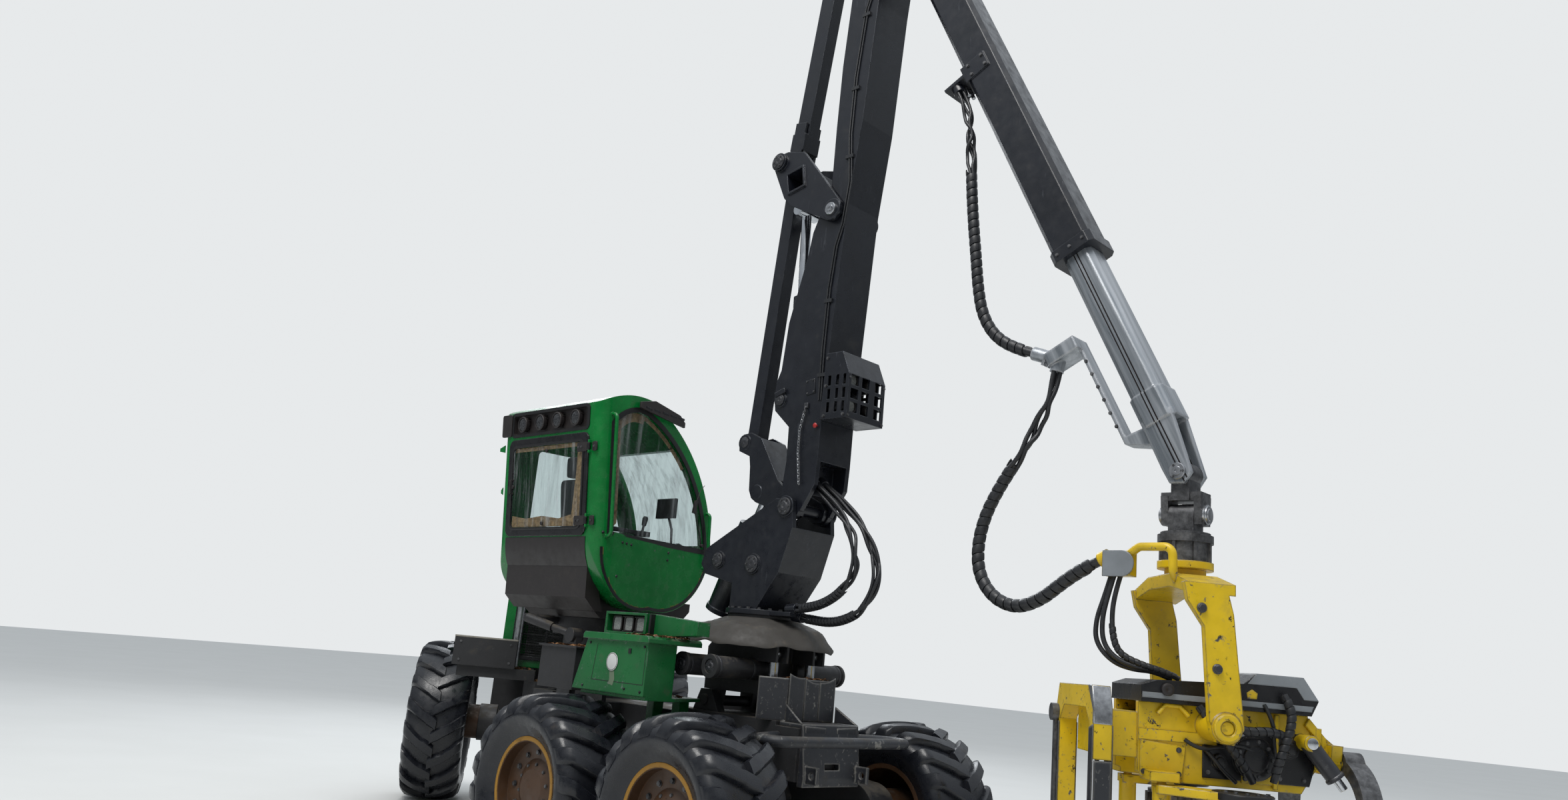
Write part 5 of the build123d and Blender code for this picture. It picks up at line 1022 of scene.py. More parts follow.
# %% Window rubber and seams
seals = Shape()
band(seals, grown(SIDE_WINDOW, -0.004), grown(SIDE_WINDOW, 0.04), right_skin, -0.004, 0.004, 0.002)
LEFT_WINDOW = [(y, z) for y, z in SIDE_WINDOW if y > 0.155] + [(0.155, 2.655), (0.155, 3.405)]
band(seals, LEFT_WINDOW, grown(LEFT_WINDOW, 0.03), left_skin, -0.004, 0.004, 0.002)
band(seals, round_box(-0.56, 0.56, 0.975, 1.15, 0.03), round_box(-0.592, 0.592, 0.95, 1.178, 0.05), on_rear, -0.004,
    0.007)
seals.finish("window_rubber", seal_rubber, "cab", smooth=50, slot="rubber")

hatch_seal = Shape()
band(hatch_seal, round_box(-0.523, 0.523, 0.134, 0.85, 0.05), round_box(-0.545, 0.545, 0.112, 0.872, 0.065), on_rear,
    0.013, 0.019, 0.003)
hatch_seal.finish("hatch_rubber", seal_rubber, "rear_hatch", smooth=50, slot="rubber")
door_seal = Shape()
band(door_seal, round_box(-0.573, -0.127, 2.772, 3.468, 0.05), round_box(-0.603, -0.097, 2.742, 3.498, 0.07),
    on(LEFT), 0.013, 0.018, 0.002)
door_seal.finish("door_rubber", seal_rubber, "cab_door", smooth=50, slot="rubber")
print("rubber strips made")

# %% Brown paper, inside the panes
paper_look = Wires("brown_paper")
folds = paper_look.times(paper_look.cells(26), paper_look.noise(15, 6, 0.7, warp=1.5))
paper_spots = paper_look.steps(paper_look.noise(30, 6), 0.35, 0.65)
paper_look.bump(folds, 0.9, 0.018)
brown_paper = paper_look.set(
    Base_Color=paper_look.mix(paper_spots, (0.25, 0.135, 0.06), (0.46, 0.28, 0.145)), Roughness=0.34)
paper = Shape()
sheet_of(paper, [(-0.515, 0.848), (-0.51, 0.812), (0.44, 0.812), (0.43, 0.6), (0.385, 0.235), (0.2, 0.205),
    (-0.05, 0.232), (-0.3, 0.212), (-0.515, 0.24), (-0.52, 0.138), (0.52, 0.138), (0.52, 0.848)], on_rear, 0.001,
    0.0015)
paper.finish("paper_in_hatch", brown_paper, "rear_hatch", smooth=30)
paper = Shape()
edge = grown(SIDE_WINDOW, -0.006)
inner = grown(SIDE_WINDOW, -0.085)
for k in range(0, 20):
    wide = 1.0 if k < 9 else 0.5
    quad = [edge[k], edge[k + 1], tuple(e + (i - e) * wide for e, i in zip(edge[k + 1], inner[k + 1])),
        tuple(e + (i - e) * wide for e, i in zip(edge[k], inner[k]))]
    sheet_of(paper, quad, right_skin, -0.031, 0.001)
paper.finish("paper_in_side_window", brown_paper, "cab", smooth=30)

# %% Black apron between the rear hatch and the belly
def apron_point(y, z, out):
    """A point of the cab's lower rear corner, moved out from the corner's own middle"""
    away = Vector((0, y, z)) - Vector((0, -0.1, 2.6))
    return (y + out * away.normalized().y, z + out * away.normalized().z)


corner = [(-0.745, 2.597)] + [p for p in arc((-0.74, 2.55), (-0.56, 2.19), (-0.05, 2.05), 24) if p[1] > 2.33]
section = [apron_point(*p, 0.005) for p in corner] + [apron_point(*p, 0.0008) for p in reversed(corner)]
apron = Shape()
sheet_of(apron, section, lambda y, z, x: Vector((CAB_X + x, y, z)), 0.6, 1.2)
apron.finish("belly_apron", black_plastic, "cab", smooth=40, slot="black_plastic")
print("apron points", len(corner))

# %% Hinge straps, pane buttons and work lamps in the recess
straps = Shape()
covers = Shape()
for v in (0.18, 0.8):
    for u0, u1, shape, low, height in ((0.455, 0.596, straps, 0.014, 0.011), (0.652, 0.712, covers, 0.0, 0.012)):
        outline = round_box(u0, u1, v - 0.04, v + 0.04, 0.014)
        sheet_of(shape, outline, on_rear, low + height, height)
    for u in (0.48, 0.52):
        bolt("rear_hatch", [REAR @ Vector((u, v, 0.025))], REAR.col[2].xyz, 0.009)
    bolt("cab", [REAR @ Vector((0.682, v, 0.012))], REAR.col[2].xyz, 0.009)
for u, v in ((0.0, 0.8), (-0.02, 0.165), (-0.5, 0.5)):
    straps.rod(on_rear(u, v, 0.0125), on_rear(u, v, 0.03), 0.017, 20, 0.004)
handle = [REAR @ Vector(p) for p in ((-0.5, 0.44, 0.016), (-0.5, 0.44, 0.05), (-0.5, 0.56, 0.05),
    (-0.5, 0.56, 0.016))]
straps.tube(handle, 0.009, 10)
straps.finish("hatch_straps", black_plastic, "rear_hatch", 0.002)
covers.finish("hinge_covers", black_plastic, "cab", 0.002)

recess = Shape()
band(recess, round_box(-0.556, 0.556, 0.979, 1.146, 0.02), round_box(-0.5595, 0.5595, 0.9755, 1.1495, 0.02), on_rear,
    -0.0305, 0.001)
sheet_of(recess, round_box(-0.5595, 0.5595, 0.9755, 1.1495, 0.02), on_rear, -0.0295, 0.002)
recess.finish("lamp_trough", black_plastic, "cab", slot="black_plastic")
housings, lenses = Shape(), Shape()
for u in (-0.4, -0.13, 0.13, 0.4):
    out = REAR.col[2].xyz
    centre = on_rear(u, 1.0625, -0.029)
    housings.lathe(centre, out, [(0, 0.05), (0.006, 0.062), (0.03, 0.07), (0.052, 0.071), (0.056, 0.067),
        (0.056, 0.059), (0.046, 0.057), (0.046, 0.0)], 28)
    lenses.lathe(centre, out, [(0.0465, 0.0), (0.0465, 0.056), (0.05, 0.056), (0.054, 0.04), (0.056, 0.018),
        (0.0565, 0.0)], 28)
    for k in range(7):
        a = math.radians(-60 + 20 * k)
        fin = REAR @ Matrix.Translation((u, 1.0625, -0.012)) @ Matrix.Rotation(a, 4, "Z")
        housings.box((-0.003, 0.06, -0.012), (0.003, 0.074, 0.02), fin)
housings.finish("work_lamp_bodies", black_plastic, "cab", 0.0, smooth=45, slot="black_plastic")
dark_lens = Wires("dark_lens")
dark_rings = dark_lens.cells(90)
dark_lens.bump(dark_rings, 0.6, 0.003)
dark_lens.set(Base_Color=dark_lens.mix(dark_lens.steps(dark_rings, 0.0, 0.5), (0.1, 0.105, 0.11),
    (0.022, 0.023, 0.026)), Roughness=0.08)
made = lenses.finish("work_lamp_lenses", dark_lens.material, "cab", smooth=45, slot="lamp_glass")
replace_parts(made, "cab_lamps")

# %% Corner box, brackets, wiper and panel fixings
trim = Shape()
sheet_of(trim, round_box(-0.735, -0.585, 0.965, 1.17, 0.02), on_rear, 0.018, 0.02)
trim.finish("recess_corner", black_plastic, "cab", 0.004)
brackets = Shape()
for v, length in ((0.86, 0.085), (0.47, 0.03)):
    brackets.slab([REAR @ Vector(p) for p in ((-0.735, v - 0.03, -0.03), (-0.735 - length, v - 0.015, -0.03),
        (-0.735 - length, v + 0.015, -0.03), (-0.735, v + 0.04, -0.03))], REAR.col[2].xyz * 0.008)
brackets.finish("mirror_brackets", green_paint, "cab", 0.002, slot="green_paint")

(Shape()
    .tube([right_skin(y, z, o) for y, z, o in ((0.52, 2.69, 0.014), (0.48, 2.76, 0.026), (0.395, 2.93, 0.03),
        (0.365, 3.01, 0.026), (0.372, 3.06, 0.022))], 0.0045, 8)
    .tube([right_skin(y, z, 0.026) for y, z in ((0.372, 3.06), (0.4, 3.12), (0.425, 3.19), (0.47, 3.235))], 0.003, 8)
    .rod(right_skin(0.52, 2.69, 0.004), right_skin(0.52, 2.69, 0.03), 0.016, 16, 0.003)
    .slab([right_skin(y, z, 0.014) for y, z in ((0.345, 2.965), (0.385, 2.96), (0.395, 3.075), (0.362, 3.08))],
        right_skin(0.4, 3, 0.02) - right_skin(0.4, 3, 0))
    .finish("window_wiper", black_plastic, "cab", 0.001, slot="black_plastic"))
bolt("cab", [right_skin(y, z) for y, z in ((-0.455, 2.585), (-0.405, 2.583), (-0.35, 2.58), (0.115, 2.572),
    (0.112, 2.506), (-0.48, 2.3))], SIDE_OUT, 0.009, cover_black)
bolt("cab", [Vector((-1.155, -0.68, z)) for z in (2.64, 3.56)], (1, 0, 0), 0.011, cover_black)

# %% Lower panel: black seal with a mossy edge
LOWER_EDGE = (arc((0.662, 2.64), (0.462, 2.216), (-0.05, 2.058), 16) + arc((-0.05, 2.058), (-0.53, 2.18),
    (-0.69, 2.52), 14) + [(-0.69, 2.52)])


def strip(shape, line, first, second, put, low, high):
    """A raised open strip beside a line: first and second are how far in its edges lie"""
    ins = []
    for k, point in enumerate(line):
        a, b = line[max(k - 1, 0)], line[min(k + 1, len(line) - 1)]
        t = Vector((b[0] - a[0], b[1] - a[1])).normalized()
        ins.append(Vector((t.y, -t.x)))
    rows = [(first, low), (first, high), (second, high), (second, low)]
    points = [put(p[0] + n.x * far, p[1] + n.y * far, out) for far, out in rows for p, n in zip(line, ins)]
    count = len(line)
    loops = [(r * count + k, r * count + k + 1, ((r + 1) % 4) * count + k + 1, ((r + 1) % 4) * count + k)
        for r in range(4) for k in range(count - 1)]
    loops += [tuple(r * count for r in range(4)), tuple(r * count + count - 1 for r in range(4))]
    shape.faces(points, loops)


moss = moulded("moss", (0.16, 0.17, 0.035), 0.8, 30, 0.6)
seam = Shape()
strip(seam, LOWER_EDGE, 0.0, 0.026, right_skin, -0.003, 0.003)
seam.finish("panel_seal", seal_rubber, "cab", slot="rubber")
growth = Shape()
rng = random.Random(4)
for k in range(len(LOWER_EDGE) - 1):
    if rng.random() < 0.62:
        a, b = LOWER_EDGE[k], LOWER_EDGE[k + 1]
        mid = tuple(x + (y - x) * rng.uniform(0.5, 0.95) for x, y in zip(a, b))
        strip(growth, [a, mid], 0.026, 0.026 + rng.uniform(0.003, 0.009), right_skin, -0.001, 0.0015)
growth.finish("panel_moss", moss, "cab")
print("cab skin pieces made")

# %% [markdown]
# The driver's seat is the one padded thing on the machine. A cushion is a crowned form: full in
# the middle, pulled in at its seams. Three coarse blocks are shaped here, and subdivision rounds
# them, which is enough for a seat that is seen through dusty glass.


# %% Seat
def cushion(name, low, high, lean=0.0, crown_by=0.03):
    low, high = Vector(low), Vector(high)
    grid = bmesh.new()
    bmesh.ops.create_cube(grid, size=1.0)
    bmesh.ops.subdivide_edges(grid, edges=grid.edges, cuts=5, use_grid_fill=True)
    thin = min(range(3), key=lambda a: (high - low)[a])
    for v in grid.verts:
        share = v.co.copy()
        others = [a for a in range(3) if a != thin]
        soft = math.cos(share[others[0]] * 2.6) * math.cos(share[others[1]] * 2.6)
        place = Vector([(low[a] + high[a]) / 2 + share[a] * (high[a] - low[a]) for a in range(3)])
        place[thin] += (1 if share[thin] > 0 else -1) * crown_by * (soft - 0.45) * (abs(share[thin]) > 0.2)
        place.y -= lean * (place.z - low.z)
        v.co = place
    data = mesh_from(grid, name, outwards=False)
    data.materials.append(seat_cloth)
    data.shade_smooth()
    made = placed(name, data)
    round_off = made.modifiers.new("round", "SUBSURF")
    round_off.levels = round_off.render_levels = 2
    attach(made, "cab")
    return made


cushion("seat_cushion", (CAB_X - 0.25, -0.42, 2.53), (CAB_X + 0.25, 0.09, 2.655), 0, 0.025)
cushion("seat_back", (CAB_X - 0.23, -0.43, 2.66), (CAB_X + 0.23, -0.31, 3.15), 0.17, 0.03)
cushion("head_rest", (CAB_X - 0.14, -0.51, 3.17), (CAB_X + 0.14, -0.42, 3.35), 0.1, 0.02)
stand = (Shape()
    .box((CAB_X - 0.17, -0.36, 2.245), (CAB_X + 0.17, -0.02, 2.3))
    .lathe((CAB_X, -0.19, 2.3), (0, 0, 1), [(0, 0.11), (0.05, 0.12), (0.1, 0.1), (0.15, 0.12), (0.21, 0.17)], 24))
for side in (-1, 1):
    stand.tube([(CAB_X + side * x, y, z) for x, y, z in ((0.2, -0.36, 2.6), (0.3, -0.36, 2.64), (0.31, -0.36, 2.72),
        (0.31, -0.2, 2.735))], 0.016, 12)
    stand.box((CAB_X + side * 0.31 - 0.045, -0.35, 2.725), (CAB_X + side * 0.31 + 0.045, 0.05, 2.755))
    stand.box((CAB_X + side * 0.31 - 0.055, 0.03, 2.715), (CAB_X + side * 0.31 + 0.055, 0.13, 2.76))
    stand.lathe((CAB_X + side * 0.31, 0.08, 2.76), (0, 0.15, 1), [(0, 0.012), (0.05, 0.011), (0.06, 0.022),
        (0.12, 0.027), (0.14, 0.018)], 16)
made = stand.finish("seat_stand", black_plastic, "cab", 0.004)
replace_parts(made, "cab_seat")
(Shape()
    .slab([(CAB_X + 0.5, y, z) for y, z in ((0.1, 2.42), (0.45, 2.42), (0.47, 2.62), (0.28, 2.68), (0.1, 2.6))],
        (0.1, 0, 0))
    .slab([(CAB_X - 0.12, 0.36, 2.26), (CAB_X + 0.12, 0.36, 2.26), (CAB_X + 0.1, 0.4, 2.72),
        (CAB_X - 0.1, 0.4, 2.72)], (0, 0.06, 0))
    .box((CAB_X + 0.3, 0.22, 2.9), (CAB_X + 0.56, 0.25, 3.08))
    .tube([(CAB_X + 0.52, 0.26, 2.62), (CAB_X + 0.5, 0.26, 2.8), (CAB_X + 0.43, 0.24, 2.98)], 0.012, 10)
    .finish("cab_desk", black_plastic, "cab", 0.006))

# %% [markdown]
# The wheels' ironwork. Each rim gets an orange lip, a ring of nuts on its disc and smaller bolts
# round the hub. Their distances from the wheel's middle plane come from the rim's own profile.

# %% Rims
lip_paint = worn_paint("lip_paint", (0.34, 0.17, 0.015), steel=(0.1, 0.05, 0.03), dirt=(0.05, 0.035, 0.025), wear=0.8,
    scratches=0.7, dust=0.8, rough=0.5, under=(0.09, 0.035, 0.015))
# Nut plane, hub bolt plane, lip plane and lip radius
RIMS = {"front": (0.1726, 0.189, 0.271, 0.359), "rear": (0.1192, 0.139, 0.221, 0.454)}
for name, (_, side, kind, _) in WHEELS.items():
    nuts_at, hub_at, lip_at, lip_radius = RIMS[kind]
    place = wheel_place(name)
    out = place.to_3x3() @ Vector((0, side, 0))
    centre = place.translation
    bolt("wheel_" + name, ring(centre + out * nuts_at, out, 0.25, 12), out, 0.017)
    bolt("wheel_" + name, ring(centre + out * hub_at, out, 0.165, 10, 0.2), out, 0.011)
    (Shape()
        .lathe(centre, out, [(lip_at - 0.016, lip_radius - 0.03), (lip_at + 0.003, lip_radius - 0.03),
            (lip_at + 0.006, lip_radius - 0.016), (lip_at + 0.003, lip_radius + 0.002),
            (lip_at - 0.01, lip_radius + 0.004)], 72, hollow=True)
        .finish("rim_lip_" + name, lip_paint, "wheel_" + name, slot="rim_paint"))

# %% [markdown]
# The crane's hinges. Every pin ends in a stepped cap, and most caps carry a rosette of bolts. The
# caps are turned from one profile. A row states the pin's place, its boss, the cap and the bolts.

# %% Pin caps
dark_steel = worn_paint("dark_steel", (0.03, 0.031, 0.036), steel=(0.2, 0.2, 0.21), wear=0.9, scratches=0.5, dust=0.3,
    rough=0.4)
bright_steel = polished("bright_steel", (0.46, 0.47, 0.49), 0.22, (1, 1, 1), 0.6, 0.04, 0.9)


def cap_profile(radius, thick):
    return [(0, radius), (thick * 0.55, radius), (thick * 0.7, radius * 0.93), (thick * 0.7, radius * 0.58),
        (thick, radius * 0.52), (thick, radius * 0.2), (thick * 0.8, radius * 0.16), (thick * 0.8, 0)]


# Body, pin place (x, z), face across the machine, cap radius, thickness, bolts, bolt size, finish
CAPS = (
    ("pillar", 0.5, 2.878, 0.254, 0.066, 0.022, 6, 0.008, dark_steel),
    ("pillar", -0.19, 2.47, 0.25, 0.056, 0.014, 6, 0.007, dark_steel),
    ("pillar", 0.2, 2.44, 0.252, 0.066, 0.014, 6, 0.008, dark_steel),
    ("lever", -0.13, 3.438, 0.144, 0.045, 0.0045, 0, 0, dark_steel),
    ("boom", 0.705, 5.258, 0.2435, 0.052, 0.03, 0, 0, bright_steel),
    ("link_plate", 0.075, 5.818, 0.265, 0.062, 0.016, 6, 0.008, dark_steel),
    ("boom", 0.29, 3.742, 0.202, 0.046, 0.014, 0, 0, dark_steel),
    ("boom", 1.01, 7.56, 0.206, 0.082, 0.018, 8, 0.009, dark_steel),
    ("extension", 3.53, 3.02, 0.112, 0.05, 0.024, 3, 0.006, bright_steel),
)
caps = {}
for body, x, z, face, radius, thick, count, size, finish in CAPS:
    shape = caps.setdefault((body, finish), Shape())
    for side in (-1, 1):
        shape.lathe((x, side * face, z), (0, side, 0), cap_profile(radius, thick), 32)
        if count:
            bolt(body, ring((x, side * (face + thick * 0.69), z), (0, side, 0), radius * 0.76, count), (0, side, 0),
                size)
for (body, finish), shape in caps.items():
    shape.finish("pin_caps_" + body + "_" + finish.name, finish, body, smooth=35)
cross = Shape()
for side in (-1, 1):
    cross.lathe((3.53 + side * 0.122, 0, 2.775), (side, 0, 0), [(0, 0.06), (0.014, 0.06), (0.016, 0.052),
        (0.022, 0.05), (0.022, 0.036), (0.027, 0.033), (0.027, 0.0)], 32)
cross.finish("cross_pin_caps", bright_steel, "tip_link", smooth=35)
print("cap bodies", len(caps))

# %% Boom: patch, keeper, cable line, hook and chain
BOOM_SIDE = -0.19
(Shape()
    .flat(BOOM_SIDE, -0.006, ((0.545, 3.87), (0.64, 3.885), (0.66, 3.765), (0.565, 3.75)))
    .flat(BOOM_SIDE - 0.012, -0.016, ((0.235, 3.8), (0.34, 3.835), (0.352, 3.795), (0.248, 3.762)))
    .finish("boom_patch", crane_paint, "boom", 0.003, slot="crane_paint"))
bolt("boom", [(x, BOOM_SIDE - 0.006, z) for x, z in ((0.565, 3.862), (0.628, 3.87), (0.643, 3.778), (0.578, 3.768))],
    (0, -1, 0), 0.007)
lines = Shape()
for k, y in enumerate((-0.196, -0.197)):
    shift = 0.026 * k
    lines.tube([(x + shift, y, z) for x, z in ((0.7, 3.7), (0.69, 4.1), (0.7, 4.6), (0.735, 4.95), (0.79, 5.13))]
        + [(x + shift, y, z) for x, z in ((0.83, 5.48), (0.79, 5.9), (0.8, 6.4), (0.86, 7.0), (0.95, 7.28))], 0.0075,
        8)
for x, z in ((0.706, 3.9), (0.712, 4.5), (0.812, 5.7), (0.815, 6.3), (0.87, 6.95)):
    lines.box((x - 0.035, -0.207, z - 0.014), (x + 0.045, -0.188, z + 0.014))
lines.finish("boom_cable_lines", hose_rubber, "boom", smooth=50)


def chain(shape, points, wire, link):
    """Flat and upright links in turn along a line"""
    line = [Vector(p) for p in points]
    total, k, turn = length_of(line), 0, 0
    count = int(total / (link * 1.45))
    for n in range(count):
        far = total * (n + 0.5) / count
        start = 0.0
        for a, b in zip(line, line[1:]):
            step = (b - a).length
            if start + step >= far:
                centre, way = a.lerp(b, (far - start) / step), (b - a).normalized()
                break
            start += step
        side = Vector((0, 1, 0)) if n % 2 else way.cross(Vector((0, 1, 0))).normalized()
        loop = []
        for j in range(13):
            a = 2 * math.pi * j / 12
            loop.append(centre + way * link * math.cos(a) + side * link * 0.62 * math.sin(a))
        shape.tube(loop, wire, 6)


links = Shape()
chain(links, [(0.579, -0.213, 3.62), (0.545, -0.213, 3.48), (0.548, -0.213, 3.3), (0.585, -0.213, 3.05)], 0.0036,
    0.015)
links.finish("boom_chain", bright_steel, "boom", smooth=60)
(Shape()
    .tube([(0.579, -0.205, 3.66), (0.579, -0.214, 3.64), (0.59, -0.214, 3.615), (0.578, -0.214, 3.6),
        (0.566, -0.214, 3.612)], 0.006, 8)
    .box((0.56, -0.205, 3.65), (0.6, -0.189, 3.69))
    .finish("chain_hook", dark_steel, "boom", 0.001))
(Shape()
    .lathe((0.7, -0.2, 3.5), (0, -1, 0), [(-0.01, 0.008), (0.004, 0.008), (0.006, 0.017), (0.014, 0.02),
        (0.02, 0.014), (0.022, 0.0)], 20)
    .finish("red_knob", moulded("red_plastic", (0.42, 0.012, 0.01), 0.35), "boom", smooth=60))

# %% Lamp cage: lenses, rims and bolts
cage = Shape()
lens_discs = Shape()
for y in (-0.11, 0.11):
    for z in (3.65, 3.85):
        cage.lathe((0.93, y, z), (1, 0, 0), [(0, 0.057), (0.026, 0.06), (0.03, 0.058), (0.03, 0.05), (0.0215, 0.048)],
            28, hollow=True)
        lens_discs.lathe((0.9505, y, z), (1, 0, 0), [(0, 0.05), (0.003, 0.048), (0.006, 0.03), (0.007, 0.0)], 28)
cage.finish("cage_lamp_rims", black_plastic, "boom", smooth=45, slot="black_plastic")
lens_discs.finish("cage_lamp_lenses", lens_material, "boom", smooth=60, slot="lamp_glass")
bolt("boom", [(x, -0.215, z) for x, z in ((0.782, 3.565), (0.782, 3.8), (0.782, 4.02), (0.975, 3.565))], (0, -1, 0),
    0.011)
bolt("boom", [(1.01, y, z) for y in (-0.2, 0.2) for z in (3.56, 3.85)], (1, 0, 0), 0.01)

# %% Stick clamp and ferrules
AXIS_S, AXIS_T = Vector((0.4462, 0, -0.8949)), Vector(STICK_ACROSS)
STICK = Matrix.Translation(STICK_AT) @ Matrix((AXIS_S, Vector((0, 1, 0)), AXIS_T)).transposed().to_4x4()


def on_stick(s, y, t):
    return STICK @ Vector((s, y, t))


clamp_s = (Vector((2.03, 0, 6.18)) - Vector(STICK_AT)).dot(AXIS_S)
bolt("stick", [on_stick(clamp_s + ds, -0.162, t) for ds, t in ((-0.045, -0.09), (0.045, -0.09), (-0.045, 0.035),
    (0.045, 0.035))], (0, -1, 0), 0.012)
ferrules = Shape()
for k in range(3):
    start = on_stick(clamp_s + 0.014, -0.06 + 0.03 * k, -0.21 - 0.035 * (k % 2))
    ferrules.rod(start, start + AXIS_S * 0.085, 0.015, 14, 0.002)
    ferrules.lathe(start - AXIS_S * 0.036, AXIS_S, [(0, 0.011), (0, 0.019), (0.024, 0.019), (0.024, 0.011)], 6)
ferrules.finish("stick_ferrules", bright_steel, "stick", 0.0)
bolt("extension", [on_stick(s, -0.06, -0.265) for s in (1.98, 2.08, 2.18, 2.28, 2.38, 2.48)], (0, -1, 0), 0.01)
bolt("stick", [on_stick(1.25, -0.164, t) for t in (-0.1, 0.0, 0.1)], (0, -1, 0), 0.01)
chrome_tips = Shape()
for k, y in enumerate((-0.1, -0.06, -0.015, 0.025)):
    start = on_stick(1.812, y, -0.484)
    chrome_tips.rod(start, start + Vector((-0.02, 0, -0.045)) * 1.2, 0.013, 12, 0.002)
chrome_tips.finish("hose_arm_ferrules", bright_steel, "extension", 0.0)

# %% [markdown]
# The front frame. The guard shield's steel is scraped, the slew cylinders end in turned rings, and
# needles and leaves lie wherever something is flat. The litter is one leaf, bent along its middle,
# which a node tree scatters over a list of rectangles with a fixed seed.


# %% Geometry Nodes: litter
def litter_tree():
    tree, given = group("litter", Leaf="Object", Density="Float", Seed="Int", Material="Material")
    seed = given["Seed"]
    spots = tree.add("GeometryNodeDistributePointsOnFaces", {
        "Mesh": given["Geometry"], "Density": given["Density"], "Seed": seed})
    limits = {0: (-0.5, -0.5, 0), 1: (0.5, 0.5, 6.28), "Seed": seed}
    spin = tree.add("FunctionNodeRandomValue", limits, data_type="FLOAT_VECTOR")
    size = tree.add("FunctionNodeRandomValue", {2: 0.5, 3: 1.5})
    source = tree.add("GeometryNodeObjectInfo", {"Object": given["Leaf"]})
    instance = tree.add("GeometryNodeInstanceOnPoints", {
        "Points": spots.outputs["Points"], "Instance": source.outputs["Geometry"],
        "Rotation": spin.outputs[0], "Scale": size.outputs[1]})
    realize = tree.add("GeometryNodeRealizeInstances", {0: instance.outputs[0]})
    return tree.paint(realize.outputs[0], given["Material"])


leaf_look = Wires("litter")
leaf_tint = leaf_look.mix(leaf_look.steps(leaf_look.noise(45, 3), 0.35, 0.62), (0.075, 0.03, 0.012),
    (0.26, 0.125, 0.045))
leaf_material = leaf_look.set(Base_Color=leaf_tint, Roughness=0.75)
leaf = bpy.data.meshes.new("leaf")
leaf.from_pydata([(-0.02, 0, 0.001), (-0.006, -0.009, 0.006), (0.01, -0.007, 0.007), (0.022, 0, 0.003),
    (0.01, 0.008, 0.008), (-0.006, 0.01, 0.006), (0.002, 0, 0.0025)], [],
    [(0, 1, 6), (1, 2, 6), (2, 3, 6), (3, 4, 6), (4, 5, 6), (5, 0, 6)])
leaf_object = placed("leaf", leaf)
litter = litter_tree()


def scatter(name, body, corners, density, seed, base=Matrix()):
    """Litter over rectangles: each is low x, high x, low y, high y, height"""
    shape = bmesh.new()
    for x0, x1, y0, y1, z in corners:
        corners_of = ((x0, y0, z), (x1, y0, z), (x1, y1, z), (x0, y1, z))
        shape.faces.new([shape.verts.new(base @ Vector(p)) for p in corners_of])
    data = mesh_from(shape, name, outwards=False)
    given = {"Leaf": leaf_object, "Density": density, "Seed": seed, "Material": leaf_material}
    mesh = with_nodes(data, litter, given, name)
    made = placed(name, mesh)
    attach(made, body)
    print(name, "faces", len(mesh.polygons))


scatter("litter_on_boxes", "front_frame", [(-0.25, 0.07, -1.07, -0.8, 1.826), (-0.1, 0.1, -0.95, -0.6, 1.826),
    (-0.62, -0.1, -0.66, -0.5, 1.402), (-1.46, -1.03, -0.88, -0.5, 1.706), (0.62, 0.7, -0.25, 0.25, 1.622)], 900.0, 3)
scatter("litter_on_rear", "rear_frame", [(-0.74, -0.63, -0.9, -0.25, 1.442), (-0.7, -0.5, -0.8, -0.25, 1.432),
    (-1.05, -0.5, -0.2, 0.2, 1.332)], 900.0, 5, REAR_TURN)
bpy.data.objects.remove(leaf_object)

# %% Slew cylinders' ends and the shield's edge
ends = Shape()
for x in (0.02, 0.325):
    for side in (-1, 1):
        ends.lathe((x, side * 0.688, 1.655), (0, side, 0), [(0, 0.049), (0.004, 0.049), (0.006, 0.043), (0.006, 0.03),
            (0.01, 0.028), (0.01, 0.012), (0.004, 0.01), (0.004, 0.0)], 32)
        for far in (0.3, 0.64):
            ends.lathe((x, side * far, 1.655), (0, side, 0), [(0, 0.0775), (0.002, 0.081), (0.018, 0.081),
                (0.02, 0.0775)], 40, hollow=True)
ends.finish("slew_cylinder_ends", dark_steel, "tilt_base", smooth=35)
bolt("tilt_base", [p for x in (0.02, 0.325) for p in ring((x, -0.6943, 1.655), (0, -1, 0), 0.0365, 6)], (0, -1, 0),
    0.0045)
bolt("tilt_base", [(0.345, y, z) for y in (-0.17, -0.1, 0.1, 0.17) for z in (1.52, 1.6)], (1, 0, 0), 0.014)
bolt("pillar", ring((0.13, 0, 2.1), (0, 0, 1), 0.27, 20), (0, 0, 1), 0.015)
bolt("front_frame", [(0.69, y, z) for y in (-0.22, 0.22) for z in (1.4, 1.54)], (1, 0, 0), 0.014)

# %% The crumpled mat
def ripple(a, b, seed):
    return (math.sin(5 * a + seed) * math.cos(3 * b - seed) + 0.6 * math.sin(11 * a - 2 * b + seed)
        + 0.4 * math.cos(17 * a + 7 * b)) / 2


mat = Shape()
points, loops = [], []
AROUND, OUTWARDS = 90, 12
for layer in (0.0, -0.012):
    for i in range(AROUND + 1):
        a = math.radians(-140 + 200 * i / AROUND)
        for j in range(OUTWARDS + 1):
            share = j / OUTWARDS
            rough_by = share * (1.0 - 0.35 * share)
            r = 0.282 + 0.288 * share + 0.02 * share * ripple(a, 2.0, 1.0)
            z = 2.04 - 0.07 * min(share / 0.65, 1) - 0.135 * max(0, share - 0.65) / 0.35 + 0.03 * rough_by * ripple(a,
                3 * share, 0.3) + layer
            points.append((0.13 + r * math.cos(a), r * math.sin(a), z))
size = (AROUND + 1) * (OUTWARDS + 1)
for i in range(AROUND):
    for j in range(OUTWARDS):
        k = i * (OUTWARDS + 1) + j
        quad = (k, k + OUTWARDS + 1, k + OUTWARDS + 2, k + 1)
        loops += [quad, tuple(size + q for q in quad[::-1])]
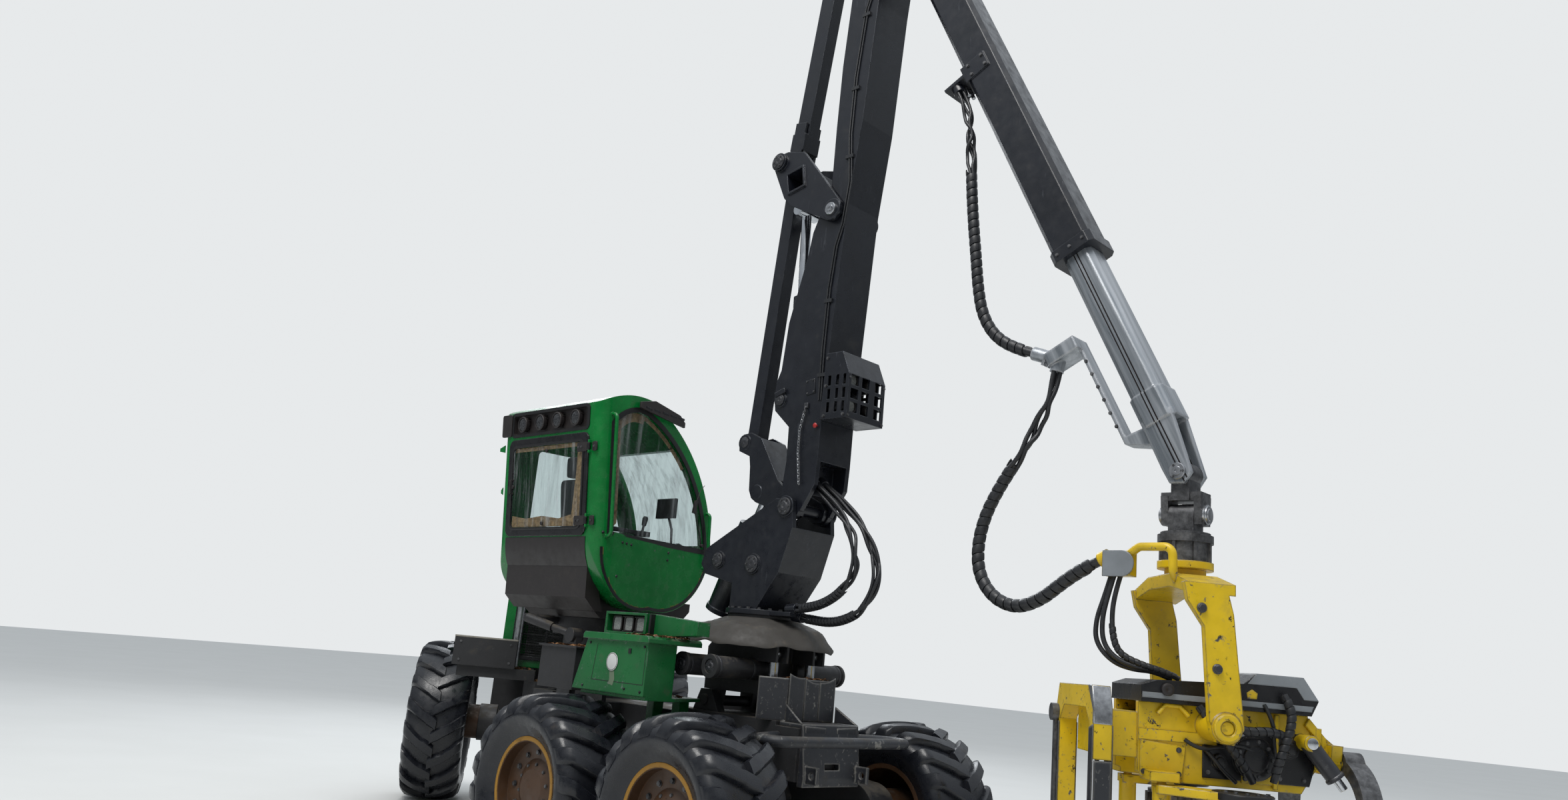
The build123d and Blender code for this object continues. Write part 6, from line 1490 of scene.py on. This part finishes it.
border = [i * (OUTWARDS + 1) for i in range(AROUND + 1)] + [AROUND * (OUTWARDS + 1) + j
    for j in range(1, OUTWARDS + 1)]
border += [i * (OUTWARDS + 1) + OUTWARDS for i in range(AROUND - 1, -1, -1)] + [j for j in range(OUTWARDS - 1, 0, -1)]
loops += [(a, b, b + size, a + size) for a, b in zip(border, border[1:] + border[:1])]
mat.faces(points, loops)
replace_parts(mat.finish("crumpled_mat", mat_rubber, "tilt_base", smooth=60, slot="mat_rubber"), "rubber_mat")

# %% Shield plates
shield = Shape()
for y0, y1, top0, top1 in ((-0.25, -0.085, 1.655, 1.632), (-0.08, 0.075, 1.63, 1.6), (0.08, 0.25, 1.606, 1.646)):
    middle = [(0.7005, y0 + (y1 - y0) * k / 6, top0 + (top1 - top0) * k / 6 - 0.012 * math.sin(math.pi * k / 6))
        for k in range(7)]
    shield.slab([(0.7005, y0, 1.325)] + middle + [(0.7005, y1, 1.325)], (0.008, 0, 0))
for side in (-1, 1):
    shield.slab([(0.9155, side * y, z) for y, z in ((0.06, 1.3), (0.28, 1.31), (0.27, 1.12), (0.17, 1.07),
        (0.06, 1.08))], (0.007, 0, 0))
    shield.slab([(0.69 + x, side * y, z) for x, y, z in ((0.222, 0.296, 1.322), (0.02, 0.262, 1.322),
        (0.02, 0.262, 1.44))], (0, side * 0.01, 0))
shield.finish("shield_plates", guard_steel, "front_frame", 0.003, slot="guard_steel")

# %% Side box: sign, lamps, latch, seams
sign_white = moulded("sign_white", (0.72, 0.73, 0.72), 0.35, 20, 0.35)
(Shape()
    .lathe((-0.33, -1.064, 1.62), (0, -1, 0), [(0, 0.0655), (0.002, 0.0655), (0.003, 0.063), (0.003, 0.0)], 48)
    .finish("blank_sign", sign_white, "front_frame", smooth=35))
(Shape()
    .lathe((-0.33, -1.064, 1.62), (0, -1, 0), [(0.0028, 0.058), (0.0036, 0.058), (0.0036, 0.0615), (0.0028, 0.0615)],
        48, hollow=True)
    .finish("sign_ring", seal_rubber, "front_frame", smooth=35))
(Shape()
    .flat(-1.0603, -0.0008, ((-0.355, 1.55), (-0.3, 1.556), (-0.285, 1.5), (-0.3, 1.452), (-0.35, 1.462),
        (-0.345, 1.5)))
    .finish("old_label", moulded("old_label", (0.16, 0.22, 0.14), 0.6, 20, 0.6), "front_frame"))
seams = Shape()
for x0, z0, x1, z1 in ((-0.56, 1.48, 0.04, 1.48), (-0.56, 1.48, -0.53, 1.74), (0.04, 1.48, 0.04, 1.74)):
    way = Vector((x1 - x0, 0, z1 - z0)).normalized()
    over = way.cross(Vector((0, 1, 0))) * 0.0025
    seams.slab([Vector((x0, -1.0604, z0)) - over, Vector((x1, -1.0604, z1)) - over, Vector((x1, -1.0604, z1)) + over,
        Vector((x0, -1.0604, z0)) + over], (0, -0.0006, 0))
seams.box((-0.155, -1.066, 1.69), (-0.125, -1.059, 1.725))
seams.box((-0.255, -0.821, 1.83), (-0.235, -0.779, 1.99))
seams.finish("box_seams", seal_rubber, "front_frame")
bolt("front_frame", [(x, -1.06, z) for x, z in ((-0.62, 1.745), (0.02, 1.745), (0.02, 1.43), (-0.66, 1.43),
    (-0.16, 1.44))], (0, -1, 0), 0.008, cover_black)
frames_made, panes = Shape(), Shape()
for x in (-0.68, -0.54, -0.4):
    shift = Matrix.Translation((x, -0.775, 1.9075)) @ Matrix.Rotation(math.radians(90), 4, "X")
    put = on(shift)
    band(frames_made, round_box(-0.045, 0.045, -0.047, 0.047, 0.018), round_box(-0.058, 0.058, -0.06, 0.06, 0.022),
        put, -0.06, 0.012)
    sheet_of(panes, round_box(-0.045, 0.045, -0.047, 0.047, 0.018), put, 0.006, 0.0055)
    frames_made.box((x - 0.01, -0.765, 1.83), (x + 0.01, -0.735, 1.85))
frames_made.finish("side_lamp_frames", black_plastic, "front_frame", 0.002, slot="black_plastic")
panes.finish("side_lamp_panes", lens_material, "front_frame", slot="lamp_glass")
print("side box dressed")

# %% Rear frame: grille mesh, bracket, post band
mesh = Shape()
for k in range(36):
    y = -0.425 + 0.85 * k / 35
    mesh.slab([(-0.7585, y - 0.0016, z) for z in (1.575, 2.145)] + [(-0.7585, y + 0.0016, z) for z in (2.145, 1.575)],
        (0.003, 0, 0))
for k in range(24):
    z = 1.575 + 0.57 * k / 23
    mesh.slab([(-0.7575, -0.425, z - 0.0016), (-0.7575, 0.425, z - 0.0016), (-0.7575, 0.425, z + 0.0016),
        (-0.7575, -0.425, z + 0.0016)], (0.003, 0, 0))
for low, high in (((-0.757, -0.47, 1.52), (-0.745, -0.425, 2.2)), ((-0.757, 0.425, 1.52), (-0.745, 0.47, 2.2)),
        ((-0.757, -0.425, 2.16), (-0.745, 0.425, 2.2)), ((-0.757, -0.425, 1.52), (-0.745, 0.425, 1.56))):
    mesh.box(low, high)
mesh.moved(REAR_TURN).finish("grille_mesh", cover_black, "rear_frame")
(Shape()
    .lathe((-0.695, -0.416, 1.445), (0, 0, 1), [(0, 0.0382), (0.6, 0.0382), (0.6, 0.0395), (0, 0.0395)], 32,
        hollow=True)
    .moved(REAR_TURN)
    .finish("post_bare_steel", bright_steel, "rear_frame", smooth=60))
(Shape()
    .box((-0.622, -0.992, 1.69), (-0.448, -0.398, 1.706))
    .moved(REAR_TURN)
    .finish("platform_edge", worn_paint("pale_edge", (0.3, 0.28, 0.24), wear=0.5, dust=0.9), "rear_frame", 0.002))
bolt("rear_frame", [REAR_TURN @ Vector((-0.45, y, z)) for y in (-0.93, -0.46) for z in (1.48, 1.65)],
    REAR_TURN.to_3x3() @ Vector((1, 0, 0)), 0.01)

# %% Roof lamp guard
roof = Shape()
GUARD = [(-0.48, 3.8), (-0.308, 3.845), (0.02, 3.79), (0.093, 3.735), (0.093, 3.69), (-0.48, 3.745)]
roof.slab([right_skin(y, z, 0.03) for y, z in GUARD], right_skin(0, 3, 0.024) - right_skin(0, 3, 0.0))
roof.finish("roof_lamp_guard", black_plastic, "cab", 0.004, slot="black_plastic")
slots_made = Shape()
for k in range(5):
    y = -0.42 + 0.105 * k
    slots_made.slab([right_skin(a, b, 0.0545) for a, b in ((y, 3.775), (y + 0.075, 3.77), (y + 0.075, 3.752),
        (y, 3.757))], right_skin(0, 3, 0.0015) - right_skin(0, 3, 0.0))
slots_made.finish("roof_guard_slots", cover_black, "cab")

# %% [markdown]
# The head. Its frame and cover come from the frame's solids. Added here are the pieces that a
# forester would know it by: saw-box slats, the wrapped hoses that cross the frame, the motors'
# bolted discs, the cover's pale chamfered plate and its grey stripe, a short guard rail, the
# cylinder's chrome rod, and a D-shaped swivel plate on the hose guide above.

# %% Head details
HEAD = Matrix.Translation((3.53, 0, 0)) @ Matrix.Rotation(math.radians(45), 4, "Z")


def made_on_head(shape, name, material, body="head", bevel=0.0, smooth=40, slot=None):
    return shape.moved(HEAD).finish(name, material, body, bevel, smooth=smooth, slot=slot)


HEAD_RIGHT = HEAD.to_3x3() @ Vector((0, -1, 0))
grey_plate = worn_paint("grey_plate", (0.23, 0.25, 0.27), steel=(0.5, 0.5, 0.5), wear=0.6, scratches=0.6, dust=0.3,
    rough=0.35)
made_on_head(Shape().flat(-0.262, 0.524, ((0.25, 1.842), (0.3, 1.902), (0.56, 1.902), (0.642, 1.782), (0.56, 1.782),
    (0.52, 1.842))), "cover_plate", grey_plate, bevel=0.003)
made_on_head(Shape().flat(-0.2602, -0.0012, ((-0.325, 1.722), (0.6, 1.722), (0.612, 1.752), (-0.325, 1.752))),
    "cover_stripe", grey_plate)
made_on_head(Shape().flat(-0.2602, -0.0014, ((0.25, 1.765), (0.3, 1.765), (0.305, 1.795), (0.275, 1.815),
    (0.245, 1.795))), "blank_badge", head_yellow)
bosses = Shape()
for x, z, r in ((-0.19, 1.772, 0.034), (0.18, 1.738, 0.018)):
    bosses.lathe((x, -0.26, z), (0, -1, 0), [(0, r), (0.02, r), (0.024, r * 0.8), (0.024, r * 0.4), (0.016, 0.0)], 24)
made_on_head(bosses, "cover_bosses", black_plastic, smooth=35)

pivot = Shape()
for side in (-1, 1):
    pivot.lathe((0.06, side * 0.453, 1.6), (0, side, 0), [(0, 0.074), (0.01, 0.074), (0.016, 0.066), (0.016, 0.04),
        (0.006, 0.037)], 36, hollow=True)
made_on_head(pivot, "pivot_rings", head_yellow, "tilt_frame", smooth=35, slot="head_yellow")
arm_bolts = [HEAD @ Vector((x, -0.445, z)) for x, z in ((-0.075, 2.215), (0.01, 1.9))]
bolt("tilt_frame", arm_bolts, HEAD_RIGHT, 0.022, dark_steel)

slats = Shape()
for x in (-0.595, -0.545):
    for y in (-0.352, -0.33):
        slats.slab([(x, y, 1.64), (x, y - 0.01, 1.0), (x + 0.016, y - 0.01, 1.0), (x + 0.016, y, 1.64)],
            (0, 0.012, 0))
made_on_head(slats, "saw_box_slats", guard_steel, bevel=0.002)
made_on_head(Shape().slab([(x, y, z) for x, y, z in ((-0.622, -0.378, 1.56), (-0.622, -0.378, 1.64),
    (-0.622, -0.33, 1.762), (-0.622, -0.255, 1.762), (-0.622, -0.27, 1.74), (-0.622, -0.355, 1.63),
    (-0.622, -0.355, 1.56))], (0.104, 0, 0)), "worn_corner", bright_steel, bevel=0.006)
made_on_head(Shape().tube([(-0.23, -0.235, 1.64), (-0.19, -0.235, 1.69), (-0.11, -0.235, 1.69),
    (-0.06, -0.235, 1.64)], 0.013, 10).box((-0.33, -0.222, 1.5), (0.1, -0.214, 1.56)), "head_rail", head_yellow,
    slot="head_yellow")
plates = Shape()
for x0, z0, x1, z1 in ((-0.32, 1.31, -0.09, 1.48), (0.23, 1.32, 0.43, 1.5)):
    plates.slab([(x0, -0.215, z0), (x1, -0.215, z0), (x1 + 0.02, -0.215, z1), (x0, -0.215, z1 + 0.02)], (0, -0.01, 0))
made_on_head(plates, "frame_patches", head_yellow, bevel=0.003, slot="head_yellow")
bolt("head", [HEAD @ Vector((x, -0.225, z)) for x, z in ((-0.3, 1.335), (-0.11, 1.335), (-0.11, 1.46), (0.25, 1.345),
    (0.41, 1.345), (0.41, 1.475))], HEAD_RIGHT, 0.012)

# The flat black plate stands partly for the drive's black parts and partly for painted shade in the frame's recess;
# the turned discs are the motors
drive_with_shade_plate = (Shape()
    .flat(-0.2155, -0.006, ((0.02, 1.33), (0.6, 1.33), (0.63, 1.43), (0.6, 1.6), (0.15, 1.6), (0.02, 1.52))))
for x, z, r in ((0.3, 1.45, 0.115), (0.495, 1.52, 0.05), (0.11, 1.42, 0.04)):
    drive_with_shade_plate.lathe((x, -0.221, z), (0, -1, 0), [(0, r), (0.02, r), (0.024, r * 0.94), (0.024, r * 0.62),
        (0.034, r * 0.56), (0.036, r * 0.2), (0.036, 0.0)], 40)
made_on_head(drive_with_shade_plate, "drive_cover", cover_black, smooth=35, slot="cover_black")
bolt("head", [HEAD @ p for p in ring((0.3, -0.245, 1.45), (0, -1, 0), 0.092, 9)], HEAD_RIGHT, 0.009)
bolt("head", [HEAD @ Vector((x, -0.2215, z)) for x, z in ((0.05, 1.36), (0.57, 1.36), (0.585, 1.57), (0.19, 1.575),
    (0.44, 1.36), (0.4, 1.575))], HEAD_RIGHT, 0.01)
made_on_head(Shape().rod((0.5606, -0.3001, 1.5592), (0.6905, -0.3301, 1.3893), 0.0463,
    32).rod((0.6805, -0.3278, 1.4023), (0.6911, -0.3303, 1.3885), 0.053, 32, 0.002), "knife_cylinder_barrel",
    dark_steel, smooth=35)
ribs = Shape()
for x0, x1, z0, z1 in ((0.398, 0.424, 1.3, 1.69), (0.625, 0.655, 1.42, 1.64)):
    ribs.slab([(x0, -0.2215, z0), (x1, -0.2215, z0), (x1 + 0.012, -0.2215, z1), (x0 + 0.012, -0.2215, z1)],
        (0, -0.014, 0))
ribs.flat(-0.215, -0.02, ((0.6, 1.69), (0.69, 1.59), (0.745, 1.45), (0.715, 1.43), (0.655, 1.57), (0.575, 1.65)))
made_on_head(ribs, "yellow_ribs", head_yellow, bevel=0.003, slot="head_yellow")
made_on_head(Shape().slab([(0.12, -0.26, 1.56), (0.27, -0.26, 1.61), (0.28, -0.26, 1.585), (0.13, -0.26, 1.532)],
    (0, -0.012, 0)), "silver_bracket", bright_steel, bevel=0.002)
legs = Shape()
for x in (-0.6255, -0.5195):
    for side in (-1, 1):
        legs.slab([(x, side * y, z) for y, z in ((0.377, 1.02), (0.377, 1.56), (0.302, 1.54), (0.302, 1.01))],
            (0.0055, 0, 0))
for side in (-1, 1):
    legs.flat(side * 0.3755, side * 0.005, ((-0.618, 1.01), (-0.522, 1.01), (-0.522, 1.375), (-0.618, 1.375)))
made_on_head(legs, "saw_box_guides", guard_steel, bevel=0.002, slot="guard_steel")

for body, side in (("feed_arm_right", -1), ("feed_arm_left", 1)):
    made_on_head(Shape().lathe((0.15, side * 0.43, 1.243), (0, 0, 1), [(0, 0.15), (0.004, 0.155), (0.036, 0.155),
        (0.0405, 0.148), (0.0405, 0.092), (0.038, 0.088), (0.038, 0.0)], 40), "motor_disc_" + body, cover_black, body,
        smooth=35)
    outer = [p for p in ring((0.15, side * 0.43, 1.2835), (0, 0, 1), 0.122, 14) if side * p.y > 0.46]
    bolt(body, [HEAD @ p for p in outer], (0, 0, 1), 0.011)

wraps = Shape()
for points in (((-0.02, -0.275, 1.7), (0.02, -0.3, 1.64), (0.09, -0.31, 1.56), (0.15, -0.32, 1.48),
        (0.215, -0.315, 1.4), (0.26, -0.3, 1.33)), ((0.44, -0.285, 1.8), (0.47, -0.315, 1.72), (0.455, -0.325, 1.62),
        (0.42, -0.325, 1.52), (0.385, -0.32, 1.43), (0.37, -0.3, 1.34)), ((0.15, -0.3, 1.6), (0.23, -0.31, 1.59),
        (0.31, -0.32, 1.6), (0.38, -0.31, 1.6), (0.44, -0.3, 1.58))):
    line = smooth_route(points)
    strands(wraps, line, ((0, 0),), 0.019)
    guard(wraps, line, 0.0235, 0.04, 0.97, 0.04, 0.006)
made_on_head(wraps, "head_wrapped_hoses", hose_rubber, smooth=45, slot="rubber")
small = Shape()
for points in (((0.02, -0.228, 1.49), (0.06, -0.262, 1.44), (0.12, -0.27, 1.37), (0.19, -0.25, 1.32)),
        ((-0.08, -0.228, 1.52), (-0.02, -0.255, 1.47), (0.11, -0.258, 1.5), (0.23, -0.245, 1.52),
        (0.33, -0.245, 1.47)), ((0.34, -0.262, 1.74), (0.38, -0.29, 1.65), (0.39, -0.262, 1.56),
        (0.41, -0.235, 1.47))):
    strands(small, smooth_route(points), ((0, 0),), 0.011)
made_on_head(small, "head_hoses", hose_rubber, smooth=60, slot="rubber")
made_on_head(Shape().rod((0.691, -0.3302, 1.3887), (0.7275, -0.3369, 1.3407), 0.0226, 24).lathe((0.56, -0.346, 1.56),
    (0, -1, 0), [(0, 0.03), (0.008, 0.03), (0.01, 0.024), (0.01, 0.0)], 24), "knife_cylinder_rod", chrome, smooth=40,
    slot="chrome")
loop = Shape()
for k, (dx, dy) in enumerate(((0, 0), (0.034, 0.012), (-0.03, 0.02))):
    route = smooth_route([(3.235 + dx, -0.285 + dy, 2.39), (3.205 + dx, -0.3 + dy, 2.27),
        (3.18 + 1.6 * dx, -0.315 + dy, 2.13), (3.195 + 1.9 * dx, -0.325 + dy, 2.0),
        (3.27 + dx, -0.31 + dy, 1.915 + 0.6 * dx), (3.38 + dx, -0.27 + dy, 1.878 + 0.4 * dx),
        (3.47 + dx, -0.215 + 1.5 * dy, 1.868), (3.535 + dx, -0.165 + 1.5 * dy, 1.835)])
    strands(loop, route, ((0, 0),), 0.0145)
    if k == 1:
        guard(loop, route, 0.0185, 0.3, 0.98, 0.034, 0.005)
swivel_hoses = loop.finish("swivel_hoses", hose_rubber, None, smooth=60)
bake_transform(swivel_hoses)
swivel = Shape()
outline = [(3.18, 2.38), (3.3, 2.38)] + [(3.3 + 0.075 * math.cos(a), 2.455 + 0.075 * math.sin(a))
    for a in (math.radians(-90 + 15 * k) for k in range(1, 12))] + [(3.3, 2.53), (3.18, 2.53)]
swivel.slab([(x, -0.3205, z) for x, z in outline], (0, -0.008, 0))
swivel.finish("swivel_plate", grey_plate, "tilt_frame", 0.002)
print("head dressed")

# %% Make the bolts
print("bolt meshes", make_bolts())

# %% Overall size
low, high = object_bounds()
